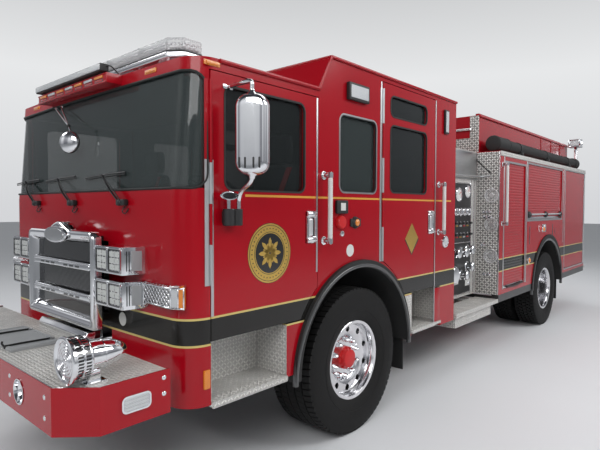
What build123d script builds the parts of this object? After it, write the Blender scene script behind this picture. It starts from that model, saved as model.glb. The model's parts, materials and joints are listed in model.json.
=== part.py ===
from build123d import *
import os
from math import cos, radians, sin, sqrt

"""A custom-cab pumper fire engine, in millimetres.

+X is the vehicle's left side, the front faces -Y, +Z is up. The origin is on the ground,
in the middle of the overall length and width.
"""

os.makedirs("parts", exist_ok=True)

# lengths along the vehicle, in order from the bumper's face to the tailboard's edge
bumper_reach = 617
cab_length = 3294
cab_pump_gap = 30
pump_length = 1176
body_length = 4220
tailboard_depth = 300
overall_length = (bumper_reach + cab_length + cab_pump_gap + pump_length
                  + body_length + tailboard_depth)
cab_front = bumper_reach - overall_length / 2

# axles, tyres and wheels
front_axle_setback = 1615
wheelbase = 4890
front_tyre_diameter = 1124
front_tyre_width = 400
rear_tyre_diameter = 1085
rear_tyre_width = 290
dual_spacing = 335
tyre_face_half_track = 1222
rim_bead_radius = 286
rim_flange_height = 19
rim_wall = 12
front_rim_width = 311
rear_rim_width = 229
hub_radius = 88
drum_radius = 205
hand_hole_radius = 24
hand_hole_count = 10
lug_radius = 15
lug_circle = 143

# cab
cab_width = 2470
cab_wall = 50
cab_bottom = 640
cab_rear_bottom = 600
cab_corner_radius = 150
cab_bow = 25
belt_height = 1800
windshield_rake = 60
low_roof = 2565
raised_roof = 2815
raised_roof_start = 1116
raised_roof_slope = 134
floor_height = 1020
floor_thickness = 40
tunnel_half_width = 560
tunnel_height = 1560
tunnel_start = 480
tunnel_end = 2300
tunnel_wall = 20

# cab openings, as distances behind the cab's front and heights
door_bottom = 990
front_door = (181, 1113)
front_door_top = 2500
rear_door = (1926, 2842)
rear_door_top = 2762
door_thickness = 50
door_gap = 6
window_radius = 55
glass_thickness = 6
glass_fit = 0.3
seat_gap = 0.3
windshield_bottom = 1848
windshield_top = 2488
windshield_wrap = 163
windshield_radius = 85
windshield_inset = 10

# front wheel arch and steps
arch_height = 590
fender_inner = 700
fender_thickness = 55
fender_lip = 27
step_height = 650
step_thickness = 24
step_depth = 285
front_step = (184, 800)
rear_step = (2425, 2985)

# chassis
rail_spread = 860
rail_height = 255
rail_top = 955
rail_flange = 80
rail_wall = 9
extension_top = 865
extension_overlap = 130
axle_beam_height = 90
axle_beam_width = 90
kingpin_spread = 1720
kingpin_radius = 20
kingpin_boss_radius = 42
kingpin_boss_height = 120
pin_fit = 0.3
steering_arm_length = 200
spring_width = 80
spring_leaf = 18
spring_half_length = 700

# front bumper and its deck
bumper_top = 910
bumper_bottom = 682
bumper_chamfer = 158
bumper_plate = 10
bumper_lip = 60
bumper_rear = -80
deck_thickness = 5
deck_height = 900
hatch_half_width = 285
hatch_span = (-520, -235)
hatch_thickness = 16
tray_depth = 170
hatch_hinge_radius = 6
hatch_hinge_gap = 8
hatch_hinge_length = 80
horn_hole_radius = 62
horn_hole_spread = 1360
horn_hole_height = 797
siren_radius = 114
siren_offset = 1090
siren_span = (-561, -246)
siren_clearance = 12

# grille and lamps at the front
grille_half_width = 500
grille_bottom = 1005
grille_top = 1590
grille_crown = 1648
grille_reach = 135
grille_frame = 62
grille_depth = 60
grille_bars = (1183, 1376)
lamp_inner = 518
lamp_outer = 829
lamp_reach = 120
lamp_tiers = (1160, 1372)
lamp_tier_height = 158
turn_lamp_outer = 1212
turn_lamp_reach = 50
turn_lamp_rear = 64

# pump house
pump_half_width = 960
pump_side_bottom = 700
pump_top = 2120
pump_wall = 30
panel_thickness = 6
crosslay_floor = 2010
pump_step_height = 650
pump_step_half_width = 1250
pump_box_inner = 760
pump_box_inset = 45
pump_box_ends = (70, 120)
pump_box_drop = 165
pump_box_plate = 5

# body
body_width = 2500
body_bottom = 700
body_top = 2430
body_wall = 30
compartment_depth = 680
subframe_height = 975
rear_arch_height = 600
rear_fender_inner = 700
rub_rail_height = 90
l1_bay = (150, 920)
l1_heights = (755, 2300)
l2_bay = (1030, 2700)
l2_heights = (1590, 2340)
l3_bay = (2900, 4150)
l3_heights = (765, 2360)
rear_bay_half_width = 480
rear_bay_heights = (1060, 2000)
rear_bay_depth = 560
curtain_thickness = 14
curtain_inset = 12
bay_door_thickness = 40

# on top of the body
bed_half_width = 950
bed_wall = 30
bed_top = 2915
bed_front = 70
suction_radius = 82
suction_cap_radius = 98
suction_offset = 1110
suction_span = (180, 3950)

# derived places
cab_half = cab_width / 2
body_half = body_width / 2
rail_half = rail_spread / 2
kingpin_half = kingpin_spread / 2
cab_rear = cab_front + cab_length
pump_front = cab_rear + cab_pump_gap
body_front = pump_front + pump_length
body_rear = body_front + body_length
tail_rear = body_rear + tailboard_depth
front_axle = cab_front + front_axle_setback
rear_axle = front_axle + wheelbase
front_wheel_height = front_tyre_diameter / 2
rear_wheel_height = rear_tyre_diameter / 2
front_wheel_offset = tyre_face_half_track - front_tyre_width / 2
rear_wheel_offset = tyre_face_half_track - rear_tyre_width / 2
fender_outer = fender_inner + fender_thickness
rear_fender_outer = rear_fender_inner + fender_thickness
floor_bottom = floor_height - floor_thickness
rail_bottom = rail_top - rail_height
tower_inner = body_half - compartment_depth
bumper_half = cab_half
sides = ((1, "left"), (-1, "right"))
hatch_hinge_starts = tuple(hatch_hinge_length * (place - 2.5) for place in range(5))


def behind_cab(distance):
    """Place along the vehicle at a distance behind the cab's front."""
    return cab_front + distance


def cab_face(x, z):
    """Place of the cab's front face at a height, with its bow and rake."""
    bow_radius = (cab_half ** 2 + cab_bow ** 2) / (2 * cab_bow)
    bow = bow_radius - sqrt(bow_radius ** 2 - x ** 2)
    rake = windshield_rake * max(0, z - belt_height) / (low_roof - belt_height)
    return cab_front + bow + rake


def block(x, y, z, mode=Mode.ADD):
    """Box between pairs of limits, in any order, in the part being built."""
    middle = [(pair[0] + pair[1]) / 2 for pair in (x, y, z)]
    with Locations(tuple(middle)):
        Box(abs(x[1] - x[0]), abs(y[1] - y[0]), abs(z[1] - z[0]), mode=mode)


def rod(start, end, radius, mode=Mode.ADD):
    """Round bar from one point to another."""
    run = Vector(*end) - Vector(*start)
    with Locations(Plane(origin=start, z_dir=run)):
        Cylinder(radius, run.length, align=(Align.CENTER, Align.CENTER, Align.MIN), mode=mode)


def side_plate(outline, x, radius=0, mode=Mode.ADD):
    """Plate across X from (y, z) corners, with its corners rounded."""
    low = min(x)
    with BuildSketch(Plane.YZ.offset(low)) as plate_face:
        with BuildLine():
            Polyline(*outline, close=True)
        make_face()
        if radius:
            fillet(plate_face.vertices(), radius)
    extrude(plate_face.sketch, amount=abs(x[1] - x[0]), mode=mode)


def window_outline(y, z):
    """Corners of a rectangle in the side view."""
    return ((y[0], z[0]), (y[1], z[0]), (y[1], z[1]), (y[0], z[1]))


def shrunk(pair, margin):
    """A pair of limits brought in by a margin at both ends."""
    return (pair[0] + margin, pair[1] - margin)


def arch_ring(centre, inner, outer, x):
    """Half ring over a wheel, from one X to another."""
    with BuildSketch(Plane.YZ.offset(min(x))) as ring_face:
        with Locations(centre):
            Circle(outer)
            Circle(inner, mode=Mode.SUBTRACT)
            Rectangle(2.2 * outer, outer, align=(Align.CENTER, Align.MAX), mode=Mode.SUBTRACT)
    extrude(ring_face.sketch, amount=abs(x[1] - x[0]))


def arch_cut(centre, radius, bottom, x):
    """Opening for a wheel: a half disc with straight sides down to the bottom."""
    with BuildSketch(Plane.YZ.offset(min(x))) as arch_face:
        with Locations(centre):
            Circle(radius)
            Rectangle(2 * radius, centre[1] - bottom, align=(Align.CENTER, Align.MAX))
    extrude(arch_face.sketch, amount=abs(x[1] - x[0]), mode=Mode.SUBTRACT)


def turned(profile, side, centre):
    """Solid of revolution about an axle; the profile is (outboard, radius) pairs."""
    plane = Plane(origin=centre, x_dir=(side, 0, 0), z_dir=(0, -side, 0))
    with BuildSketch(plane) as half_section:
        with BuildLine():
            Polyline(*profile, close=True)
        make_face()
    revolve(half_section.sketch, axis=Axis(centre, (1, 0, 0)))


def save(part, name):
    """Label a finished piece and write it."""
    part.label = name
    export_step(part, f"parts/{name}.step")


# the cab's form, used for its outside, its inside and its windshield
def cab_plan(height, inset, setback):
    """Plan outline of the cab at one height: a bowed front with rounded corners."""
    half = cab_half - inset
    front = cab_front + inset + setback
    with BuildSketch(Plane.XY.offset(height)) as plan:
        with BuildLine():
            ThreePointArc((-half, front + cab_bow), (0, front), (half, front + cab_bow))
            Polyline((half, front + cab_bow), (half, cab_rear - inset),
                     (-half, cab_rear - inset), (-half, front + cab_bow))
        make_face()
        corners = plan.vertices().group_by(Axis.Y)[0]
        fillet(corners, cab_corner_radius - inset)
    return plan.sketch


def cab_form(inset, bottom):
    """Closed form of the cab, brought in by the wall where an inset is given."""
    roof = low_roof - inset
    raised = raised_roof - inset
    rear = cab_rear - inset
    half = cab_half - inset
    with BuildPart() as form:
        add(cab_plan(bottom, inset, 0))
        extrude(amount=belt_height - bottom)
        loft([cab_plan(belt_height, inset, 0).face(), cab_plan(roof, inset, windshield_rake).face()])
        slope_foot = behind_cab(raised_roof_start) + inset
        outline = ((slope_foot, roof - 1), (slope_foot + raised_roof_slope, raised),
                   (rear, raised), (rear, roof - 1))
        side_plate(outline, (-half, half))
    return form.part


def front_glass_opening(margin):
    """Opening of the wrap-round windshield, grown or shrunk by a margin."""
    bottom = windshield_bottom - margin
    top = windshield_top + margin
    wrap = behind_cab(windshield_wrap + margin)
    outside = cab_half + 20
    flat_half = cab_half - cab_corner_radius
    ahead = cab_front - 40
    with BuildPart() as opening:
        block((-flat_half, flat_half), (ahead, wrap), (bottom, top))
        for side, name in sides:
            low = min(side * flat_half, side * outside)
            with BuildSketch(Plane.YZ.offset(low)) as side_view:
                with BuildLine():
                    Polyline((ahead, bottom), (wrap, bottom), (wrap, top), (ahead, top), close=True)
                make_face()
                fillet(side_view.vertices().group_by(Axis.Y)[-1], windshield_radius)
            extrude(amount=outside - flat_half)
    return opening.part


front_arch = (front_axle, arch_height)
rear_arch = (rear_axle, rear_arch_height)
arch_rim = 30
rear_fender_lip = 15
flap_thickness = 10
flap_width = 400
front_flap_bottom = 300
rear_flap_bottom = 280
rear_flap_width = 560

# door outlines: span behind the cab's front and top
door_table = (
    ("front", front_door, front_door_top),
    ("rear", rear_door, rear_door_top),
)

# windows: door, span behind the cab's front, heights
window_table = (
    ("front", ((285, 972),), ((1842, 2428),)),
    ("rear", ((2046, 2678), (2046, 2678)), ((1870, 2427), (2497, 2668))),
)
side_window = ((1352, 1838), (1855, 2425))


def cut_door_profile(span, top, margin, x, mode):
    """Door outline in the side view, with the wheel arch taken out of its lower corner."""
    y = (behind_cab(span[0]) + margin, behind_cab(span[1]) - margin)
    side_plate(window_outline(y, (door_bottom + margin, top - margin)), x, 0, mode)


hinge_radius = 8
hinge_leaf = 30
hinge_leaf_thickness = 3
hinge_segments = 5
hinge_bottom = 1310
hinge_fit = 0.3
hinge_margin = 60


def hinge_half(side, half, axis_y, bottom, top, direction, moving):
    """Leaf and barrels of one half of a door hinge; direction is where its leaf lies."""
    axis_x = side * (half + hinge_radius)
    pitch = (top - bottom) / hinge_segments
    near = axis_y + direction * (hinge_radius + 1)
    leaf_x = (side * half, side * (half + hinge_leaf_thickness))
    block(leaf_x, (near, near + direction * hinge_leaf), (bottom, top))
    for index in range(hinge_segments):
        if (index % 2 == 1) != moving:
            continue
        z = (bottom + index * pitch + hinge_fit, bottom + (index + 1) * pitch)
        block(leaf_x, (axis_y, near), z)
        rod((axis_x, axis_y, z[0]), (axis_x, axis_y, z[1]), hinge_radius)


# cab shell: one hollow moulding with its openings cut
with BuildPart() as cab_shell:
    add(cab_form(0, cab_rear_bottom))
    add(cab_form(cab_wall, cab_rear_bottom), mode=Mode.SUBTRACT)
    add(front_glass_opening(0), mode=Mode.SUBTRACT)
    outside = cab_half + 30
    well_inner = cab_half - step_depth
    for side, name in sides:
        wall = (side * (cab_half - cab_wall - 5), side * outside)
        for label, span, top in door_table:
            with BuildPart(mode=Mode.PRIVATE) as door_hole:
                cut_door_profile(span, top, 0, wall, Mode.ADD)
                arch_cut(front_arch, fender_outer + arch_rim, 0, wall)
            add(door_hole.part, mode=Mode.SUBTRACT)
        y, z = side_window
        side_plate(window_outline((behind_cab(y[0]), behind_cab(y[1])), z), wall, window_radius,
                   Mode.SUBTRACT)
        arch_cut(front_arch, fender_outer + seat_gap, cab_rear_bottom - 100, wall)
        for span in (front_step, rear_step):
            block(wall, (behind_cab(span[0]), behind_cab(span[1])),
                  (cab_rear_bottom - 10, door_bottom), Mode.SUBTRACT)
    block((-outside, outside), (cab_front - 50, front_axle), (cab_rear_bottom - 10, cab_bottom),
          Mode.SUBTRACT)
    block((-rail_half - 40, rail_half + 40), (cab_front - 50, cab_rear + 10),
          (cab_rear_bottom - 10, rail_top + 20), Mode.SUBTRACT)
    grille_hole = grille_half_width - grille_frame
    block((-grille_hole, grille_hole), (cab_front - 10, cab_front + cab_wall + cab_bow),
          (grille_bottom + grille_frame, grille_top - grille_frame), Mode.SUBTRACT)
    for side, name in sides:
        for label, span, top in door_table:
            hinge_half(side, cab_half, behind_cab(span[0]), hinge_bottom, top - hinge_margin, -1, False)
save(cab_shell.part, "cab_shell")

# cab doors, each with its windows cut and its half of the hinge
handle_pan = (120, 215)
handle_pan_depth = 22
handle_height = 1610
for side, name in sides:
    face = (side * (cab_half - door_thickness), side * cab_half)
    for (label, span, top), (_, spans, heights) in zip(door_table, window_table):
        with BuildPart() as door:
            cut_door_profile(span, top, door_gap, face, Mode.ADD)
            arch_cut(front_arch, fender_outer + arch_rim + door_gap, 0, face)
            for window_span, window_height in zip(spans, heights):
                y = (behind_cab(window_span[0]), behind_cab(window_span[1]))
                side_plate(window_outline(y, window_height), face, window_radius, Mode.SUBTRACT)
            pan_rear = behind_cab(span[1]) - 2 * door_gap
            pan_x = (side * (cab_half - handle_pan_depth), side * (cab_half + 1))
            pan_y = (pan_rear - handle_pan[0], pan_rear)
            block(pan_x, pan_y, (handle_height - handle_pan[1] / 2, handle_height + handle_pan[1] / 2),
                  Mode.SUBTRACT)
            block((side * (cab_half - handle_pan_depth), side * (cab_half - 4)),
                  (pan_y[0] + 45, pan_y[0] + 75),
                  (handle_height - 80, handle_height + 80))
            hinge_half(side, cab_half, behind_cab(span[0]), hinge_bottom, top - hinge_margin, 1, True)
        save(door.part, f"{label}_door_{name}")

        with BuildPart() as glass:
            middle = side * (cab_half - door_thickness / 2)
            pane = (middle - glass_thickness / 2, middle + glass_thickness / 2)
            for window_span, window_height in zip(spans, heights):
                y = (behind_cab(window_span[0] + glass_fit), behind_cab(window_span[1] - glass_fit))
                side_plate(window_outline(y, shrunk(window_height, glass_fit)), pane, window_radius)
        save(glass.part, f"{label}_door_glass_{name}")

# windshield and the fixed side windows
with BuildPart() as cab_glazing:
    add(cab_form(windshield_inset, belt_height - 10))
    add(cab_form(windshield_inset + glass_thickness, belt_height - 20), mode=Mode.SUBTRACT)
    add(front_glass_opening(-glass_fit), mode=Mode.INTERSECT)
    for side, name in sides:
        middle = side * (cab_half - cab_wall / 2)
        pane = (middle - glass_thickness / 2, middle + glass_thickness / 2)
        y, z = side_window
        y = (behind_cab(y[0] + glass_fit), behind_cab(y[1] - glass_fit))
        side_plate(window_outline(y, shrunk(z, glass_fit)), pane, window_radius)
save(cab_glazing.part, "cab_glazing")

# cab floor: pans front and rear, the engine tunnel between them and a front cross wall
with BuildPart() as cab_floor:
    inside = cab_half - cab_wall - seat_gap
    front_inside = cab_front + cab_corner_radius + cab_bow + seat_gap
    rear_inside = cab_rear - cab_wall - seat_gap
    tunnel_front = behind_cab(tunnel_start)
    tunnel_rear = behind_cab(tunnel_end)
    arch_front = front_axle - fender_outer - seat_gap
    arch_rear = front_axle + fender_outer + seat_gap
    pan = (floor_bottom, floor_height)
    block((-inside, inside), (front_inside, arch_front), pan)
    block((-inside, inside), (arch_rear, rear_inside), pan)
    block((-tunnel_half_width, tunnel_half_width), (arch_front, arch_rear), pan)
    tunnel_x = (-tunnel_half_width, tunnel_half_width)
    block(tunnel_x, (tunnel_front, tunnel_rear), (floor_height - 1, tunnel_height))
    block(shrunk(tunnel_x, tunnel_wall), shrunk((tunnel_front, tunnel_rear), tunnel_wall),
          (floor_bottom - 1, tunnel_height - tunnel_wall), Mode.SUBTRACT)
    mount_places = (arch_front - 80, front_axle, arch_rear + 80, rear_inside - 200)
    for side, name in sides:
        for place in mount_places:
            block((side * (rail_half - rail_flange), side * (tunnel_half_width + 40)),
                  (place - 40, place + 40), (rail_top + seat_gap, floor_bottom + 1))
save(cab_floor.part, "cab_floor")

# wheel liners with their outer lips, and the mud flaps behind them
with BuildPart() as wheel_fenders:
    for side, name in sides:
        arch_ring(front_arch, fender_inner, fender_outer,
                  (side * (tunnel_half_width + seat_gap), side * (cab_half + fender_lip)))
        rear_fender_x = (side * (tower_inner + seat_gap), side * (body_half + rear_fender_lip))
        arch_ring(rear_arch, rear_fender_inner, rear_fender_outer, rear_fender_x)
        for direction in (-1, 1):
            near = rear_axle + direction * rear_fender_inner
            block(rear_fender_x, (near, near + direction * fender_thickness),
                  (body_bottom, rear_arch_height + 1))
    for side, name in sides:
        flap_y = front_axle + fender_outer + seat_gap
        flap_outer = cab_half - cab_wall - 5
        block((side * flap_outer, side * (flap_outer - flap_width)),
              (flap_y, flap_y + flap_thickness), (front_flap_bottom, cab_bottom + 120))
        flap_y = rear_axle + rear_fender_outer + seat_gap
        block((side * (body_half - 72), side * (body_half - 72 - rear_flap_width)),
              (flap_y, flap_y + flap_thickness), (rear_flap_bottom, body_bottom - 2))
save(wheel_fenders.part, "wheel_fenders")

# chassis frame: two channel rails and cross members
with BuildPart() as frame_rails:
    rail_front = cab_front + bumper_rear - 380
    rail_rear = body_rear - 40
    for side, name in sides:
        outer = side * rail_half
        block((outer, outer - side * rail_flange), (rail_front, rail_rear), (rail_bottom, rail_top))
        block((outer - side * rail_wall, outer - side * (rail_flange + 1)),
              (rail_front - 1, rail_rear + 1), (rail_bottom + rail_wall, rail_top - rail_wall),
              Mode.SUBTRACT)
    block((-rail_half - 1, rail_half + 1), (rail_front - 1, cab_front + extension_overlap),
          (extension_top, rail_top + 1), Mode.SUBTRACT)
    cross_half = rail_half - rail_wall
    cross_places = (rail_front + 270, pump_front + 40, rear_axle - 1100, rear_axle + 650,
                    rail_rear - 60)
    for cross_y in cross_places:
        block((-cross_half, cross_half), (cross_y - 30, cross_y + 30),
              (rail_bottom + rail_wall, rail_bottom + rail_wall + 50))
save(frame_rails.part, "frame_rails")

# heavy masses as plain blocks: engine with gearbox, pump, water tank
engine_half = 340
engine_span = (620, 2150)
engine_heights = (715, 1500)
with BuildPart() as engine_block:
    y = (behind_cab(engine_span[0]), behind_cab(engine_span[1]))
    block((-engine_half, engine_half), y, engine_heights)
    for place in (y[0] + 200, y[1] - 200):
        block((-rail_half + rail_wall + seat_gap, rail_half - rail_wall - seat_gap),
              (place - 50, place + 50), (rail_bottom + 70, rail_top - 60))
    fillet(engine_block.edges().filter_by(Axis.Y).group_by(Axis.Z)[-1], 60)
save(engine_block.part, "engine_block")

pump_block_span = (250, 950)
with BuildPart() as driveline:
    y = (pump_front + pump_block_span[0], pump_front + pump_block_span[1])
    block((-engine_half, engine_half), y, (680, 1300))
    for place in (y[0] + 120, y[1] - 120):
        block((-rail_half + rail_wall + seat_gap, rail_half - rail_wall - seat_gap),
              (place - 50, place + 50), (rail_bottom + 70, rail_top - 60))
    pinion = rear_axle - 300 - seat_gap
    pump_rear = pump_front + pump_block_span[1] + seat_gap
    rod((0, pump_rear, 800), (0, pump_rear + 30, 800), 62)
    rod((0, pinion - 30, rear_wheel_height), (0, pinion, rear_wheel_height), 62)
    rod((0, pump_rear + 20, 800), (0, pinion - 20, rear_wheel_height), 45)
    rod((0, behind_cab(engine_span[1]) + seat_gap, 880),
        (0, pump_front + pump_block_span[0] - seat_gap, 880), 45)
save(driveline.part, "driveline")

# axles with their leaf springs
spring_height = front_wheel_height - 40
axle_tube_radius = 68


def leaf_spring(side, centre_y, seat, eye_rise, leaves):
    """Pack of leaves over an axle with hangers up to the rail."""
    middle = side * (rail_half - spring_width / 2)
    x = (middle - spring_width / 2, middle + spring_width / 2)
    for leaf in range(leaves):
        half = spring_half_length * (1 - leaf / (leaves + 1))
        depth = spring_leaf if leaf == leaves - 1 else spring_leaf + 1
        top = seat + spring_leaf * (leaves - leaf)
        rise = eye_rise * (half / spring_half_length) ** 2
        with BuildSketch(Plane.YZ.offset(min(x))) as leaf_face:
            with BuildLine():
                ThreePointArc((centre_y - half, top + rise), (centre_y, top), (centre_y + half, top + rise))
                Line((centre_y + half, top + rise), (centre_y + half, top + rise - depth))
                ThreePointArc((centre_y + half, top + rise - depth), (centre_y, top - depth),
                              (centre_y - half, top + rise - depth))
                Line((centre_y - half, top + rise - depth), (centre_y - half, top + rise))
            make_face()
        extrude(leaf_face.sketch, amount=spring_width)
    for direction in (-1, 1):
        end = centre_y + direction * (spring_half_length - 25)
        eye_height = seat + spring_leaf * leaves + eye_rise - 30
        block(x, (end - 30, end + 30), (eye_height - 40, rail_bottom - seat_gap))


with BuildPart() as axles:
    eye = front_wheel_height
    low = spring_height - axle_beam_height
    width = (front_axle - axle_beam_width / 2, front_axle + axle_beam_width / 2)
    centre_half = rail_half + 60
    block((-centre_half, centre_half), width, (low, spring_height))
    for side, name in sides:
        with BuildSketch(Plane.XZ.offset(-width[1])) as gooseneck:
            with BuildLine():
                Polyline((side * (centre_half - 1), low), (side * (centre_half - 1), spring_height),
                         (side * (kingpin_half - 10), eye + 45),
                         (side * (kingpin_half - 10), eye - 45), close=True)
            make_face()
        extrude(amount=axle_beam_width)
        rod((side * kingpin_half, front_axle, eye - kingpin_boss_height / 2),
            (side * kingpin_half, front_axle, eye + kingpin_boss_height / 2), kingpin_boss_radius)
    for side, name in sides:
        rod((side * kingpin_half, front_axle, eye - kingpin_boss_height),
            (side * kingpin_half, front_axle, eye + kingpin_boss_height),
            kingpin_radius + pin_fit, Mode.SUBTRACT)


    tube_half = rear_wheel_offset - dual_spacing - rear_tyre_width / 2 + 20
    rod((-tube_half, rear_axle, rear_wheel_height), (tube_half, rear_axle, rear_wheel_height),
        axle_tube_radius)
    with Locations((0, rear_axle, rear_wheel_height)):
        Sphere(195)
    rod((0, rear_axle - 300, rear_wheel_height), (0, rear_axle, rear_wheel_height), 85)
    for side, name in sides:
        rod((side * (tube_half - 10), rear_axle, rear_wheel_height),
            (side * (rear_wheel_offset - 20), rear_axle, rear_wheel_height), 48)
        middle = side * (rail_half - spring_width / 2)
        block((middle - spring_width / 2, middle + spring_width / 2),
              (rear_axle - 70, rear_axle + 70),
              (rear_wheel_height, rear_wheel_height + axle_tube_radius + 10))
save(axles.part, "axles")


rear_spring_seat = rear_wheel_height + axle_tube_radius + 10 + seat_gap
with BuildPart() as leaf_springs:
    for side, name in sides:
        leaf_spring(side, front_axle, spring_height + seat_gap, 70, 3)
        leaf_spring(side, rear_axle, rear_spring_seat, 20, 3)
save(leaf_springs.part, "leaf_springs")

# steering knuckles: yoke round the kingpin, spindle outboard, arm to the rear
yoke_arm = 38
arm_thickness = 22
arm_height = front_wheel_height - 92
spindle_radius = 42
web_inner = 48
web_thickness = 32
for side, name in sides:
    with BuildPart() as knuckle:
        x = side * kingpin_half
        top = front_wheel_height + kingpin_boss_height / 2 + pin_fit
        bottom = front_wheel_height - kingpin_boss_height / 2 - pin_fit
        rod((x, front_axle, top), (x, front_axle, top + yoke_arm), kingpin_boss_radius)
        rod((x, front_axle, bottom - yoke_arm), (x, front_axle, bottom), kingpin_boss_radius)
        rod((x, front_axle, bottom - 1), (x, front_axle, top + 1), kingpin_radius)
        web = (x + side * web_inner, x + side * (web_inner + web_thickness))
        block(web, (front_axle - 60, front_axle + 60), (bottom - yoke_arm, top + yoke_arm))
        for z in ((bottom - yoke_arm, bottom), (top, top + yoke_arm)):
            block((x, web[0] + side), (front_axle - 35, front_axle + 35), z)
        rod((web[1] - side, front_axle, front_wheel_height),
            (side * (front_wheel_offset + 95), front_axle, front_wheel_height), spindle_radius)
        arm = (bottom - yoke_arm, bottom - yoke_arm + arm_thickness)
        block((x - 25, x + 25), (front_axle + 30, front_axle + steering_arm_length), arm)
        rod((x, front_axle + steering_arm_length, arm[0]),
            (x, front_axle + steering_arm_length, arm[1]), 28)
        rod((x, front_axle + steering_arm_length, arm[0] - 1),
            (x, front_axle + steering_arm_length, arm[1] + 1), 10 + pin_fit, Mode.SUBTRACT)
    save(knuckle.part, f"knuckle_{name}")

with BuildPart() as tie_rod:
    arm_top = front_wheel_height - kingpin_boss_height / 2 - pin_fit - yoke_arm + arm_thickness
    rod_y = front_axle + steering_arm_length
    for side, name in sides:
        x = side * kingpin_half
        rod((x, rod_y, arm_top - arm_thickness), (x, rod_y, arm_top + 20), 10)
        rod((x, rod_y, arm_top + pin_fit), (x, rod_y, arm_top + 36), 24)
    rod((-kingpin_half, rod_y, arm_top + 20), (kingpin_half, rod_y, arm_top + 20), 15)
save(tie_rod.part, "tie_rod")


# wheels and tyres, as turned profiles of (distance outboard, radius)
def tyre_profile(width, radius):
    """Section of a mounted tyre."""
    bead = rim_bead_radius + seat_gap
    depth = radius - bead
    half = width / 2
    return ((-0.36 * width, bead), (-half, bead + 0.42 * depth), (-half, bead + 0.62 * depth),
            (-0.46 * width, radius - 22), (-0.40 * width, radius), (0.40 * width, radius),
            (0.46 * width, radius - 22), (half, bead + 0.62 * depth), (half, bead + 0.42 * depth),
            (0.36 * width, bead))


def rim_profile(rim_width, disc_place, centre_radius):
    """Section of a disc wheel: barrel, flanges and the disc."""
    half = rim_width / 2
    outer = rim_bead_radius
    inner = outer - rim_wall
    flange = outer + rim_flange_height
    lip = 14
    disc = 14
    return ((-half - lip, flange), (-half, flange), (-half, outer), (half, outer), (half, flange),
            (half + lip, flange), (half + lip, inner), (disc_place + disc, inner),
            (disc_place + 8, centre_radius + 95), (disc_place - 22, centre_radius + 40),
            (disc_place - 22, 0), (disc_place - 22 - disc, 0),
            (disc_place - 22 - disc, centre_radius + 40), (disc_place - 6, centre_radius + 95),
            (disc_place - 6, inner), (-half - lip, inner))


front_disc_place = 95
front_hub_reach = 62
drum_width = 140
for side, name in sides:
    centre = (side * front_wheel_offset, front_axle, front_wheel_height)
    with BuildPart() as tyre:
        turned(tyre_profile(front_tyre_width, front_tyre_diameter / 2), side, centre)
    save(tyre.part, f"front_tyre_{name}")

    with BuildPart() as wheel:
        turned(rim_profile(front_rim_width, front_disc_place, 120), side, centre)
        disc_face = centre[0] + side * (front_disc_place - 22)
        holes = Plane(origin=(centre[0] + side * (front_disc_place - 60), front_axle, front_wheel_height),
                      z_dir=(side, 0, 0))
        with Locations(holes):
            with PolarLocations(232, hand_hole_count):
                Cylinder(hand_hole_radius, 200, align=(Align.CENTER, Align.CENTER, Align.MIN),
                         mode=Mode.SUBTRACT)
        rod((disc_face - side, front_axle, front_wheel_height),
            (disc_face + side * front_hub_reach, front_axle, front_wheel_height), hub_radius)
        nuts = Plane(origin=(disc_face - side, front_axle, front_wheel_height), z_dir=(side, 0, 0))
        with Locations(nuts):
            with PolarLocations(lug_circle, hand_hole_count):
                Cylinder(lug_radius, 32, align=(Align.CENTER, Align.CENTER, Align.MIN))
        back = disc_face - side * 13
        rod((back, front_axle, front_wheel_height),
            (back - side * drum_width, front_axle, front_wheel_height), drum_radius)
        spindle_end = front_wheel_offset + 95 + 6
        rod((side * (front_wheel_offset - 200), front_axle, front_wheel_height),
            (side * spindle_end, front_axle, front_wheel_height), spindle_radius + pin_fit,
            Mode.SUBTRACT)
    save(wheel.part, f"front_wheel_{name}")

rear_disc_place = -60
for side, name in sides:
    outer_x = rear_wheel_offset
    inner_x = rear_wheel_offset - dual_spacing
    with BuildPart() as tyres:
        for x in (outer_x, inner_x):
            turned(tyre_profile(rear_tyre_width, rear_tyre_diameter / 2), side,
                   (side * x, rear_axle, rear_wheel_height))
    save(tyres.part, f"rear_tyres_{name}")

    with BuildPart() as wheels:
        centre = (side * outer_x, rear_axle, rear_wheel_height)
        turned(rim_profile(rear_rim_width, rear_disc_place, 120), side, centre)
        inner_centre = (side * inner_x, rear_axle, rear_wheel_height)
        turned(rim_profile(rear_rim_width, 60 + 44, 120), side, inner_centre)
        disc_face = side * (outer_x + rear_disc_place - 22)
        inner_face = side * (inner_x + 60 + 44 - 22 - 14)
        holes = Plane(origin=(inner_face - side * 60, rear_axle, rear_wheel_height), z_dir=(side, 0, 0))
        with Locations(holes):
            with PolarLocations(232, hand_hole_count):
                Cylinder(hand_hole_radius, 400, align=(Align.CENTER, Align.CENTER, Align.MIN),
                         mode=Mode.SUBTRACT)
        rod((inner_face, rear_axle, rear_wheel_height),
            (disc_face + side * 130, rear_axle, rear_wheel_height), hub_radius + 14)
        nuts = Plane(origin=(disc_face - side, rear_axle, rear_wheel_height), z_dir=(side, 0, 0))
        with Locations(nuts):
            with PolarLocations(lug_circle, hand_hole_count):
                Cylinder(lug_radius, 32, align=(Align.CENTER, Align.CENTER, Align.MIN))
        tube_end = side * (rear_wheel_offset - dual_spacing - rear_tyre_width / 2 + 20)
        rod((inner_face + side, rear_axle, rear_wheel_height),
            (tube_end + side * 12, rear_axle, rear_wheel_height), drum_radius)
        rod((tube_end, rear_axle, rear_wheel_height),
            (side * (rear_wheel_offset - 20 + 6), rear_axle, rear_wheel_height), 48 + pin_fit,
            Mode.SUBTRACT)
    save(wheels.part, f"rear_wheels_{name}")


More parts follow.
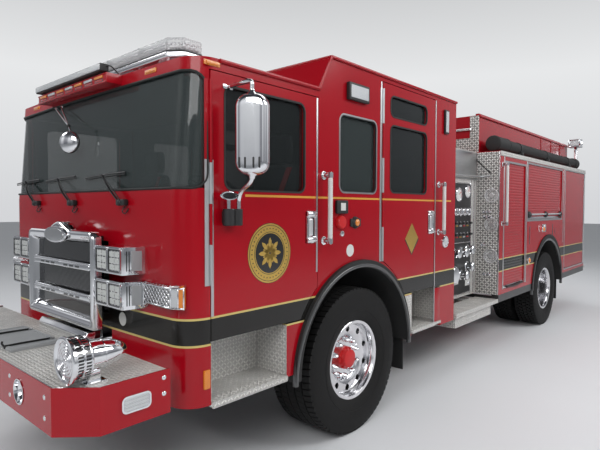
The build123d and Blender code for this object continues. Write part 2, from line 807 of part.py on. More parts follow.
# front bumper: a folded plate with chamfered corners and a lower lip
def bumper_outline(inset):
    """Plan corners of the bumper, brought in by an inset."""
    half = bumper_half - inset
    front = cab_front - bumper_reach + inset
    rear = cab_front + bumper_rear
    cut = bumper_chamfer - inset * 0.414
    return ((-half, rear), (-half, front + cut), (-half + cut, front), (half - cut, front),
            (half, front + cut), (half, rear))


def flat_plate(corners, z, mode=Mode.ADD):
    """Plate across Z from (x, y) corners."""
    with BuildSketch(Plane.XY.offset(min(z))) as plate_face:
        with BuildLine():
            Polyline(*corners, close=True)
        make_face()
    extrude(plate_face.sketch, amount=abs(z[1] - z[0]), mode=mode)


with BuildPart() as front_bumper:
    flat_plate(bumper_outline(0), (bumper_bottom, bumper_top))
    flat_plate(bumper_outline(bumper_plate), (bumper_bottom + bumper_plate, bumper_top + 1), Mode.SUBTRACT)
    flat_plate(bumper_outline(bumper_lip), (bumper_bottom - 1, bumper_top), Mode.SUBTRACT)
    for side, name in sides:
        x = side * horn_hole_spread / 2
        rod((x, cab_front - bumper_reach - 5, horn_hole_height),
            (x, cab_front - bumper_reach + bumper_plate + 5, horn_hole_height),
            horn_hole_radius, Mode.SUBTRACT)
        block((side * (rail_half + seat_gap), side * (rail_half + 12)),
              (cab_front - bumper_reach + bumper_plate - 1, cab_front - 250),
              (rail_bottom + 20, deck_height - 80))
save(front_bumper.part, "front_bumper")

with BuildPart() as bumper_deck:
    inner = bumper_outline(bumper_plate + seat_gap)
    flat_plate(inner, (deck_height - deck_thickness, deck_height))
    hatch_y = (behind_cab(hatch_span[0]), behind_cab(hatch_span[1]))
    hatch_x = (-hatch_half_width, hatch_half_width)
    tray_z = (deck_height - tray_depth, deck_height - 1)
    block(shrunk(hatch_x, 20), shrunk(hatch_y, 20), tray_z)
    block(shrunk(hatch_x, 24), shrunk(hatch_y, 24), (tray_z[0] + 4, deck_height + 1), Mode.SUBTRACT)
    hatch_axis = (hatch_y[1] + hatch_hinge_gap, deck_height + hatch_thickness / 2)
    for low in hatch_hinge_starts[::2]:
        span = (low, low + hatch_hinge_length - pin_fit)
        rod((span[0], *hatch_axis), (span[1], *hatch_axis), hatch_hinge_radius)
        block(span, (hatch_axis[0], hatch_axis[0] + 2 * hatch_hinge_radius), (deck_height - 1, hatch_axis[1]))
save(bumper_deck.part, "bumper_deck")

with BuildPart() as bumper_hatch:
    z = (deck_height + pin_fit, deck_height + hatch_thickness)
    block(hatch_x, hatch_y, z)
    chamfer(bumper_hatch.edges().group_by(Axis.Z)[-1], 4)
    for low in hatch_hinge_starts[1::2]:
        span = (low, low + hatch_hinge_length - pin_fit)
        rod((span[0], *hatch_axis), (span[1], *hatch_axis), hatch_hinge_radius)
        block(span, (hatch_y[1] - 1, hatch_axis[0]), shrunk(z, 4))
save(bumper_hatch.part, "bumper_hatch")

# the siren's outline: share of its length, share of its radius
siren_profile = (
    (0, 0), (0, 0.86), (0.03, 1), (0.29, 1), (0.33, 0.72), (0.46, 0.68), (0.66, 0.6), (0.82, 0.49),
    (0.93, 0.35), (0.985, 0.18), (1, 0),
)
with BuildPart() as siren_and_horns:
    siren_height = deck_height + siren_radius + siren_clearance
    face = behind_cab(siren_span[0])
    tail = behind_cab(siren_span[1])
    length = tail - face
    with BuildSketch(Plane(origin=(siren_offset, face, siren_height), x_dir=(0, 1, 0), z_dir=(1, 0, 0))):
        with BuildLine():
            Polyline(*[(part * length, share * siren_radius) for part, share in siren_profile], close=True)
        make_face()
    revolve(axis=Axis((siren_offset, face, siren_height), (0, 1, 0)))
    block((siren_offset - 55, siren_offset + 55), (face + 70, face + 200),
          (deck_height + seat_gap, siren_height - 60))
    for side, name in sides:
        x = side * horn_hole_spread / 2
        front = cab_front - bumper_reach + 2
        rod((x, front, horn_hole_height), (x, front + 30, horn_hole_height), horn_hole_radius - 2)
        rod((x, front + 29, horn_hole_height), (x, front + 300, horn_hole_height), 26)
        rod((x, front - 1, horn_hole_height), (x, front + 20, horn_hole_height),
            horn_hole_radius - 12, Mode.SUBTRACT)
        block((side * (rail_half + 12 + seat_gap), x), (front + 180, front + 200),
              (horn_hole_height - 20, horn_hole_height + 20))
save(siren_and_horns.part, "siren_and_horns")

# grille: a chrome surround with a crown and cross bars over a screen
with BuildPart() as grille:
    face_y = behind_cab(-grille_reach)
    front_view = Plane(origin=(0, face_y + grille_depth, 0), x_dir=(1, 0, 0), z_dir=(0, -1, 0))
    with BuildSketch(front_view) as surround:
        with BuildLine():
            Line((-grille_half_width, grille_top), (-grille_half_width, grille_bottom))
            Line((-grille_half_width, grille_bottom), (grille_half_width, grille_bottom))
            Line((grille_half_width, grille_bottom), (grille_half_width, grille_top))
            Line((grille_half_width, grille_top), (0.45 * grille_half_width, grille_top))
            ThreePointArc((0.45 * grille_half_width, grille_top), (0, grille_crown),
                          (-0.45 * grille_half_width, grille_top))
            Line((-0.45 * grille_half_width, grille_top), (-grille_half_width, grille_top))
        make_face()
    extrude(surround.sketch, amount=grille_depth)
    opening_x = (-grille_half_width + grille_frame, grille_half_width - grille_frame)
    opening_z = (grille_bottom + grille_frame, grille_top - grille_frame)
    block(opening_x, (face_y - 1, face_y + grille_depth + 1), opening_z, Mode.SUBTRACT)
    for bar_z in grille_bars:
        block((opening_x[0] - 1, opening_x[1] + 1), (face_y + 8, face_y + 36), (bar_z - 14, bar_z + 14))
save(grille.part, "grille")

with BuildPart() as grille_screen:
    back = (behind_cab(-grille_reach) + grille_depth + seat_gap, cab_front - seat_gap)
    block(shrunk((-grille_half_width, grille_half_width), 8), back,
          shrunk((grille_bottom, grille_top), 8))
    block(shrunk(opening_x, 6), (back[0] + 12, back[1] + 1), shrunk(opening_z, 6), Mode.SUBTRACT)
save(grille_screen.part, "grille_screen")

# headlamps: two tiers of boxes each side, the lower one carrying the turn lamp
lamp_recess = 14
lens_size = 132
turn_lamp_height = 112
cab_outside = cab_form(-seat_gap, cab_bottom)
turn_lamp_form = cab_form(-turn_lamp_reach, cab_bottom)
with BuildPart() as headlamps:
    for side, name in sides:
        for tier in lamp_tiers:
            x = (side * lamp_inner, side * lamp_outer)
            y = (behind_cab(-lamp_reach), behind_cab(2 * cab_bow))
            z = (tier, tier + lamp_tier_height)
            with BuildPart(mode=Mode.PRIVATE) as lamp_box:
                block(x, y, z)
                fillet(lamp_box.edges().filter_by(Axis.Z).group_by(Axis.Y)[0], 26)
            add(lamp_box.part)
            pitch = (lamp_outer - lamp_inner - 30) / 2
            for index in range(2):
                low = lamp_inner + 15 + index * pitch + (pitch - lens_size) / 2
                block((side * low, side * (low + lens_size)), (y[0] - 1, y[0] + lamp_recess),
                      shrunk(z, (lamp_tier_height - lens_size) / 2), Mode.SUBTRACT)
        z = (lamp_tiers[0] + 45, lamp_tiers[0] + 45 + turn_lamp_height)
        with BuildPart(mode=Mode.PRIVATE) as turn_lamp:
            block((side * (lamp_outer - 1), side * turn_lamp_outer),
                  (behind_cab(-lamp_reach), behind_cab(turn_lamp_rear)), z)
            add(turn_lamp_form, mode=Mode.INTERSECT)
        add(turn_lamp.part)
    add(cab_outside, mode=Mode.SUBTRACT)
    for side, name in sides:
        for tier in lamp_tiers:
            front = behind_cab(-lamp_reach)
            z = (tier, tier + lamp_tier_height)
            pitch = (lamp_outer - lamp_inner - 30) / 2
            for index in range(2):
                low = lamp_inner + 15 + index * pitch + (pitch - lens_size) / 2
                block((side * (low + seat_gap), side * (low + lens_size - seat_gap)),
                      (front + 3, front + lamp_recess - seat_gap),
                      shrunk(z, (lamp_tier_height - lens_size) / 2 + seat_gap))
save(headlamps.part, "headlamps")

# wipers: pivots under the windshield with arms and blades lying on the glass line
wiper_places = (-655, -20, 640)
wiper_height = 1770
wiper_reach = 520
with BuildPart() as wipers:
    for x in wiper_places:
        base = cab_face(x, wiper_height) - 2 * seat_gap
        rod((x, base, wiper_height), (x, base - 40, wiper_height), 17)
        tip = (x - wiper_reach / 2, base - 26, wiper_height + 150)
        rod((x, base - 30, wiper_height), tip, 9)
        rod((tip[0] - wiper_reach / 2, base - 26, tip[2] - 10),
            (tip[0] + wiper_reach / 2, base - 26, tip[2] + 10), 8)
save(wipers.part, "wipers")

# roof: light bar with tapered ends on feet, and a brow box with a slim lamp over the windshield
light_bar_front = 225
light_bar_half = 840
light_bar_taper = (90, 70)
light_bar_depth = 280
light_bar_height = 125
light_bar_foot = 100
brow_half = 515
brow_reach = 40
brow_height = 62
brow_lamp_half = 492
brow_lamp_reach = 72
brow_lamp_depth = 58
brow_lamp_height = 46
with BuildPart() as roof_lights:
    y0 = behind_cab(light_bar_front)
    y1 = y0 + light_bar_depth
    base = low_roof + seat_gap + light_bar_foot
    straight = light_bar_half - light_bar_taper[0]
    taper = light_bar_taper[1]
    corners = ((-straight, y0), (straight, y0), (light_bar_half, y0 + taper), (light_bar_half, y1 - taper),
               (straight, y1), (-straight, y1), (-light_bar_half, y1 - taper), (-light_bar_half, y0 + taper))
    flat_plate(corners, (base, base + light_bar_height))
    for x in (-straight + 120, 0, straight - 120):
        block((x - 60, x + 60), (y0 + 60, y1 - 60), (low_roof + seat_gap, base + 1))
    z = (low_roof - brow_height, low_roof - seat_gap)
    y = (behind_cab(-brow_reach), behind_cab(windshield_rake + cab_bow))
    block((-brow_half, brow_half), y, z)
    lamp_y = (behind_cab(-brow_lamp_reach), behind_cab(-brow_lamp_reach + brow_lamp_depth))
    lamp_z = (low_roof + 8, low_roof + 8 + brow_lamp_height)
    block((-brow_lamp_half, brow_lamp_half), lamp_y, lamp_z)
    for x in (-brow_lamp_half + 60, 0, brow_lamp_half - 60):
        block((x - 20, x + 20), (behind_cab(-brow_reach), lamp_y[1]), (z[1] - 1, lamp_z[0] + 1))
    add(cab_outside, mode=Mode.SUBTRACT)
save(roof_lights.part, "roof_lights")

# convex mirror hung from the brow ahead of the windshield
crossview_head = (38, -60, 2178)
crossview_radius = 76
crossview_feet = (-430, -330)
with BuildPart() as crossview_mirror:
    head = (crossview_head[0], behind_cab(crossview_head[1]), crossview_head[2])
    rod(head, (head[0], head[1] + 18, head[2]), crossview_radius)
    rod((head[0], head[1] - 22, head[2]), (head[0], head[1] + 1, head[2]), 0.72 * crossview_radius)
    foot_z = low_roof - brow_height - 24
    for foot_x in crossview_feet:
        foot_y = cab_face(foot_x, foot_z)
        rod((foot_x, foot_y - 22, foot_z), (foot_x, foot_y + 30, foot_z), 16)
        rod((foot_x, foot_y - 14, foot_z), (head[0], head[1] + 9, head[2] + 0.8 * crossview_radius), 8)
    add(cab_outside, mode=Mode.SUBTRACT)
save(crossview_mirror.part, "crossview_mirror")

# mirrors on the front doors
mirror_out = 1420
mirror_size = (185, 440)
mirror_depth = 84
mirror_turn = 30
mirror_place = 280
mirror_centre_height = 2140
mirror_pad = (35, 40)
mirror_pad_height = 2445
mirror_box = (80, 110, 95)
mirror_box_height = 1640
mirror_arm_radius = 13
for side, name in sides:
    with BuildPart() as mirror_head:
        x = (side * (mirror_out - mirror_size[0] / 2), side * (mirror_out + mirror_size[0] / 2))
        y = (behind_cab(mirror_place), behind_cab(mirror_place) + mirror_depth)
        z = (mirror_centre_height - mirror_size[1] / 2, mirror_centre_height + mirror_size[1] / 2)
        root_y = y[0] + mirror_depth / 4
        middle = (side * mirror_out, y[0] + mirror_depth / 2)
        with BuildPart(mode=Mode.PRIVATE) as case:
            block(x, y, z)
            fillet(case.edges().filter_by(Axis.Y), 60)
            fillet(case.faces().sort_by(Axis.Y)[0].edges(), 28)
        add(case.part.rotate(Axis((*middle, 0), (0, 0, 1)), side * mirror_turn))
        arm_height = mirror_pad_height + mirror_pad[1] / 2
        block((side * (cab_half + seat_gap), side * (cab_half + 26)),
              (root_y - mirror_pad[0], root_y + mirror_pad[0]),
              (mirror_pad_height, mirror_pad_height + mirror_pad[1]))
        rod((side * (cab_half + 6), root_y, arm_height), (*middle, arm_height), mirror_arm_radius)
        rod((*middle, arm_height + mirror_arm_radius), (*middle, z[1] - 20), mirror_arm_radius)
        box_top = mirror_box_height + mirror_box[2]
        post = (side * (cab_half + 0.75 * mirror_box[0]), root_y)
        block((side * (cab_half + seat_gap), side * (cab_half + mirror_box[0])),
              (root_y - mirror_box[1] / 2, root_y + mirror_box[1] / 2), (mirror_box_height, box_top))
        rod((*post, box_top - 1), (*post, box_top + 66), mirror_arm_radius)
        rod((*post, box_top + 60), (*middle, z[0] + 20), mirror_arm_radius)
    save(mirror_head.part, f"mirror_{name}")

wheel_tilt = 35
seat_offset = 830
wheel_hub_length = 56
dash_height = 1760
wheel_place = (seat_offset, behind_cab(590), dash_height + 60)
wheel_axis = Vector(0, -sin(radians(wheel_tilt)), -cos(radians(wheel_tilt)))
column_length = 120

# inside the cab
with BuildPart() as dashboard:
    y = (cab_front + cab_wall + cab_bow + 70, behind_cab(470))
    inside = cab_half - cab_wall - 12
    for side, name in sides:
        block((side * (tunnel_half_width + seat_gap), side * (inside - 120)), y,
              (floor_height + 330, dash_height - 60))
    block((-inside + 120, inside - 120), y, (tunnel_height + seat_gap, dash_height))
    block((-inside + 120, inside - 120), (y[0], y[0] + 60), (floor_height + seat_gap, tunnel_height))
    chamfer(dashboard.edges().filter_by(Axis.X).group_by(Axis.Z)[-1], 30)

    start = Vector(*wheel_place) + wheel_axis * (wheel_hub_length / 2 + seat_gap)
    end = start + wheel_axis * column_length
    rod(tuple(start), tuple(end), 30)
    block((seat_offset - 45, seat_offset + 45), (behind_cab(470) + seat_gap, end.Y + 60),
          (end.Z - 40, end.Z + 90))
save(dashboard.part, "dashboard")

seat_rows = ((930, 1), (2760, -1))
with BuildPart() as cab_seats:
    for side, name in sides:
        for place, facing in seat_rows:
            centre_y = behind_cab(place)
            x = (side * (seat_offset - 235), side * (seat_offset + 235))
            base_top = floor_height + 430
            pedestal = (centre_y - 220, min(centre_y + 200, arch_front - 5) if facing == 1 else centre_y + 200)
            block(x, (centre_y - 230, centre_y + 230), (base_top - 110, base_top))
            block((side * (seat_offset - 150), side * (seat_offset + 150)), pedestal,
                  (floor_height + seat_gap, base_top - 109))
            back = (centre_y + 150, centre_y + 260)
            block(x, back, (base_top - 60, base_top + 620))
            block((side * (seat_offset - 130), side * (seat_offset + 130)), shrunk(back, 10),
                  (base_top + 619, base_top + 830))
save(cab_seats.part, "cab_seats")

# steering wheel
with BuildPart() as steering_wheel:
    plane = Plane(origin=wheel_place, x_dir=(1, 0, 0), z_dir=tuple(-wheel_axis))
    with BuildSketch(Plane(origin=wheel_place, x_dir=(1, 0, 0), z_dir=plane.y_dir)) as rim_section:
        with Locations((225, 0)):
            Circle(14)
    revolve(rim_section.sketch, axis=Axis(wheel_place, plane.z_dir))
    with Locations(plane):
        Cylinder(48, wheel_hub_length)
        with PolarLocations(0, 3):
            Box(225, 26, 12, align=(Align.MIN, Align.CENTER, Align.CENTER))
save(steering_wheel.part, "steering_wheel")

# handrails, marker lamps and the cab's scene lamps on its sides
rail_standoff = 62
rail_radius = 15
cab_rail_heights = (1495, 1985)
cab_rail_places = (1170, 2920)
body_rail_heights = (1540, 2290)
rear_rail_heights = (1100, 2130)
rail_foot_inset = 28
with BuildPart() as handrails:
    for side, name in sides:
        for place in cab_rail_places:
            x = side * (cab_half + rail_standoff)
            y = behind_cab(place)
            rod((x, y, cab_rail_heights[0]), (x, y, cab_rail_heights[1]), rail_radius)
            for z in shrunk(cab_rail_heights, rail_foot_inset):
                rod((side * (cab_half + seat_gap), y, z), (x, y, z), rail_radius + 3)
        x = side * (body_half + rail_standoff)
        y = body_front + rail_standoff
        rod((x, y, body_rail_heights[0]), (x, y, body_rail_heights[1]), rail_radius)
        for z in shrunk(body_rail_heights, rail_foot_inset):
            rod((side * (body_half + seat_gap), y, z), (x, y, z), rail_radius + 3)
        x = side * (body_half - 140)
        y = body_rear + rail_standoff
        rod((x, y, rear_rail_heights[0]), (x, y, rear_rail_heights[1]), rail_radius)
        for z in shrunk(rear_rail_heights, rail_foot_inset):
            rod((x, body_rear + seat_gap, z), (x, y, z), rail_radius + 3)
save(handrails.part, "handrails")

scene_lamp = ((1430, 1690), (2536, 2664))
scene_lamp_reach = 34
tall_lamp = ((3015, 3095), (2462, 2695))
tall_lamp_reach = 22
round_lamp = (3063, 1414)
round_lamp_radius = 58
lamp_rows = (1250, 1400, 1550)
beacon_offset = 1105
with BuildPart() as warning_lamps:
    for side, name in sides:
        for (span, heights), reach in ((scene_lamp, scene_lamp_reach), (tall_lamp, tall_lamp_reach)):
            block((side * (cab_half + seat_gap), side * (cab_half + reach)),
                  (behind_cab(span[0]), behind_cab(span[1])), heights)
        rod((side * (cab_half + seat_gap), behind_cab(round_lamp[0]), round_lamp[1]),
            (side * (cab_half + 24), behind_cab(round_lamp[0]), round_lamp[1]), round_lamp_radius)
        marker_y = (behind_cab(cab_corner_radius + cab_bow - 45),
                    behind_cab(cab_corner_radius + cab_bow - 2))
        with BuildPart(mode=Mode.PRIVATE) as marker:
            block((side * (cab_half - 30), side * (cab_half + 10)), marker_y, (735, 850))
            add(cab_outside, mode=Mode.SUBTRACT)
        add(marker.part)
    for side, name in sides:
        for height in lamp_rows:
            block((side * 900, side * 1070), (body_rear + seat_gap, body_rear + 30),
                  (height, height + 110))

    for side, name in sides:
        x = (side * (beacon_offset - 100), side * (beacon_offset + 100))
        y = (body_rear - 190, body_rear - 20)
        block(x, y, (2850, 3000))
        block((side * (beacon_offset - 25), side * (beacon_offset + 25)), (y[1] - 70, y[1] - 20),
              (body_top + seat_gap, 2851))
save(warning_lamps.part, "warning_lamps")

# pump house between the cab and the body, with a cross bed over the pump
with BuildPart() as pump_house:
    y = (pump_front, body_front - seat_gap)
    block((-pump_half_width, pump_half_width), y, (rail_top + seat_gap, body_top))
    inner_y = shrunk(y, pump_wall)
    block(shrunk((-pump_half_width, pump_half_width), pump_wall), inner_y,
          (rail_top - 1, crosslay_floor - pump_wall), Mode.SUBTRACT)
    block(shrunk((-pump_half_width, pump_half_width), pump_wall), inner_y,
          (crosslay_floor, body_top + 1), Mode.SUBTRACT)
    for side, name in sides:
        block((side * (pump_half_width - pump_wall - 1), side * (pump_half_width + 1)),
              shrunk(inner_y, 60), (rail_top + 60, pump_top - 180), Mode.SUBTRACT)
        block((side * (rail_half + 20), side * pump_half_width), y,
              (pump_side_bottom, pump_side_bottom + pump_wall))
        for wall_y in ((y[0], y[0] + pump_wall), (y[1] - pump_wall, y[1])):
            block((side * (rail_half + 20), side * pump_half_width), wall_y,
                  (pump_side_bottom, rail_top + 1))
save(pump_house.part, "pump_house")

with BuildPart() as pump_panels:
    for side, name in sides:
        x = (side * (pump_half_width + seat_gap), side * (pump_half_width + panel_thickness))
        block(x, shrunk((pump_front, body_front), 3), (pump_side_bottom, pump_top))
save(pump_panels.part, "pump_panels")

# pump fittings: distance behind the pump house's front, height, radius, reach
fitting_table = (
    (300, 1010, 98, 150), (560, 1250, 52, 110), (800, 1250, 52, 110), (800, 960, 52, 110),
    (1000, 1030, 62, 120), (1000, 1270, 52, 110),
    (420, 1900, 78, 22), (640, 1900, 78, 22), (880, 1960, 78, 22), (1040, 1900, 62, 22),
    (300, 1700, 46, 18), (420, 1700, 46, 18), (540, 1700, 46, 18), (660, 1700, 46, 18),
    (780, 1700, 46, 18), (900, 1700, 46, 18), (1020, 1700, 46, 18),
    (300, 1520, 24, 60), (400, 1520, 24, 60), (500, 1520, 24, 60), (600, 1520, 24, 60),
    (700, 1520, 24, 60), (800, 1520, 24, 60), (900, 1520, 24, 60), (1000, 1520, 24, 60),
)
# round discs stand on the body's front face beside the panel
disc_heights = (1173, 1540, 1906)
with BuildPart() as pump_fittings:
    for side, name in sides:
        base = side * (pump_half_width + panel_thickness + seat_gap)
        for place, height, radius, reach in fitting_table:
            y = pump_front + place
            rod((base, y, height), (base + side * reach, y, height), radius)
        for height in disc_heights:
            rod((side * 1165, body_front - seat_gap, height), (side * 1165, body_front - 22, height), 84)
save(pump_fittings.part, "pump_fittings")

# side steps: treads with walls behind and beside them, and the platform by the pump
with BuildPart() as side_steps:
    for side, name in sides:
        for span in (front_step, rear_step):
            y = shrunk((behind_cab(span[0]), behind_cab(span[1])), seat_gap)
            outer = side * (cab_half + 12)
            inner = side * (cab_half - step_depth)
            base = (step_height - step_thickness, step_height)
            block((outer, inner), y, base)
            block((inner, inner + side * 4), y, (step_height - 1, floor_bottom - seat_gap))
            for low, high in ((y[0], y[0] + 4), (y[1] - 4, y[1])):
                block((side * (cab_half - 2), inner), (low, high),
                      (step_height - 1, floor_bottom - seat_gap))
    for side, name in sides:
        inner = side * (pump_half_width + panel_thickness + seat_gap)
        y = (pump_front + 5, body_front - 5)
        block((inner, side * pump_step_half_width), y, (pump_step_height - 40, pump_step_height))
        block((inner, side * pump_step_half_width), shrunk(y, 30),
              (pump_step_height - 41, pump_step_height - 12), Mode.SUBTRACT)
        for brace_y in (y[0] + 60, y[1] - 60):
            block((side * (rail_half + seat_gap), side * (pump_step_half_width - 60)),
                  (brace_y - 20, brace_y + 20), (pump_step_height - 42, pump_step_height - 11))
            block((side * (rail_half + seat_gap), side * (rail_half + 14)),
                  (brace_y - 20, brace_y + 20), (pump_step_height - 42, rail_top - 60))
        box_x = (side * pump_box_inner, side * (pump_step_half_width - pump_box_inset))
        box_y = (y[0] + pump_box_ends[0], y[1] - pump_box_ends[1])
        box_z = (pump_step_height - pump_box_drop, pump_step_height - 39)
        block(box_x, box_y, box_z)
        block(shrunk(box_x, pump_box_plate), shrunk(box_y, pump_box_plate),
              (box_z[0] + pump_box_plate, box_z[1] + 1), Mode.SUBTRACT)
save(side_steps.part, "side_steps")

# body: two towers of compartments joined by a floor and end walls
bay_inner = tower_inner + body_wall


def bay_span(bay):
    """Limits along the vehicle of a bay given from the body's front."""
    return (body_front + bay[0], body_front + bay[1])


with BuildPart() as body_module:
    y = (body_front, body_rear)
    block((-body_half, body_half), y, (body_bottom, body_top))
    inner_y = shrunk(y, body_wall)
    block((-tower_inner, tower_inner), inner_y, (subframe_height + body_wall, body_top + 1), Mode.SUBTRACT)
    block((-tower_inner, tower_inner), (y[0] - 1, y[1] + 1), (body_bottom - 1, subframe_height),
          Mode.SUBTRACT)
    for side, name in sides:
        for bay, heights in ((l1_bay, l1_heights), (l2_bay, l2_heights), (l3_bay, l3_heights)):
            block((side * bay_inner, side * (body_half + 1)), bay_span(bay), heights, Mode.SUBTRACT)
        arch_cut(rear_arch, rear_fender_outer + seat_gap, body_bottom - 1,
                 (side * (tower_inner - 1), side * (body_half + 1)))
        block((side * (rail_half - rail_flange), side * rail_half), (y[0] + 100, y[1] - 100),
              (rail_top + seat_gap, subframe_height + 1))
    block((-rear_bay_half_width, rear_bay_half_width), (y[1] - body_wall - 1, y[1] + 1),
          rear_bay_heights, Mode.SUBTRACT)
    for side, name in sides:
        hinge_half(side, body_half, body_front + l3_bay[1], l3_heights[0] + hinge_margin,
                   l3_heights[1] - hinge_margin, 1, False)
save(body_module.part, "body_module")

with BuildPart() as water_tank:
    tank_y = (body_front + body_wall + 40, body_rear - body_wall - rear_bay_depth)
    block((-tower_inner + 12, tower_inner - 12), tank_y,
          (subframe_height + body_wall + seat_gap, body_top - 160))
save(water_tank.part, "water_tank")

# roll-up curtains in the first two bays and at the rear
with BuildPart() as roll_up_doors:
    for side, name in sides:
        for bay, heights in ((l1_bay, l1_heights), (l2_bay, l2_heights)):
            face = side * (body_half - curtain_inset)
            block((face, face - side * curtain_thickness), shrunk(bay_span(bay), seat_gap),
                  shrunk(heights, seat_gap))
            block((face - side, face + side * 30),
                  shrunk(bay_span(bay), 60), (heights[0] + 30, heights[0] + 70))
    block(shrunk((-rear_bay_half_width, rear_bay_half_width), seat_gap),
          (body_rear - curtain_inset - curtain_thickness, body_rear - curtain_inset),
          shrunk(rear_bay_heights, seat_gap))
save(roll_up_doors.part, "roll_up_doors")

# hinged doors of the rear side bays
for side, name in sides:
    with BuildPart() as bay_door:
        y = shrunk(bay_span(l3_bay), door_gap)
        z = shrunk(l3_heights, door_gap)
        face = side * body_half
        block((face, face - side * bay_door_thickness), y, z)
        hinge_half(side, body_half, body_front + l3_bay[1], l3_heights[0] + hinge_margin,
                   l3_heights[1] - hinge_margin, -1, True)
    save(bay_door.part, f"bay_door_{name}")

with BuildPart() as rub_rails:
    for side, name in sides:
        x = (side * (body_half - 70), side * body_half)
        z = (body_bottom - rub_rail_height, body_bottom - seat_gap)
        arch_half = rear_fender_outer + 20
        for span in ((body_front, rear_axle - arch_half), (rear_axle + arch_half, body_rear)):
            block(x, span, z)
            for post in (span[0] + 60, span[1] - 60):
                block((side * (rail_half + seat_gap), x[0]), (post - 20, post + 20),
                      (z[0] + 20, z[0] + 60))
save(rub_rails.part, "rub_rails")

# hose bed walls with a tube along the top
with BuildPart() as hose_bed:
    y = (body_front + bed_front, body_rear - 20)
    z0 = body_top + seat_gap
    for side, name in sides:
        x = (side * (bed_half_width - bed_wall), side * bed_half_width)
        block(x, y, (z0, bed_top - 20))
        block((side * (bed_half_width - bed_wall - 12), side * (bed_half_width + 4)), y,
              (bed_top - 36, bed_top))
    block((-bed_half_width + 1, bed_half_width - 1), (y[0], y[0] + bed_wall), (z0, bed_top - 20))
save(hose_bed.part, "hose_bed")

# hard suction hose lying on saddles on the left towers
with BuildPart() as suction_hose:
    z = body_top + suction_cap_radius + 14
    y = (body_front + suction_span[0], body_front + suction_span[1])
    rod((suction_offset, y[0], z), (suction_offset, y[1], z), suction_radius)
    rod((suction_offset, y[0] - 70, z), (suction_offset, y[0] + 130, z), suction_cap_radius)
    rod((suction_offset, y[1] - 130, z), (suction_offset, y[1] + 50, z), suction_cap_radius)
    for place in (0.2, 0.5, 0.8):
        centre = y[0] + place * (y[1] - y[0])
        block((suction_offset - 95, suction_offset + 95), (centre - 30, centre + 30),
              (body_top + seat_gap, z + 20))
save(suction_hose.part, "suction_hose")

# rear: tailboard, lamps, corner beacons and rails
with BuildPart() as tailboard:
    z = (body_bottom - 60, body_bottom - 10)
    block((-body_half + 40, body_half - 40), (body_rear + seat_gap, tail_rear), z)
    for side, name in sides:
        block((side * (rail_half - rail_flange), side * rail_half), (body_rear - 39, body_rear + 120),
              (rail_bottom, rail_bottom + 100))
        block((side * (rail_half - rail_flange), side * rail_half), (body_rear + seat_gap, body_rear + 120),
              (z[0], rail_bottom + 1))
save(tailboard.part, "tailboard")

with BuildPart() as fuel_tank:
    tank_y = (rear_axle + 880, rear_axle + 1500)
    block((-rail_half + 60, rail_half - 60), tank_y, (430, rail_bottom - seat_gap))
    for place in (tank_y[0] + 100, tank_y[1] - 100):
        block((-rail_half, rail_half), (place - 25, place + 25), (rail_bottom - 20, rail_bottom - seat_gap))
save(fuel_tank.part, "fuel_tank")
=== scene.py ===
"""Looks of a pumper fire engine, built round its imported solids, in metres.

+X is the vehicle's left side, the front faces -Y and +Z is up.
"""

import json
import logging
import math
from dataclasses import dataclass, field
from enum import Enum
from typing import Callable, Iterable, Iterator, Sequence

import bmesh
import bpy
from mathutils import Matrix, Vector

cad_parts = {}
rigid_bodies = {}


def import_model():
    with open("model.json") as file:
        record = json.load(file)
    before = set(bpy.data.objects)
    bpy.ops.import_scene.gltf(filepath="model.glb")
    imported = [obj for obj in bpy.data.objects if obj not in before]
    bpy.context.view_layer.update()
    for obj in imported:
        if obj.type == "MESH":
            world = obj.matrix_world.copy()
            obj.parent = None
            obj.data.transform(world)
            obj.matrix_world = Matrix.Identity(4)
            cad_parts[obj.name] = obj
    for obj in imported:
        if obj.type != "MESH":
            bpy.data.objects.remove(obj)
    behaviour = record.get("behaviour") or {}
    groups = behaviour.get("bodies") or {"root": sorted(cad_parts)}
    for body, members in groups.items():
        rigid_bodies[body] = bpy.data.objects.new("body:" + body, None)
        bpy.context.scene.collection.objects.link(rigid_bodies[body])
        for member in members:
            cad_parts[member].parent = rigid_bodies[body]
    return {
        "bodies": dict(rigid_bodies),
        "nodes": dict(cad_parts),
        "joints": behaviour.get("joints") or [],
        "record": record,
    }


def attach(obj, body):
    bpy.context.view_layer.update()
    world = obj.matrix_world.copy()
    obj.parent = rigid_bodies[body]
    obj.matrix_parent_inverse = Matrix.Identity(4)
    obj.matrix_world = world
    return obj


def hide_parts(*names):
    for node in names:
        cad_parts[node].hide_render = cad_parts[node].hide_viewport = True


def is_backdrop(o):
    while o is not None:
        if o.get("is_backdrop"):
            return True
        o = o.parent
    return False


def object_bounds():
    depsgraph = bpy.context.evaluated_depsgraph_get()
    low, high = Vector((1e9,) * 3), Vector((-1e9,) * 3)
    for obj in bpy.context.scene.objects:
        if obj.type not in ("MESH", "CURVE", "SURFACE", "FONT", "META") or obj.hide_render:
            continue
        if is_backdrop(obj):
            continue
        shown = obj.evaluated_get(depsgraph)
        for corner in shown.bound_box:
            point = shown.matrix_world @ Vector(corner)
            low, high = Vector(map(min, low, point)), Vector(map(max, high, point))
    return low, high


LOG = logging.getLogger("fire_engine")

Colour = tuple[float, float, float]
Point = tuple[float, float, float]

SIDES: tuple[tuple[str, int], ...] = (("left", 1), ("right", -1))
CAB_FRONT = -4.2015
CAB_REAR = -0.9075
FRONT_AXLE: Point = (1.022, -2.5865, 0.562)
REAR_AXLE: Point = (1.077, 2.3035, 0.5425)
GAP = 0.0003
OUTWARD, AHEAD, BACKWARD, UPWARD = (1, 0, 0), (0, -1, 0), (0, 1, 0), (0, 0, 1)


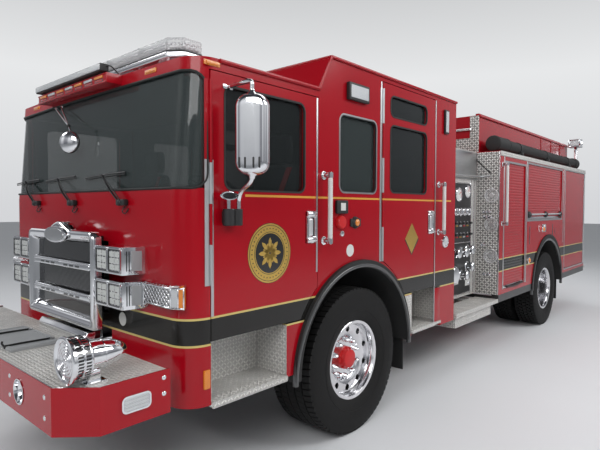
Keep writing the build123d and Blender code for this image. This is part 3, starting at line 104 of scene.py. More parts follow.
class Slot(Enum):
    """The record's slots that finishes fill."""

    RED_PAINT = "red_paint"
    CHROME = "chrome"
    POLISHED_ALUMINIUM = "polished_aluminium"
    TREAD_PLATE = "tread_plate"
    BRUSHED_STEEL = "brushed_steel"
    CAST_IRON = "cast_iron"
    RUBBER = "rubber"
    BLACK_PLASTIC = "black_plastic"
    GREY_PLASTIC = "grey_plastic"
    LAMP_LENS = "lamp_lens"
    SEAT_FABRIC = "seat_fabric"
    WHITE_RAIL = "white_rail"
    NONE = ""


SLOT_OF: dict[str, Slot] = {}
FRAME: dict = {}


class Value:
    """A shader number whose arithmetic adds Math nodes."""

    def __init__(self, tree: "Tree", socket: bpy.types.NodeSocket) -> None:
        """Wrap one output socket of a tree."""
        self.tree = tree
        self.socket = socket

    def math(self, operation: str, *others: "Value | float") -> "Value":
        """Result of a Math node on this value.

        Args:
            operation: Math operation, such as MULTIPLY.
            others: second and third inputs, where the operation has them.

        Returns:
            The node's result.
        """
        return self.tree.node("ShaderNodeMath", {"operation": operation},
                               {i: v for i, v in enumerate((self, *others))})

    def __add__(self, other: "Value | float") -> "Value":
        """Sum."""
        return self.math("ADD", other)

    __radd__ = __add__

    def __mul__(self, other: "Value | float") -> "Value":
        """Product."""
        return self.math("MULTIPLY", other)

    __rmul__ = __mul__

    def __sub__(self, other: "Value | float") -> "Value":
        """Difference."""
        return self.math("SUBTRACT", other)

    def __rsub__(self, other: float) -> "Value":
        """Difference from a plain number."""
        return self.tree.node("ShaderNodeMath", {"operation": "SUBTRACT"}, {0: other, 1: self})

    def __truediv__(self, other: "Value | float") -> "Value":
        """Quotient."""
        return self.math("DIVIDE", other)

    def above(self, limit: "Value | float") -> "Value":
        """One where this value is over a limit."""
        return self.math("GREATER_THAN", limit)

    def below(self, limit: "Value | float") -> "Value":
        """One where this value is under a limit."""
        return self.math("LESS_THAN", limit)

    def within(self, low: float, high: float) -> "Value":
        """One where this value lies between two limits."""
        return self.above(low) * self.below(high)

    def size(self) -> "Value":
        """Absolute value."""
        return self.math("ABSOLUTE")

    def least(self, other: "Value | float") -> "Value":
        """Smaller of two values."""
        return self.math("MINIMUM", other)

    def most(self, other: "Value | float") -> "Value":
        """Larger of two values."""
        return self.math("MAXIMUM", other)

    def clamped(self) -> "Value":
        """Value kept between nought and one."""
        return self.least(1.0).most(0.0)


class Tree:
    """Node tree of a material or the world, with its main shader."""

    def __init__(self, owner: bpy.types.Material | bpy.types.World, kind: str) -> None:
        """Take over an owner's tree and find its shader of a kind."""
        owner.use_nodes = True
        self.tree = owner.node_tree
        self.shader = next(n for n in self.tree.nodes if n.type == kind)

    def node(self, kind: str, settings: dict | None = None, inputs: dict | None = None,
             output: int | str = 0) -> Value:
        """Add a node and return one of its outputs.

        Args:
            kind: node type.
            settings: node properties, set before the inputs.
            inputs: socket name or number to a value, link or colour.
            output: output wanted.

        Returns:
            The chosen output.
        """
        made = self.tree.nodes.new(kind)
        for key, value in (settings or {}).items():
            if key == "stops":
                ramp = made.color_ramp
                for index, (position, colour) in enumerate(value):
                    stop = ramp.elements[index] if index < 2 else ramp.elements.new(position)
                    stop.position = position
                    stop.color = (*colour, 1.0)
            else:
                setattr(made, key, value)
        for key, value in (inputs or {}).items():
            self.feed(made.inputs[key], value)
        return Value(self, made.outputs[output])

    def feed(self, socket: bpy.types.NodeSocket, value: object) -> None:
        """Link or set one input socket."""
        if isinstance(value, Value):
            self.tree.links.new(value.socket, socket)
        elif isinstance(value, tuple) and len(value) == 3 and len(socket.default_value) == 4:
            socket.default_value = (*value, 1.0)
        else:
            socket.default_value = value

    def mix(self, factor: "Value | float", first: "Value | Colour", second: "Value | Colour",
            blend: str = "MIX") -> Value:
        """Colour between two by a factor."""
        return self.node("ShaderNodeMix", {"data_type": "RGBA", "blend_type": blend},
                         {0: factor, 6: first, 7: second}, 2)

    def split(self, spot: Value) -> tuple[Value, ...]:
        """X, Y and Z of a vector."""
        return tuple(self.node("ShaderNodeSeparateXYZ", None, {0: spot}, i) for i in range(3))

    def ramp(self, factor: Value, stops: Sequence[tuple[float, Colour]]) -> Value:
        """Colour from a ramp of stops."""
        return self.node("ShaderNodeValToRGB", {"stops": stops}, {0: factor})


class Shade(Tree):
    """One material in the making, with its Principled shader."""

    def __init__(self, name: str) -> None:
        """Start a material with an empty Principled shader."""
        self.material = bpy.data.materials.new(name)
        super().__init__(self.material, "BSDF_PRINCIPLED")
        self._place: tuple[Value, ...] | None = None
        self._facing: tuple[Value, ...] | None = None

    def place(self) -> tuple[Value, ...]:
        """Place on the object as X, Y and Z in metres."""
        if self._place is None:
            self._place = self.split(self.node("ShaderNodeTexCoord", None, None, "Object"))
        return self._place

    def normal(self) -> tuple[Value, ...]:
        """Surface normal's X, Y and Z on the object."""
        return self.split(self.node("ShaderNodeTexCoord", None, None, "Normal"))

    def facing(self) -> tuple[Value, ...]:
        """Size of the surface normal along X, Y and Z."""
        if self._facing is None:
            self._facing = tuple(part.size() for part in self.normal())
        return self._facing

    def plane(self) -> tuple[Value, Value]:
        """Two flat coordinates along whichever way the surface faces."""
        x, y, z = self.place()
        along_x, _, along_z = self.facing()
        lying = along_z.above(0.75)
        sideways = along_x.above(0.6)
        across = x * (1.0 - sideways) + y * sideways
        across = across * (1.0 - lying) + x * lying
        upright = z * (1.0 - lying) + y * lying
        return across, upright

    def noise(self, scale: float, detail: float = 2.0, stretch: Point = (1.0, 1.0, 1.0)) -> Value:
        """Noise at a scale in cycles a metre, drawn out along some axes."""
        spot = self.node("ShaderNodeTexCoord", None, None, "Object")
        spot = self.node("ShaderNodeMapping", None, {"Vector": spot, "Scale": stretch})
        return self.node("ShaderNodeTexNoise", None,
                         {"Vector": spot, "Scale": scale, "Detail": detail, "Roughness": 0.55})

    def colour(self, value: "Value | Colour") -> None:
        """Give the shader its base colour."""
        self.feed(self.shader.inputs["Base Color"], value)

    def give(self, **values: object) -> None:
        """Set shader sockets by name, with underscores for spaces."""
        for key, value in values.items():
            self.feed(self.shader.inputs[key.replace("_", " ")], value)

    def bump(self, height: Value, distance: float, strength: float = 1.0) -> None:
        """Raise the surface by a height pattern."""
        normal = self.node("ShaderNodeBump", None,
                           {"Strength": strength, "Distance": distance, "Height": height})
        self.feed(self.shader.inputs["Normal"], normal)


@dataclass(frozen=True)
class Stripe:
    """A level band of colour between two heights."""

    low: float
    high: float
    colour: Colour


GOLD: Colour = (0.58, 0.46, 0.16)
LINE_GOLD: Colour = (0.66, 0.33, 0.06)
BAND_BLACK: Colour = (0.012, 0.011, 0.010)
COACH_RED: Colour = (0.36, 0.002, 0.009)

BELT_STRIPES = (Stripe(0.975, 1.135, GOLD), Stripe(0.987, 1.123, BAND_BLACK))
LINE_STRIPE = (Stripe(1.806, 1.820, LINE_GOLD),)


@dataclass(frozen=True)
class Recipe:
    """Recipe of one finish."""

    name: str

    def build(self) -> bpy.types.Material:
        """Make the finish."""
        raise NotImplementedError

    def fill(self, slot: Slot) -> bpy.types.Material:
        """Make the finish and note the slot that it usually fills."""
        material = self.build()
        SLOT_OF[material.name] = slot
        return material


@dataclass(frozen=True)
class CoachPaint(Recipe):
    """Deep gloss paint with level stripes and a dark lining inside the cab."""

    base: Colour = COACH_RED
    stripes: tuple[Stripe, ...] = ()
    outside_half: float = 1.2
    lined: bool = False
    cab_front: float = CAB_FRONT
    cab_rear: float = CAB_REAR
    line_span: tuple[float, float] = (-3.762, -1.003)
    cab_middle: tuple[float, float] = (-2.55, 1.8)
    hinge_line: float = 0.0

    def build(self) -> bpy.types.Material:
        """Make the paint.

        Returns:
            The material.
        """
        shade = Shade(self.name)
        x, y, z = shade.place()
        mottle = shade.noise(2.3, 1.0)
        colour = shade.mix(mottle * 0.5, self.base, tuple(c * 0.82 for c in self.base))
        outer = x.size().above(self.outside_half).most(y.below(self.cab_front + 0.18))
        for stripe in self.stripes:
            mask = z.within(stripe.low, stripe.high) * outer
            if stripe in LINE_STRIPE:
                mask = mask * y.within(*self.line_span)
            colour = shade.mix(mask, colour, stripe.colour)
        rough = 0.16 + shade.noise(14.0, 2.0) * 0.05
        if self.hinge_line:
            hinge = x.size().above(self.hinge_line) * z.within(0.60, 2.76)
            hinge = hinge * z.below(2.005).most(y.above(self.cab_front + 1.0))
            colour = shade.mix(hinge, colour, (0.52, 0.53, 0.54))
            rough = rough + hinge * 0.16
            shade.give(Metallic=hinge * 0.7)
        if self.lined:
            along, back, up = shade.normal()
            inward = (along * x + back * (y - self.cab_middle[0]) + up * (z - self.cab_middle[1])).below(0.0)
            inside = (inward * x.size().below(self.outside_half) * z.within(0.985, 2.80)
                      * y.within(self.cab_front + 0.012, self.cab_rear - 0.012))
            colour = shade.mix(inside, colour, (0.035, 0.036, 0.038))
            rough = rough + inside * 0.55
        shade.colour(colour)
        shade.give(Roughness=rough, Coat_Weight=0.16, Coat_Roughness=0.03, Specular_IOR_Level=0.26)
        shade.bump(shade.noise(320.0, 1.0), 0.00006, 0.5)
        return shade.material


@dataclass(frozen=True)
class Metal(Recipe):
    """Bare or plated metal with faint wear and an optional grain."""

    base: Colour
    rough: float
    grain: Point = (1.0, 1.0, 1.0)
    grain_scale: float = 40.0
    grain_depth: float = 0.0
    spread: float = 0.06

    def build(self) -> bpy.types.Material:
        """Make the metal."""
        shade = Shade(self.name)
        cloud = shade.noise(6.0, 3.0)
        streak = shade.noise(self.grain_scale, 2.0, self.grain)
        shade.colour(shade.mix(cloud, self.base, tuple(c * 0.86 for c in self.base)))
        shade.give(Metallic=1.0, Roughness=self.rough + streak * self.spread)
        if self.grain_depth:
            shade.bump(streak, self.grain_depth)
        return shade.material


@dataclass(frozen=True)
class TreadPlate(Recipe):
    """Bright plate with raised lozenges set in alternate directions, the flat between them darkened as painted shade.
    """

    pitch: float = 0.040
    rough: float = 0.24
    base: Colour = (0.93, 0.91, 0.87)
    hollow_shade: float = 0.16

    def build(self) -> bpy.types.Material:
        """Make the plate.

        Returns:
            The material.
        """
        shade = Shade(self.name)
        across, upright = shade.plane()
        u = across / self.pitch
        v = upright / self.pitch
        cell_u = u.math("FLOOR")
        cell_v = v.math("FLOOR")
        turn = (cell_u + cell_v).math("FLOORED_MODULO", 2.0) * 2.0 - 1.0
        a = u - cell_u - 0.5
        b = (v - cell_v - 0.5) * turn
        along = (a + b) * (0.7071 / 0.60)
        side = (a - b) * (0.7071 / 0.27)
        lug = (1.0 - along * along - side * side).clamped()
        raised = lug.math("POWER", 0.6)
        scuff = shade.noise(9.0, 3.0)
        # the flat between the lugs is painted darker than the lugs: painted shade, while the lugs keep the bright base
        # as if lit
        shade.colour(shade.mix(raised, tuple(c * self.hollow_shade for c in self.base), self.base))
        shade.give(Metallic=0.20, Roughness=self.rough + scuff * 0.16 - raised * 0.08)
        shade.bump(raised, 0.005)
        return shade.material


@dataclass(frozen=True)
class Plastic(Recipe):
    """Moulded or painted surface with a fine grain."""

    base: Colour
    rough: float
    grain_scale: float = 420.0
    grain_depth: float = 0.0002
    metallic: float = 0.0
    coat: float = 0.0

    def build(self) -> bpy.types.Material:
        """Make the plastic."""
        shade = Shade(self.name)
        cloud = shade.noise(7.0, 2.0)
        shade.colour(shade.mix(cloud, self.base, tuple(c * 0.8 for c in self.base)))
        shade.give(Roughness=self.rough + cloud * 0.08, Metallic=self.metallic, Coat_Weight=self.coat)
        shade.bump(shade.noise(self.grain_scale, 1.0), self.grain_depth)
        return shade.material


@dataclass(frozen=True)
class TyreRubber(Recipe):
    """Black rubber with faint rings on the sidewall and dusty wear."""

    centre_y: float
    centre_z: float
    tread_radius: float

    def build(self) -> bpy.types.Material:
        """Make the rubber."""
        shade = Shade(self.name)
        _, y, z = shade.place()
        dy = y - self.centre_y
        dz = z - self.centre_z
        radius = (dy * dy + dz * dz).math("SQRT")
        ring = (radius * 900.0).math("SINE") * radius.within(0.33, self.tread_radius - 0.07)
        dust = shade.noise(18.0, 4.0)
        shade.colour(shade.mix(dust, (0.006, 0.006, 0.0065), (0.014, 0.0135, 0.013)))
        shade.give(Roughness=0.55 + dust * 0.25, Specular_IOR_Level=0.22)
        shade.bump(ring * 0.5 + shade.noise(260.0, 1.0), 0.0004)
        return shade.material


@dataclass(frozen=True)
class Glass(Recipe):
    """Tinted glazing that shows the inside, plain or moulded in fine facets."""

    tint: Colour = (0.045, 0.058, 0.057)
    alpha: float = 0.58
    rough: float = 0.02
    flute: float = 0.0

    def build(self) -> bpy.types.Material:
        """Make the glass."""
        shade = Shade(self.name)
        haze = shade.noise(3.0, 2.0)
        shade.colour(shade.mix(haze, self.tint, tuple(c * 0.9 for c in self.tint)))
        shade.give(Roughness=self.rough + haze * 0.02, IOR=1.5)
        if self.flute:
            across, upright = shade.plane()
            wave = (across * (math.tau / self.flute)).math("SINE")
            line = (upright * (math.tau / self.flute / 2.4)).math("SINE")
            facets = (wave.most(line) + 1.0) * 0.5
            shade.give(Alpha=self.alpha + facets * 0.25)
            shade.bump(facets, 0.001)
        else:
            shade.give(Alpha=self.alpha)
        return shade.material


@dataclass(frozen=True)
class Lens(Recipe):
    """Lamp lens with fine vertical flutes over bright emitters, the flutes painted light and dark as painted highlight
    and shade.
    """

    base: Colour
    flute: float = 0.008
    glow: float = 0.0
    rough: float = 0.12
    metallic: float = 0.0
    depth: float = 0.55
    bump: float = 0.0012

    def build(self) -> bpy.types.Material:
        """Make the lens."""
        shade = Shade(self.name)
        across, upright = shade.plane()
        wave = (across * (math.tau / self.flute)).math("SINE")
        cross = (upright * (math.tau / self.flute)).math("SINE")
        facets = (wave * cross + 1.0) * 0.5
        # flute crests keep the base colour and troughs are darkened by depth: painted highlight and painted shade
        shade.colour(shade.mix(facets, tuple(c * self.depth for c in self.base), self.base))
        shade.give(Roughness=self.rough, Coat_Weight=0.8, Metallic=self.metallic)
        if self.glow:
            shade.give(Emission_Color=self.base, Emission_Strength=self.glow)
        shade.bump(facets, self.bump)
        return shade.material


@dataclass(frozen=True)
class Cloth(Recipe):
    """Woven seat cloth."""

    base: Colour

    def build(self) -> bpy.types.Material:
        """Make the cloth."""
        shade = Shade(self.name)
        across, upright = shade.plane()
        warp = (across * 2600.0).math("SINE")
        weft = (upright * 2600.0).math("SINE")
        weave = warp * weft
        shade.colour(shade.mix(shade.noise(30.0, 2.0), self.base, tuple(c * 1.5 for c in self.base)))
        shade.give(Roughness=0.85, Sheen_Weight=0.25)
        shade.bump(weave, 0.0003)
        return shade.material


class Maker:
    """Gathers forms into one mesh and hands it over as a piece."""

    def __init__(self) -> None:
        """Start with an empty mesh on the left side."""
        self.mesh = bmesh.new()
        self.sign = 1

    def flip(self, point: Sequence[float]) -> Vector:
        """Point or direction, mirrored if the forms go to the right side."""
        return Vector((self.sign * point[0], point[1], point[2]))

    def take(self, other: bmesh.types.BMesh) -> None:
        """Add another mesh's faces to this one."""
        scratch = bpy.data.meshes.new("scratch")
        other.to_mesh(scratch)
        other.free()
        self.mesh.from_mesh(scratch)
        bpy.data.meshes.remove(scratch)

    def box(self, low: Sequence[float], high: Sequence[float], bevel: float = 0.0, steps: int = 2) -> None:
        """Add a box between two corners, its edges rounded by a bevel."""
        low, high = ((self.sign * c[0], c[1], c[2]) for c in (low, high))
        lower = [min(a, b) for a, b in zip(low, high)]
        upper = [max(a, b) for a, b in zip(low, high)]
        part = bmesh.new()
        bmesh.ops.create_cube(part, size=1.0)
        size = [b - a for a, b in zip(lower, upper)]
        for vert in part.verts:
            vert.co = Vector([(c + 0.5) * s + a for c, s, a in zip(vert.co, size, lower)])
        if bevel:
            bmesh.ops.bevel(part, geom=part.edges[:], offset=min(bevel, 0.49 * min(size)), segments=steps,
                            affect="EDGES", profile=0.6)
        self.take(part)

    def cushion(self, low: Sequence[float], high: Sequence[float], crown: float = 0.16, cuts: int = 11) -> None:
        """Add a padded form between two corners: crowned on every side and drawn in at its seams."""
        part = bmesh.new()
        bmesh.ops.create_cube(part, size=2.0)
        bmesh.ops.subdivide_edges(part, edges=part.edges[:], cuts=cuts, use_grid_fill=True)
        bmesh.ops.bevel(part, geom=[e for e in part.edges if e.calc_face_angle(0.0) > 1.0], offset=0.10, segments=4,
                        affect="EDGES", profile=0.5)
        for vert in part.verts:
            u, v, w = vert.co
            shrink = (1 - crown * (v * v + w * w) / 2, 1 - crown * (u * u + w * w) / 2, 1 - crown * (u * u + v * v) / 2)
            vert.co = Vector([(a + b) / 2 + (b - a) / 2 * c * s for a, b, c, s in zip(low, high, vert.co, shrink)])
        self.take(part)

    def lathe(self, start: Sequence[float], axis: Sequence[float], profile: Sequence[tuple[float, float]],
              steps: int = 48, caps: bool = True) -> None:
        """Turn a profile of (distance along, radius) pairs about an axis."""
        direction = self.flip(axis).normalized()
        side = direction.orthogonal().normalized()
        other = direction.cross(side)
        part = bmesh.new()
        rings = []
        for along, radius in profile:
            centre = self.flip(start) + direction * along
            if radius < 1e-6:
                rings.append([part.verts.new(centre)])
                continue
            rings.append([part.verts.new(centre + (side * math.cos(t) + other * math.sin(t)) * radius)
                          for t in turns(steps)])
        for first, second in zip(rings, rings[1:]):
            for i in range(steps):
                corners = [first[i % len(first)], first[(i + 1) % len(first)],
                           second[(i + 1) % len(second)], second[i % len(second)]]
                unique = list(dict.fromkeys(corners))
                if len(unique) > 2:
                    part.faces.new(unique)
        for ring, flip in ((rings[0], True), (rings[-1], False)):
            if caps and len(ring) > 1:
                part.faces.new(list(reversed(ring)) if flip else ring)
        bmesh.ops.recalc_face_normals(part, faces=part.faces[:])
        self.take(part)

    def bar(self, start: Sequence[float], end: Sequence[float], radius: float, end_radius: float | None = None,
            steps: int = 20, soft: float = 0.0) -> None:
        """Add a round bar with softened ends."""
        run = (Vector(end) - Vector(start)).length
        last = radius if end_radius is None else end_radius
        profile = [(0.0, radius), (run, last)]
        if soft:
            profile = [(0.0, radius - soft), (soft * 0.3, radius - soft * 0.3), (soft, radius),
                       (run - soft, last), (run - soft * 0.3, last - soft * 0.3), (run, last - soft)]
        self.lathe(start, Vector(end) - Vector(start), profile, steps)

    def tube(self, points: Sequence[Sequence[float]], radius: float, steps: int = 12,
             squash: float = 1.0, smooth: int = 0, closed: bool = False) -> None:
        """Sweep a round section along points, which may be smoothed first."""
        path = [self.flip(p) for p in points]
        for _ in range(smooth):
            path = smoothed(path, closed)
        part = bmesh.new()
        rings = []
        count = len(path)
        normal = None
        for i, here in enumerate(path):
            ahead = path[(i + 1) % count] if closed or i + 1 < count else here
            behind = path[i - 1] if closed or i > 0 else here
            along = (ahead - behind).normalized()
            if normal is None:
                normal = along.orthogonal().normalized()
            normal = (normal - along * normal.dot(along)).normalized()
            across = along.cross(normal)
            rings.append([part.verts.new(here + (normal * math.cos(t) + across * math.sin(t) * squash) * radius)
                          for t in turns(steps)])
        join(part, rings, closed)
        if not closed:
            part.faces.new(list(reversed(rings[0])))
            part.faces.new(rings[-1])
        bmesh.ops.recalc_face_normals(part, faces=part.faces[:])
        self.take(part)

    def slab(self, outline: Sequence[Sequence[float]], depth: Sequence[float], bevel: float = 0.0,
             steps: int = 2) -> None:
        """Extrude a flat outline by a vector."""
        part = bmesh.new()
        face = part.faces.new([part.verts.new(self.flip(p)) for p in outline])
        grown = bmesh.ops.extrude_face_region(part, geom=[face])
        moved = [g for g in grown["geom"] if isinstance(g, bmesh.types.BMVert)]
        bmesh.ops.translate(part, verts=moved, vec=self.flip(depth))
        bmesh.ops.recalc_face_normals(part, faces=part.faces[:])
        if bevel:
            bmesh.ops.bevel(part, geom=part.edges[:], offset=bevel, segments=steps, affect="EDGES",
                            profile=0.6, clamp_overlap=True)
        self.take(part)

    def ring(self, outer: Sequence[Sequence[float]], inner: Sequence[Sequence[float]],
             depth: Sequence[float]) -> None:
        """Extrude the band between two outlines with the same number of points."""
        part = bmesh.new()
        shift = self.flip(depth)
        loops = [[part.verts.new(self.flip(p) + s) for p in loop]
                 for loop, s in ((outer, Vector()), (inner, Vector()), (inner, shift), (outer, shift))]
        join(part, loops, True)
        bmesh.ops.recalc_face_normals(part, faces=part.faces[:])
        self.take(part)

    def cap(self, outline: Sequence[Sequence[float]]) -> None:
        """Close an outline with one flat face."""
        part = bmesh.new()
        part.faces.new([part.verts.new(self.flip(p)) for p in outline])
        self.take(part)

    def loft(self, rows: Sequence[Sequence[Point]], closed: bool = True) -> None:
        """Skin between outlines that have the same number of points."""
        part = bmesh.new()
        join(part, [[part.verts.new(self.flip(p)) for p in row] for row in rows], closed)
        bmesh.ops.recalc_face_normals(part, faces=part.faces[:])
        self.take(part)

    def weld(self) -> None:
        """Join touching points and turn the faces outward."""
        bmesh.ops.remove_doubles(self.mesh, verts=self.mesh.verts[:], dist=1e-5)
        bmesh.ops.recalc_face_normals(self.mesh, faces=self.mesh.faces[:])

    def oval(self, centre: Point, radii: tuple[float, float], profile: Sequence[tuple[float, float]],
             sideways: bool = False) -> None:
        """Turn a profile of (distance ahead, scale) pairs round an upright oval that faces ahead or outward."""
        part = bmesh.new()

        def spot(out: float, across: float, up: float) -> Vector:
            """Point of the oval."""
            shift = (-out, across, up) if sideways else (across, out, up)
            return self.flip([c + d for c, d in zip(centre, shift)])

        rings = [[part.verts.new(spot(y, radii[0] * s * math.cos(t), radii[1] * s * math.sin(t))) for t in turns(48)]
                 for y, s in profile]
        join(part, rings)
        part.faces.new(rings[0])
        part.faces.new(rings[-1])
        bmesh.ops.recalc_face_normals(part, faces=part.faces[:])
        self.take(part)

    def dome(self, centre: Sequence[float], axis: Sequence[float], radius: float, height: float,
             steps: int = 20) -> None:
        """Add a shallow cap on a flat place."""
        profile = [(height * math.sin(t), radius * math.cos(t)) for t in (0.0, 0.35, 0.7, 1.05, 1.35)]
        self.lathe(centre, axis, [(-0.2 * height, radius), *profile, (height, 0.0)], steps)

    def node(self, name: str) -> None:
        """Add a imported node's own mesh, welded and freed of its flat triangles' edges."""
        part = bmesh.new()
        part.from_mesh(frame_node(name).data)
        bmesh.ops.remove_doubles(part, verts=part.verts[:], dist=1e-5)
        bmesh.ops.dissolve_limit(part, angle_limit=math.radians(0.4), verts=part.verts[:],
                                 edges=part.edges[:], use_dissolve_boundaries=False)
        self.take(part)

    def piece(self, name: str, material: bpy.types.Material, body: str = "truck", *, sharp: float = 32.0,
              round_edges: float = 0.0, stands_for: Sequence[str] = (), slot: Slot | None = None) -> bpy.types.Object:
        """Hand the mesh over as one piece that rides on a body.

        Args:
            name: the piece's name.
            material: its finish.
            body: CAD body that carries it.
            sharp: angle in degrees over which an edge stays sharp.
            round_edges: width of the rounding given to sharp edges.
            stands_for: nodes that the piece replaces.
            slot: not used; the record's slot, if not the one that the finish usually fills, is looked up and then
                dropped.

        Returns:
            The piece.
        """
        data = bpy.data.meshes.new(name)
        self.mesh.to_mesh(data)
        self.mesh.free()
        self.mesh = bmesh.new()
        piece = bpy.data.objects.new(name, data)
        bpy.context.scene.collection.objects.link(piece)
        data.materials.append(material)
        for polygon in data.polygons:
            polygon.use_smooth = True
        if round_edges:
            rounding = piece.modifiers.new("rounding", "BEVEL")
            rounding.width = round_edges
            rounding.segments = 2
            rounding.limit_method = "ANGLE"
            rounding.angle_limit = math.radians(28.0)
            level = piece.modifiers.new("level", "WEIGHTED_NORMAL")
            level.weight = 100
            level.keep_sharp = True
            shaped = bpy.data.meshes.new_from_object(piece.evaluated_get(bpy.context.evaluated_depsgraph_get()))
            piece.modifiers.clear()
            piece.data = shaped
        else:
            data.set_sharp_from_angle(angle=math.radians(sharp))
        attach(piece, body)
        if stands_for:
            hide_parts(*stands_for)
        slot = (slot or SLOT_OF[material.name]).value
        LOG.info("made %s", name)
        return piece


def join(part: bmesh.types.BMesh, rings: Sequence[Sequence[bmesh.types.BMVert]], closed: bool = False) -> None:
    """Skin between rings that have the same number of points, and from the last to the first if closed."""
    for first, second in [*zip(rings, rings[1:]), *([(rings[-1], rings[0])] if closed else [])]:
        for i, corner in enumerate(first):
            j = (i + 1) % len(first)
            part.faces.new((corner, first[j], second[j], second[i]))


def turns(count: int, shift: float = 0.0) -> list[float]:
    """Equal turns round a circle, each moved on by a share of a step."""
    return [math.tau * (i + shift) / count for i in range(count)]


def mirrored(*makers: Maker) -> Iterator[str]:
    """Name each side in turn, with the makers' forms mirrored to it."""
    for side, sign in SIDES:
        for maker in makers:
            maker.sign = sign
        yield side
    for maker in makers:
        maker.sign = 1


def smoothed(path: list[Vector], closed: bool = False) -> list[Vector]:
    """Cut the corners of a path once."""
    result = [] if closed else [path[0]]
    pairs = list(zip(path, path[1:])) + ([(path[-1], path[0])] if closed else [])
    for first, second in pairs:
        result += [first.lerp(second, 0.25), first.lerp(second, 0.75)]
    return result if closed else result + [path[-1]]


def rounded(y: tuple[float, float], z: tuple[float, float], radius: float, steps: int = 6,
            turn: Callable[[float, float], Point] | None = None) -> list[Point]:
    """Outline of a rounded rectangle, turned into space by a function of its two coordinates."""
    corners = ((y[1] - radius, z[1] - radius, 0), (y[0] + radius, z[1] - radius, 1),
               (y[0] + radius, z[0] + radius, 2), (y[1] - radius, z[0] + radius, 3))
    points = []
    for cy, cz, quarter in corners:
        for i in range(steps + 1):
            t = (quarter + i / steps) * math.pi / 2
            spot = (cy + radius * math.cos(t), cz + radius * math.sin(t))
            points.append(turn(*spot) if turn else (0.0, *spot))
    return points


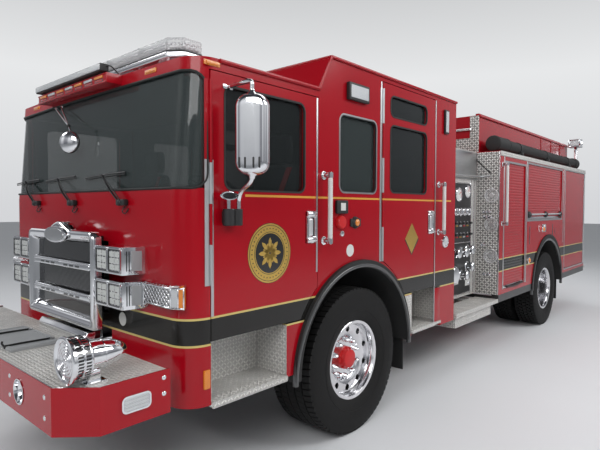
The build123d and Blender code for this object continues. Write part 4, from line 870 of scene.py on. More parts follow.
class Finish:
    """Every finish of the vehicle, made once."""

    def __init__(self) -> None:
        """Build the materials."""
        self.paint = CoachPaint("coach_red").fill(Slot.RED_PAINT)
        self.cab_paint = CoachPaint("cab_red", stripes=BELT_STRIPES + LINE_STRIPE, lined=True,
                                    hinge_line=1.2365).fill(Slot.RED_PAINT)
        self.door_paint = CoachPaint("door_red", stripes=BELT_STRIPES + LINE_STRIPE, lined=True).fill(Slot.RED_PAINT)
        self.band_paint = CoachPaint("body_red", stripes=BELT_STRIPES, hinge_line=1.2525).fill(Slot.RED_PAINT)
        self.chrome = Metal("chrome", (0.83, 0.84, 0.86), 0.05, spread=0.03).fill(Slot.CHROME)
        self.polished = Metal("polished_aluminium", (0.80, 0.80, 0.82), 0.13, (1.0, 1.0, 6.0),
                              60.0).fill(Slot.POLISHED_ALUMINIUM)
        self.satin = Metal("satin_aluminium", (0.60, 0.61, 0.62), 0.32, (1.0, 0.05, 1.0), 220.0,
                           0.0002).fill(Slot.POLISHED_ALUMINIUM)
        self.silver = Metal("pale_aluminium", (0.86, 0.86, 0.87), 0.36, (1.0, 1.0, 0.2), 160.0,
                            0.0001).fill(Slot.POLISHED_ALUMINIUM)
        self.steel = Metal("brushed_steel", (0.52, 0.52, 0.53), 0.30, (0.1, 1.0, 1.0), 180.0,
                           0.0002).fill(Slot.BRUSHED_STEEL)
        self.plate = TreadPlate("tread_plate", pitch=0.030, hollow_shade=0.22).fill(Slot.TREAD_PLATE)
        self.fine_plate = TreadPlate("fine_tread_plate", pitch=0.024, hollow_shade=0.50).fill(Slot.TREAD_PLATE)
        self.iron = Plastic("cast_iron", (0.05, 0.05, 0.052), 0.5, 90.0, 0.0006, 0.4).fill(Slot.CAST_IRON)
        self.chassis = Plastic("chassis_black", (0.015, 0.015, 0.016), 0.38, 60.0, 0.0003, 0.0, 0.3).fill(Slot.NONE)
        self.panel = Plastic("panel_black", (0.018, 0.018, 0.019), 0.42, 500.0, 0.0004).fill(Slot.BLACK_PLASTIC)
        self.black = Plastic("black_moulding", (0.014, 0.014, 0.015), 0.46).fill(Slot.BLACK_PLASTIC)
        self.gloss_black = Plastic("gloss_black", (0.008, 0.008, 0.009), 0.12, 300.0, 0.00005, 0.0,
                                   0.8).fill(Slot.BLACK_PLASTIC)
        self.rubber = Plastic("black_rubber", (0.012, 0.012, 0.012), 0.62, 260.0, 0.0003).fill(Slot.RUBBER)
        self.lip = Plastic("fender_lip", (0.050, 0.052, 0.054), 0.26, 200.0, 0.0001, 0.0, 0.6).fill(Slot.RUBBER)
        self.grey = Plastic("grey_lid", (0.36, 0.37, 0.38), 0.5, 380.0, 0.0004).fill(Slot.GREY_PLASTIC)
        self.cabin = Plastic("cabin_trim", (0.045, 0.046, 0.048), 0.7, 240.0, 0.0006).fill(Slot.BLACK_PLASTIC)
        self.white = Plastic("white_grip", (0.72, 0.72, 0.70), 0.42, 700.0, 0.0005).fill(Slot.WHITE_RAIL)
        self.tank = Plastic("tank_plastic", (0.30, 0.30, 0.31), 0.5, 120.0, 0.0005).fill(Slot.NONE)
        self.cloth = Cloth("seat_cloth", (0.030, 0.030, 0.033)).fill(Slot.SEAT_FABRIC)
        self.glass = Glass("clear_glass").fill(Slot.NONE)
        self.door_glass = Glass("door_glass", (0.020, 0.025, 0.025), 0.42).fill(Slot.NONE)
        self.dark_glass = Glass("tinted_glass", (0.018, 0.022, 0.022), 0.80).fill(Slot.NONE)
        self.bar_dome = Glass("bar_dome", (0.66, 0.69, 0.70), 0.30, 0.05, 0.014).fill(Slot.LAMP_LENS)
        # these lens finishes paint their flutes light and dark, painted highlight and shade; the faceted reflector most
        # strongly, as painted reflection
        self.clear_lens = Lens("clear_lens", (0.70, 0.72, 0.74), 0.012).fill(Slot.LAMP_LENS)
        self.lamp_lens = Lens("lamp_emitters", (0.68, 0.70, 0.68), 0.016).fill(Slot.LAMP_LENS)
        self.amber = Lens("amber_lens", (0.80, 0.24, 0.015), 0.010, 0.10).fill(Slot.LAMP_LENS)
        self.red_lens = Lens("red_lens", (0.55, 0.01, 0.01), 0.010, 0.08).fill(Slot.LAMP_LENS)
        self.blue_lens = Lens("smoked_lens", (0.58, 0.60, 0.61), 0.012).fill(Slot.LAMP_LENS)
        self.reflector = Lens("faceted_reflector", (0.86, 0.86, 0.88), 0.034, 0.0, 0.10, 1.0, 0.22,
                              0.010).fill(Slot.LAMP_LENS)
        self.gold = Metal("gold_leaf", (0.78, 0.52, 0.14), 0.28, spread=0.15).fill(Slot.NONE)
        self.belt = Plastic("belt_webbing", (0.86, 0.030, 0.035), 0.6, 900.0, 0.0003).fill(Slot.SEAT_FABRIC)
        self.red_plug = Plastic("red_plug", (0.60, 0.010, 0.012), 0.35).fill(Slot.RED_PAINT)


@dataclass
class Studio:
    """Camera, floor and soft lights."""

    eye: Point = (3.43, -5.7445, 1.742)
    yaw: float = 41.647
    pitch: float = -1.978
    roll: float = -0.171
    lens: float = 29.94
    lights: tuple[tuple[Point, Point, float, float, float], ...] = (
        ((4.5, -9.0, 5.5), (0.2, -3.5, 1.4), 5.0, 3.0, 270.0),
        ((7.6, 1.5, 6.6), (1.2, 0.5, 1.4), 7.0, 3.0, 400.0),
        ((-6.0, -7.5, 7.4), (0.0, -3.5, 1.4), 4.0, 3.0, 240.0),
        ((0.0, 1.0, 8.0), (0.0, 0.5, 2.0), 8.0, 5.0, 230.0),
        ((-5.0, 7.0, 5.0), (0.0, 3.0, 1.5), 5.0, 3.0, 170.0),
    )
    fill: Colour = (0.30, 0.31, 0.32)
    pale_stops: tuple[tuple[float, Colour], ...] = (
        (0.0, (0.42, 0.43, 0.45)), (1.0, (0.10, 0.10, 0.11)), (0.50, (0.66, 0.67, 0.69)),
        (0.62, (0.80, 0.81, 0.82)), (0.86, (0.16, 0.165, 0.175)))
    room_stops: tuple[tuple[float, Colour], ...] = (
        (0.0, (0.30, 0.31, 0.33)), (1.0, (0.07, 0.07, 0.08)), (0.46, (0.30, 0.31, 0.33)), (0.50, (0.34, 0.35, 0.37)),
        (0.58, (0.62, 0.63, 0.65)), (0.66, (0.92, 0.93, 0.95)), (0.74, (0.30, 0.31, 0.33)), (0.84, (0.09, 0.09, 0.10)))
    panel_stops: tuple[tuple[float, Colour], ...] = (
        (0.0, (0.42, 0.42, 0.44)), (1.0, (1.0, 1.0, 1.0)), (0.35, (0.50, 0.50, 0.52)), (0.60, (0.95, 0.95, 0.96)))
    panel_count: float = 7.0

    def build(self) -> None:
        """Set the camera, the floor, the lamps and the pale surroundings."""
        self.camera()
        self.floor()
        self.lamps()
        self.surroundings()

    def camera(self) -> None:
        """Stand the camera where the photographer stood."""
        data = bpy.data.cameras.new("camera")
        data.lens = self.lens
        data.sensor_width = 36.0
        data.clip_end = 200.0
        camera = bpy.data.objects.new("camera", data)
        bpy.context.scene.collection.objects.link(camera)
        yaw, pitch = math.radians(self.yaw), math.radians(self.pitch)
        forward = Vector((-math.sin(yaw) * math.cos(pitch), math.cos(yaw) * math.cos(pitch), math.sin(pitch)))
        turn = forward.to_track_quat("-Z", "Y").to_matrix().to_4x4()
        camera.matrix_world = Matrix.Translation(self.eye) @ turn @ Matrix.Rotation(math.radians(-self.roll), 4, "Z")
        bpy.context.scene.camera = camera

    def floor(self) -> None:
        """Lay a plain pale floor that holds the shadow."""
        maker = Maker()
        maker.box((-60, -60, -0.05), (60, 60, 0.0))
        data = bpy.data.meshes.new("floor")
        maker.mesh.to_mesh(data)
        maker.mesh.free()
        floor = bpy.data.objects.new("floor", data)
        bpy.context.scene.collection.objects.link(floor)
        shade = Shade("pale_floor")
        shade.colour(shade.mix(shade.noise(0.7, 2.0), (0.78, 0.79, 0.81), (0.75, 0.76, 0.78)))
        shade.give(Roughness=0.55, Specular_IOR_Level=0.3)
        data.materials.append(shade.material)
        floor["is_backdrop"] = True

    def lamps(self) -> None:
        """Hang large soft lamps round the vehicle."""
        for index, (place, aim, width, height, power) in enumerate(self.lights):
            data = bpy.data.lights.new(f"lamp_{index}", "AREA")
            data.shape = "RECTANGLE"
            data.size = width
            data.size_y = height
            data.energy = power
            lamp = bpy.data.objects.new(f"lamp_{index}", data)
            bpy.context.scene.collection.objects.link(lamp)
            turn = (Vector(aim) - Vector(place)).to_track_quat("-Z", "Y").to_matrix().to_4x4()
            lamp.matrix_world = Matrix.Translation(place) @ turn

    def surroundings(self) -> None:
        """Give the world a pale backdrop and a softer light on the vehicle."""
        world = bpy.data.worlds.new("studio")
        bpy.context.scene.world = world
        sky = Tree(world, "BACKGROUND")
        camera, through, glossy = (sky.node("ShaderNodeLightPath", None, None, f"Is {kind} Ray")
                                   for kind in ("Camera", "Transmission", "Glossy"))
        x, y, z = sky.split(sky.node("ShaderNodeTexCoord", None, None, "Generated"))
        height = z * 0.5 + 0.5
        wave = (x.math("ARCTAN2", y) * self.panel_count).math("SINE") * 0.5 + 0.5
        room = sky.mix(1.0, sky.ramp(height, self.room_stops), sky.ramp(wave, self.panel_stops), "MULTIPLY")
        seen = sky.mix(glossy, self.fill, room)
        sky.feed(sky.shader.inputs[0], sky.mix(camera.most(through), seen, sky.ramp(height, self.pale_stops)))
        bpy.context.scene.view_settings.view_transform = "Standard"


def dress(names: Iterable[str], material: bpy.types.Material) -> None:
    """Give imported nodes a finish."""
    for name in names:
        data = frame_node(name).data
        data.materials.clear()
        data.materials.append(material)


def frame_node(name: str) -> bpy.types.Object:
    """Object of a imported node."""
    return FRAME["nodes"][name]


@dataclass
class CabForm:
    """Outside form of the cab, shared by what lies on it."""

    front: float = CAB_FRONT
    rear: float = CAB_REAR
    half: float = 1.235
    corner: float = 0.15
    bow: float = 0.025
    belt: float = 1.8
    low_roof: float = 2.565
    high_roof: float = 2.815
    rake: float = 0.060

    def behind(self, distance: float) -> float:
        """Place along the vehicle at a distance behind the cab's front."""
        return self.front + distance

    def setback(self, z: float) -> float:
        """Rake of the front at a height."""
        return self.rake * max(0.0, z - self.belt) / (self.low_roof - self.belt)

    def face(self, x: float, z: float) -> float:
        """Place of the front face at a height and distance from the middle."""
        radius = (self.half ** 2 + self.bow ** 2) / (2 * self.bow)
        return self.front + radius - math.sqrt(radius ** 2 - x ** 2) + self.setback(z)

    def skin(self, z: float, wrap: float, proud: float = 0.0, steps: int = 30) -> list[Point]:
        """Points round the front at one height, from the left wrap to the right one.

        Args:
            z: height.
            wrap: place along the vehicle where both ends lie.
            proud: distance out of the surface.
            steps: points on the flat part.

        Returns:
            The points.
        """
        flat = self.half - self.corner
        centre_y = self.face(flat, z) + self.corner
        reach = self.corner + proud
        start = math.asin(max(-1.0, min(1.0, (centre_y - wrap) / self.corner))) if wrap < centre_y else 0.0
        side = [(flat + reach * math.cos(a), centre_y - reach * math.sin(a), z)
                for a in (start + (math.pi / 2 - start) * i / 9 for i in range(10))]
        if wrap >= centre_y:
            side.insert(0, (self.half + proud, wrap, z))
        middle = [(flat - 2 * flat * i / steps, 0.0, z) for i in range(1, steps)]
        middle = [(x, self.face(x, z) - proud, z) for x, _, z in middle]
        other = [(-x, y, z) for x, y, z in reversed(side)]
        return side + middle + other


@dataclass
class Cab:
    """Painted cab with its doors, glazing, trims and fittings."""

    form: CabForm = field(default_factory=CabForm)
    door_spans: tuple[tuple[str, float, float, float], ...] = (
        ("front", 0.181, 1.113, 2.500), ("rear", 1.926, 2.842, 2.762))
    windows: tuple[tuple[str, tuple[float, float], tuple[float, float]], ...] = (
        ("front", (0.285, 0.972), (1.842, 2.428)),
        ("rear", (2.046, 2.678), (1.870, 2.427)),
        ("rear", (2.046, 2.678), (2.497, 2.668)))
    side_window: tuple[tuple[float, float], tuple[float, float]] = ((1.352, 1.838), (1.855, 2.425))
    gasket: float = 0.006
    sunk: float = 0.012
    roundel_place: tuple[float, float] = (0.645, 1.46)
    roundel_radius: float = 0.1875
    seats: tuple[float, ...] = (0.930, 2.760)
    seat_out: float = 0.83

    def build(self, finish: Finish) -> None:
        """Build and dress the cab."""
        for step in (self.panels, self.glazing, self.gaskets, self.edges, self.handles, self.rails, self.roundels,
                     self.side_fittings, self.wipers, self.roof, self.inside):
            step(finish)

    def panels(self, finish: Finish) -> None:
        """Round the shell's and the doors' edges and paint them."""
        maker = Maker()
        maker.node("cab_shell")
        maker.piece("cab_skin", finish.cab_paint, round_edges=0.004, stands_for=["cab_shell"])
        for label, *_ in self.door_spans:
            for side, _ in SIDES:
                maker.node(f"{label}_door_{side}")
                maker.piece(f"{label}_door_skin_{side}", finish.door_paint, f"{label}_door_body_{side}",
                            round_edges=0.004, stands_for=[f"{label}_door_{side}"])

    def glazing(self, finish: Finish) -> None:
        """Tint the glass."""
        dress(["cab_glazing"], finish.glass)
        dress(["front_door_glass_left", "front_door_glass_right"], finish.door_glass)
        dress(["rear_door_glass_left", "rear_door_glass_right"], finish.dark_glass)

    def frame_round(self, maker: Maker, y: tuple[float, float], z: tuple[float, float],
                    radius: float, lap: float, proud: float) -> None:
        """Lay a moulded frame round a window in the cab's side."""

        def turned(a: float, b: float) -> Point:
            """Point in the side's face."""
            return self.form.half - self.sunk, a, b

        outer = rounded((y[0] - lap, y[1] + lap), (z[0] - lap, z[1] + lap), radius + lap, 6, turned)
        inner = rounded((y[0] + 0.006, y[1] - 0.006), (z[0] + 0.006, z[1] - 0.006), radius - 0.006, 6, turned)
        maker.ring(outer, inner, (self.sunk + proud, 0, 0))

    def gaskets(self, finish: Finish) -> None:
        """Fit rubber round the doors' windows, bright frames round the fixed ones and the windshield's seal."""
        maker = Maker()
        form = self.form
        for side in mirrored(maker):
            for label in ("front", "rear"):
                for door, y, z in self.windows:
                    if door == label:
                        self.frame_round(maker, (form.behind(y[0]), form.behind(y[1])), z, 0.055,
                                         self.gasket, 0.003)
                maker.piece(f"{label}_window_rubber_{side}", finish.rubber, f"{label}_door_body_{side}")
            y, z = self.side_window
            self.frame_round(maker, (form.behind(y[0]), form.behind(y[1])), z, 0.055, 0.006, 0.003)
            maker.piece(f"side_window_frame_{side}", finish.steel, slot=Slot.POLISHED_ALUMINIUM)
            self.frame_round(maker, (form.behind(y[0]) + 0.006, form.behind(y[1]) - 0.006),
                             (z[0] + 0.006, z[1] - 0.006), 0.05, 0.0, 0.002)
            maker.piece(f"side_window_rubber_{side}", finish.rubber)
        wrap = form.behind(0.163)
        low, high, radius = 1.848, 2.488, 0.085
        bottom = form.skin(low, wrap - radius, 0.001)
        top = form.skin(high, wrap - radius, 0.001)
        ends = []
        for sign in (1, -1):
            column = []
            for i in range(-6, 21):
                if i < 0:
                    t = math.pi / 2 * (1 + i / 6)
                    y, z = wrap - radius + radius * math.sin(t), low + radius - radius * math.cos(t)
                elif i <= 14:
                    y, z = wrap, low + radius + (high - low - 2 * radius) * i / 14
                else:
                    t = math.pi / 2 * (i - 14) / 6
                    y, z = wrap - radius + radius * math.cos(t), high - radius + radius * math.sin(t)
                flat = form.half - form.corner
                centre = form.face(flat, z) + form.corner
                turn = max(0.0, min(1.0, (centre - y) / form.corner))
                x = flat + (form.corner + 0.001) * math.sqrt(1 - turn * turn)
                column.append((sign * x, y, z))
            ends.append(column)
        loop = ends[0] + list(top)[1:-1] + list(reversed(ends[1])) + list(reversed(bottom))[1:-1]
        maker.tube(loop, 0.0075, 10, closed=True)
        maker.piece("windshield_seal", finish.rubber, sharp=60)

    def edges(self, finish: Finish) -> None:
        """Lay bright strips along the door edges and a drip bead round the roof."""
        maker = Maker()
        form = self.form
        for side in mirrored(maker):
            x = (form.half - 0.002, form.half + 0.004)
            for place, low, high in ((1.905, 1.33, 2.755), (2.853, 0.62, 2.755)):
                y = form.behind(place)
                maker.box((x[0], y - 0.008, low), (x[1], y + 0.008, high), 0.002)
            maker.piece(f"cab_edge_strips_{side}", finish.steel)
            y = form.behind(1.098)
            maker.box((x[0], y - 0.007, 1.30), (x[1], y + 0.007, 2.49), 0.002)
            y = form.behind(0.193)
            maker.box((x[0], y - 0.010, 1.135), (x[1], y + 0.010, 2.005), 0.002)
            maker.piece(f"front_door_edge_strip_{side}", finish.steel, f"front_door_body_{side}")
        z = form.low_roof - 0.010
        slope_foot, slope_top = form.behind(1.116), form.behind(1.116 + 0.134)
        for _ in mirrored(maker):
            x = form.half + 0.004
            path = [(x, form.behind(0.25), z), (x, slope_foot, z), (x, slope_top, form.high_roof - 0.012),
                    (x, form.rear - 0.004, form.high_roof - 0.012)]
            maker.tube(path, 0.013, 10)
        y, z = slope_top - 0.002, form.high_roof - 0.012
        maker.tube([(-form.half, y, z), (form.half, y, z)], 0.012, 10)
        maker.piece("roof_bead", finish.paint, sharp=60)

    def handles(self, finish: Finish) -> None:
        """Set a bright paddle handle in each door's pan."""
        maker = Maker()
        form = self.form
        for label, _, end, _ in self.door_spans:
            for side in mirrored(maker):
                middle = form.behind(end) - 0.012 - 0.060

                def oval_at(inset: float, out_by: float) -> list[Point]:
                    """Rounded outline of the case at an inset and a distance off the door."""
                    return rounded((middle - 0.053 + inset, middle + 0.053 - inset), (1.500 + inset, 1.722 - inset),
                                   0.048 - inset, 8, lambda a, b: (form.half + out_by, a, b))

                maker.loft([oval_at(g, x) for g, x in ((0.0, -0.008), (0.0, 0.004), (0.003, 0.011), (0.009, 0.015),
                                                       (0.016, 0.013), (0.021, 0.006), (0.022, -0.008))])
                for z in (1.525, 1.698):
                    maker.bar((form.half - 0.004, middle - 0.050, z), (form.half - 0.004, middle + 0.050, z), 0.025,
                              steps=20, soft=0.012)
                maker.piece(f"{label}_handle_case_{side}", finish.chrome, f"{label}_door_body_{side}")
                maker.box((form.half - 0.012, middle - 0.040, 1.552), (form.half + 0.017, middle + 0.006, 1.671), 0.014,
                          4)
                maker.piece(f"{label}_handle_grip_{side}", finish.silver, f"{label}_door_body_{side}")
                maker.box((form.half - 0.0205, middle - 0.046, 1.53), (form.half - 0.006, middle + 0.046, 1.69), 0.002)
                maker.piece(f"{label}_handle_shade_{side}", finish.black, f"{label}_door_body_{side}")

    def rails(self, finish: Finish) -> None:
        """Fit the pale ribbed grab rails on their bright stanchions."""
        sleeves, posts = Maker(), Maker()
        form = self.form
        runs = [((1.297, form.behind(p), 1.495), (1.297, form.behind(p), 1.985), (1.235, None)) for p in (1.170, 2.920)]
        runs += [((1.312, 0.3605, 1.54), (1.312, 0.3605, 2.29), (1.25, None)),
                 ((1.11, 4.5805, 1.10), (1.11, 4.5805, 2.13), (None, 4.5185))]
        for _ in mirrored(sleeves, posts):
            for low, high, foot in runs:
                x, y = low[0], low[1]
                length = high[2] - low[2]
                profile = [(0.03, 0.0135), (0.04, 0.0165)]
                count = int((length - 0.08) / 0.012)
                for i in range(count):
                    start = 0.04 + i * 0.012
                    profile += [(start + 0.003, 0.0172), (start + 0.009, 0.0172), (start + 0.012, 0.0160)]
                profile += [(length - 0.03, 0.0135)]
                sleeves.lathe((x, y, low[2]), UPWARD, profile, 14)
                for z in (low[2] + 0.018, high[2] - 0.018):
                    posts.lathe((x, y, z - 0.022), UPWARD, [(0.0, 0.014), (0.004, 0.019), (0.040, 0.019),
                                                            (0.044, 0.014)], 18)
                    end = (foot[0], y, z) if foot[0] else (x, foot[1], z)
                    posts.bar((x, y, z), end, 0.014, 0.018, 16)
                    out = Vector((x, y, z)) - Vector(end)
                    posts.bar(end, Vector(end) + out.normalized() * 0.008, 0.030, steps=20, soft=0.002)
        sleeves.piece("grab_rail_sleeves", finish.white, stands_for=["handrails"])
        posts.piece("grab_rail_posts", finish.chrome)

    def roundels(self, finish: Finish) -> None:
        """Set a round gold and black ornament on each front door, plain rosettes with no lettering."""
        form = self.form
        gold, black = Maker(), Maker()
        for side in mirrored(gold, black):
            body = f"front_door_body_{side}"
            centre = Vector((form.half + 0.0002, form.behind(self.roundel_place[0]), self.roundel_place[1]))
            r = self.roundel_radius
            black.lathe(centre, OUTWARD, [(0.0, r), (0.0006, r)], 72)
            black.piece(f"roundel_field_{side}", finish.gloss_black, body, slot=Slot.NONE)
            gold.ring(self.circle(centre, r * 0.985, 72), self.circle(centre, r * 0.66, 72), (0.0010, 0, 0))
            for t in turns(8):
                gold.slab(self.petal(centre, t, r * 0.52, r * 0.085), (0.0010, 0, 0))
                gold.slab(self.petal(centre, t + math.pi / 8, r * 0.36, r * 0.05), (0.0010, 0, 0))
            gold.piece(f"roundel_gold_{side}", finish.gold, body)
            for t in turns(36):
                spot = centre + Vector((0, math.cos(t), math.sin(t))) * r * 0.82
                black.lathe(spot + Vector((0.0008, 0, 0)), OUTWARD, [(0.0, 0.0042), (0.0008, 0.0042)], 10)
            for ring_radius in (0.93, 0.71):
                black.ring(self.circle(centre, r * ring_radius, 72), self.circle(centre, r * (ring_radius - 0.018), 72),
                           (0.0014, 0, 0))
            black.piece(f"roundel_beads_{side}", finish.gloss_black, body, slot=Slot.NONE)
            rear = f"rear_door_body_{side}"
            spot = Vector((form.half + 0.0002, form.behind(2.415), 1.474))
            black.slab([spot + Vector((0, a, b)) for a, b in ((-0.118, -0.012), (0.0, -0.147), (0.126, -0.012),
                                                              (0.0, 0.131))], (0.0005, 0, 0))
            black.piece(f"lozenge_shade_{side}", finish.gloss_black, rear, slot=Slot.NONE)
            gold.slab([spot + Vector((0, a, b)) for a, b in ((-0.115, 0.0), (0.0, -0.135), (0.115, 0.0), (0.0, 0.135))],
                      (0.0010, 0, 0))
            gold.piece(f"lozenge_gold_{side}", finish.gold, rear)

    @staticmethod
    def circle(centre: Vector, radius: float, steps: int) -> list[Vector]:
        """Points of a circle lying on the cab's side."""
        return [centre + Vector((0, math.cos(t), math.sin(t))) * radius
                for t in turns(steps)]

    @staticmethod
    def petal(centre: Vector, turn: float, reach: float, width: float) -> list[Vector]:
        """Pointed leaf outline from the roundel's middle."""
        along = Vector((0, math.cos(turn), math.sin(turn)))
        across = Vector((0, -math.sin(turn), math.cos(turn)))
        marks = ((0.10, 0.2), (0.45, 1.0), (0.80, 0.75), (1.0, 0.0))
        right = [centre + along * reach * a + across * width * b for a, b in marks]
        left = [centre + along * reach * a - across * width * b for a, b in reversed(marks[:-1])]
        return right + left

    def side_fittings(self, finish: Finish) -> None:
        """Fit the side lamps, the socket box, the plug and the round lamp to each side."""
        form = self.form
        out = form.half
        case, lens, amber, red, bezel, dome, disc = (Maker() for _ in range(7))
        for side in mirrored(case, lens, amber, red, bezel, dome, disc):

            def at(out_by: float, place: float, height: float) -> Point:
                """Point off the cab's side, at a distance behind its front."""
                return out + out_by, form.behind(place), height

            case.box(at(GAP, 1.430, 2.536), at(0.034, 1.690, 2.664), 0.010, 3)
            lens.box(at(0.030, 1.449, 2.554), at(0.037, 1.671, 2.646), 0.010, 4)
            case.box(at(GAP, 3.015, 2.462), at(0.022, 3.095, 2.695), 0.010, 3)
            lens.box(at(0.018, 3.027, 2.478), at(0.025, 3.083, 2.680), 0.006, 3)
            case.box(at(GAP, 1.300, 1.700), at(0.026, 1.435, 1.797), 0.012, 3)
            disc.box(at(0.022, 1.340, 1.722), at(0.028, 1.398, 1.778), 0.008, 3)
            case.lathe(at(GAP, 1.548, 1.632), OUTWARD, [(0, 0.046), (0.012, 0.044), (0.026, 0.034), (0.026, 0.030)], 24)
            case.box(at(GAP, 1.484, 1.602), at(0.012, 1.613, 1.662), 0.01)
            amber.dome(at(0.022, 1.548, 1.632), OUTWARD, 0.029, 0.016)
            red.lathe(at(GAP, 1.362, 1.638), OUTWARD, [(0, 0.050), (0.018, 0.049), (0.028, 0.042), (0.030, 0.0)], 32)
            amber.box(at(-0.004, 0.152, 2.521), at(0.011, 0.242, 2.541), 0.008, 3)
            amber.box(at(-0.004, 0.142, 2.517), at(0.004, 0.252, 2.545), 0.004, 3)
            amber.box(at(-0.004, 0.132, 0.740), at(0.010, 0.172, 0.845), 0.004)
            bezel.lathe(at(GAP, 3.063, 1.414), OUTWARD,
                        [(0, 0.060), (0.010, 0.060), (0.018, 0.054), (0.020, 0.046), (0.014, 0.044)], 36)
            bezel.lathe(at(GAP, 1.385, 1.555), OUTWARD, [(0, 0.022), (0.008, 0.020), (0.010, 0.012), (0.010, 0.0)], 20)
            dome.dome(at(0.012, 3.063, 1.414), OUTWARD, 0.045, 0.014, 32)
            disc.lathe(at(0.0002, 1.490, 1.424), OUTWARD, [(0, 0.046), (0.0008, 0.046)], 40)
            case.piece(f"side_lamp_cases_{side}", finish.black)
            lens.piece(f"side_lamp_lenses_{side}", finish.clear_lens)
            red.piece(f"charger_plug_{side}", finish.red_plug, slot=Slot.LAMP_LENS)
            amber.piece(f"side_amber_lamps_{side}", finish.amber)
            bezel.piece(f"round_lamp_rims_{side}", finish.chrome)
            dome.piece(f"round_lamp_{side}", finish.clear_lens)
            disc.piece(f"pale_plates_{side}", finish.white, slot=Slot.GREY_PLASTIC)

    def wipers(self, finish: Finish) -> None:
        """Fit jointed wiper arms, their blades and the washer hoses."""
        maker = Maker()
        form = self.form
        for x in (-0.655, -0.02, 0.640):
            base = form.face(x, 1.77)
            maker.box((x - 0.045, base - 0.040, 1.752), (x + 0.045, base - 0.002, 1.79), 0.010, 3)
            maker.lathe((x, base - 0.03, 1.77), AHEAD, [(0, 0.02), (0.012, 0.02), (0.02, 0.012), (0.02, 0.0)], 18)
            elbow = (x - 0.10, base - 0.045, 1.845)
            tip = (x - 0.26, form.face(x - 0.26, 1.94) - 0.020, 1.945)
            maker.tube([(x, base - 0.038, 1.77), elbow, tip], 0.0065, 8, 1.6)
            maker.tube([(x + 0.02, base - 0.038, 1.775), (elbow[0] + 0.02, elbow[1], elbow[2] + 0.012), tip], 0.004, 8)
            ends = [(tip[0] + d, form.face(tip[0] + d, tip[2] + d * 0.04) - g, tip[2] + d * 0.04)
                    for d, g in ((-0.25, 0.004), (-0.12, 0.014), (0.0, 0.018), (0.12, 0.014), (0.25, 0.004))]
            maker.tube(ends, 0.006, 8, 0.8, smooth=1)
            rubber = [(p[0], form.face(p[0], p[2] - 0.012) - 0.004, p[2] - 0.012) for p in ends]
            maker.tube(rubber, 0.0045, 6, 0.6)
            maker.tube([(x + 0.01, base - 0.006, 1.75), (x - 0.005, base - 0.022, 1.715),
                        (x + 0.03, base - 0.015, 1.70), (x + 0.045, base - 0.004, 1.735)], 0.0035, 6, smooth=2)
        maker.piece("wiper_arms", finish.black, sharp=50, stands_for=["wipers"])

    def roof(self, finish: Finish) -> None:
        """Light the roof: clear bar on its bright base, slim lamp, brow box and clearance lamps."""
        form = self.form
        base, module, dark, amber, clear, rack, dome, grey = (Maker() for _ in range(8))
        y0, y1 = form.behind(0.225), form.behind(0.505)
        low = form.low_roof + 0.1003
        cover = low + 0.045

        def plan(inset: float) -> list[tuple[float, float]]:
            """Outline of the light bar from above, drawn in by an inset."""
            half, straight, taper = 0.84 - inset, 0.75 - 0.6 * inset, 0.07
            a, b = y0 + inset, y1 - inset
            return [(-straight, a), (straight, a), (half, a + taper), (half, b - taper),
                    (straight, b), (-straight, b), (-half, b - taper), (-half, a + taper)]

        base.slab([(x, y, low) for x, y in plan(0.0)], (0, 0, 0.036), 0.006, 3)
        base.slab([(x, y, low + 0.010) for x, y in plan(0.0)], (0, 0, 0.008), 0.002)
        for x in (-0.63, 0.0, 0.63):
            for half, start, end, high in ((0.045, y0 + 0.05, y0 + 0.075, low + 0.004),
                                           (0.045, y1 - 0.075, y1 - 0.05, low + 0.004),
                                           (0.055, y0 + 0.04, y1 - 0.04, form.low_roof + 0.008)):
                base.box((x - half, start, form.low_roof + GAP), (x + half, end, high), 0.003)
        base.piece("light_bar_base", finish.polished)
        dome.slab([(x, y, cover) for x, y in plan(0.004)], (0, 0, 0.080), 0.016, 4)
        for x in (-0.42, 0.0, 0.42):
            rack.box((x - 0.004, y0 + 0.006, cover), (x + 0.004, y1 - 0.006, cover + 0.0795), 0.002)
        dome.piece("light_bar_dome", finish.bar_dome, stands_for=["roof_lights"])
        rack.piece("light_bar_ribs", finish.grey, slot=Slot.LAMP_LENS)
        # thin black layer between the bar's base and its dome: painted shade under the dome
        dark.slab([(x, y, low + 0.036) for x, y in plan(0.002)], (0, 0, 0.009), 0.002)
        for i in range(16):
            x = -0.735 + 1.47 * (i + 0.5) / 16
            for y in (y0 + 0.022, y1 - 0.082):
                module.box((x - 0.038, y, cover + 0.006), (x + 0.038, y + 0.060, cover + 0.060), 0.008)
                dark.box((x - 0.043, y + 0.012, cover + 0.002), (x - 0.041, y + 0.05, cover + 0.064))
        for sign in (1, -1):
            module.box((sign * 0.775, y0 + 0.085, cover + 0.006), (sign * 0.822, y1 - 0.085, cover + 0.060), 0.008)
        module.piece("light_bar_modules", finish.reflector)
        dark.box((-0.70, y0 + 0.110, cover), (0.70, y1 - 0.110, cover + 0.055), 0.004)
        brow, roof = form.behind(-0.040), form.low_roof
        rack.box((-0.515, brow, roof - 0.062), (0.515, form.behind(0.075), roof - GAP), 0.006, 3)
        rack.box((-0.515, brow - 0.004, roof - 0.012), (0.515, brow + 0.01, roof - 0.003), 0.003)
        rack.box((-0.515, brow - 0.004, roof - 0.060), (0.515, brow + 0.01, roof - 0.052), 0.003)
        rack.piece("brow_box", finish.paint)
        for i in range(7):
            x = -0.42 + 0.14 * i
            target = clear if i % 2 else amber
            target.box((x - 0.052, brow - 0.007, roof - 0.029), (x + 0.052, brow + 0.002, roof - 0.013), 0.006, 3)
            dark.box((x - 0.054, brow - 0.0015, roof - 0.051), (x + 0.054, brow + 0.002, roof - 0.034), 0.006, 3)
            dark.dome((x - 0.070, brow, roof - 0.022), AHEAD, 0.005, 0.003, 10)
            grey.box((x - 0.044, brow - 0.0025, roof - 0.047), (x + 0.044, brow, roof - 0.038), 0.003)
        grey.piece("brow_slot_lenses", finish.red_lens)
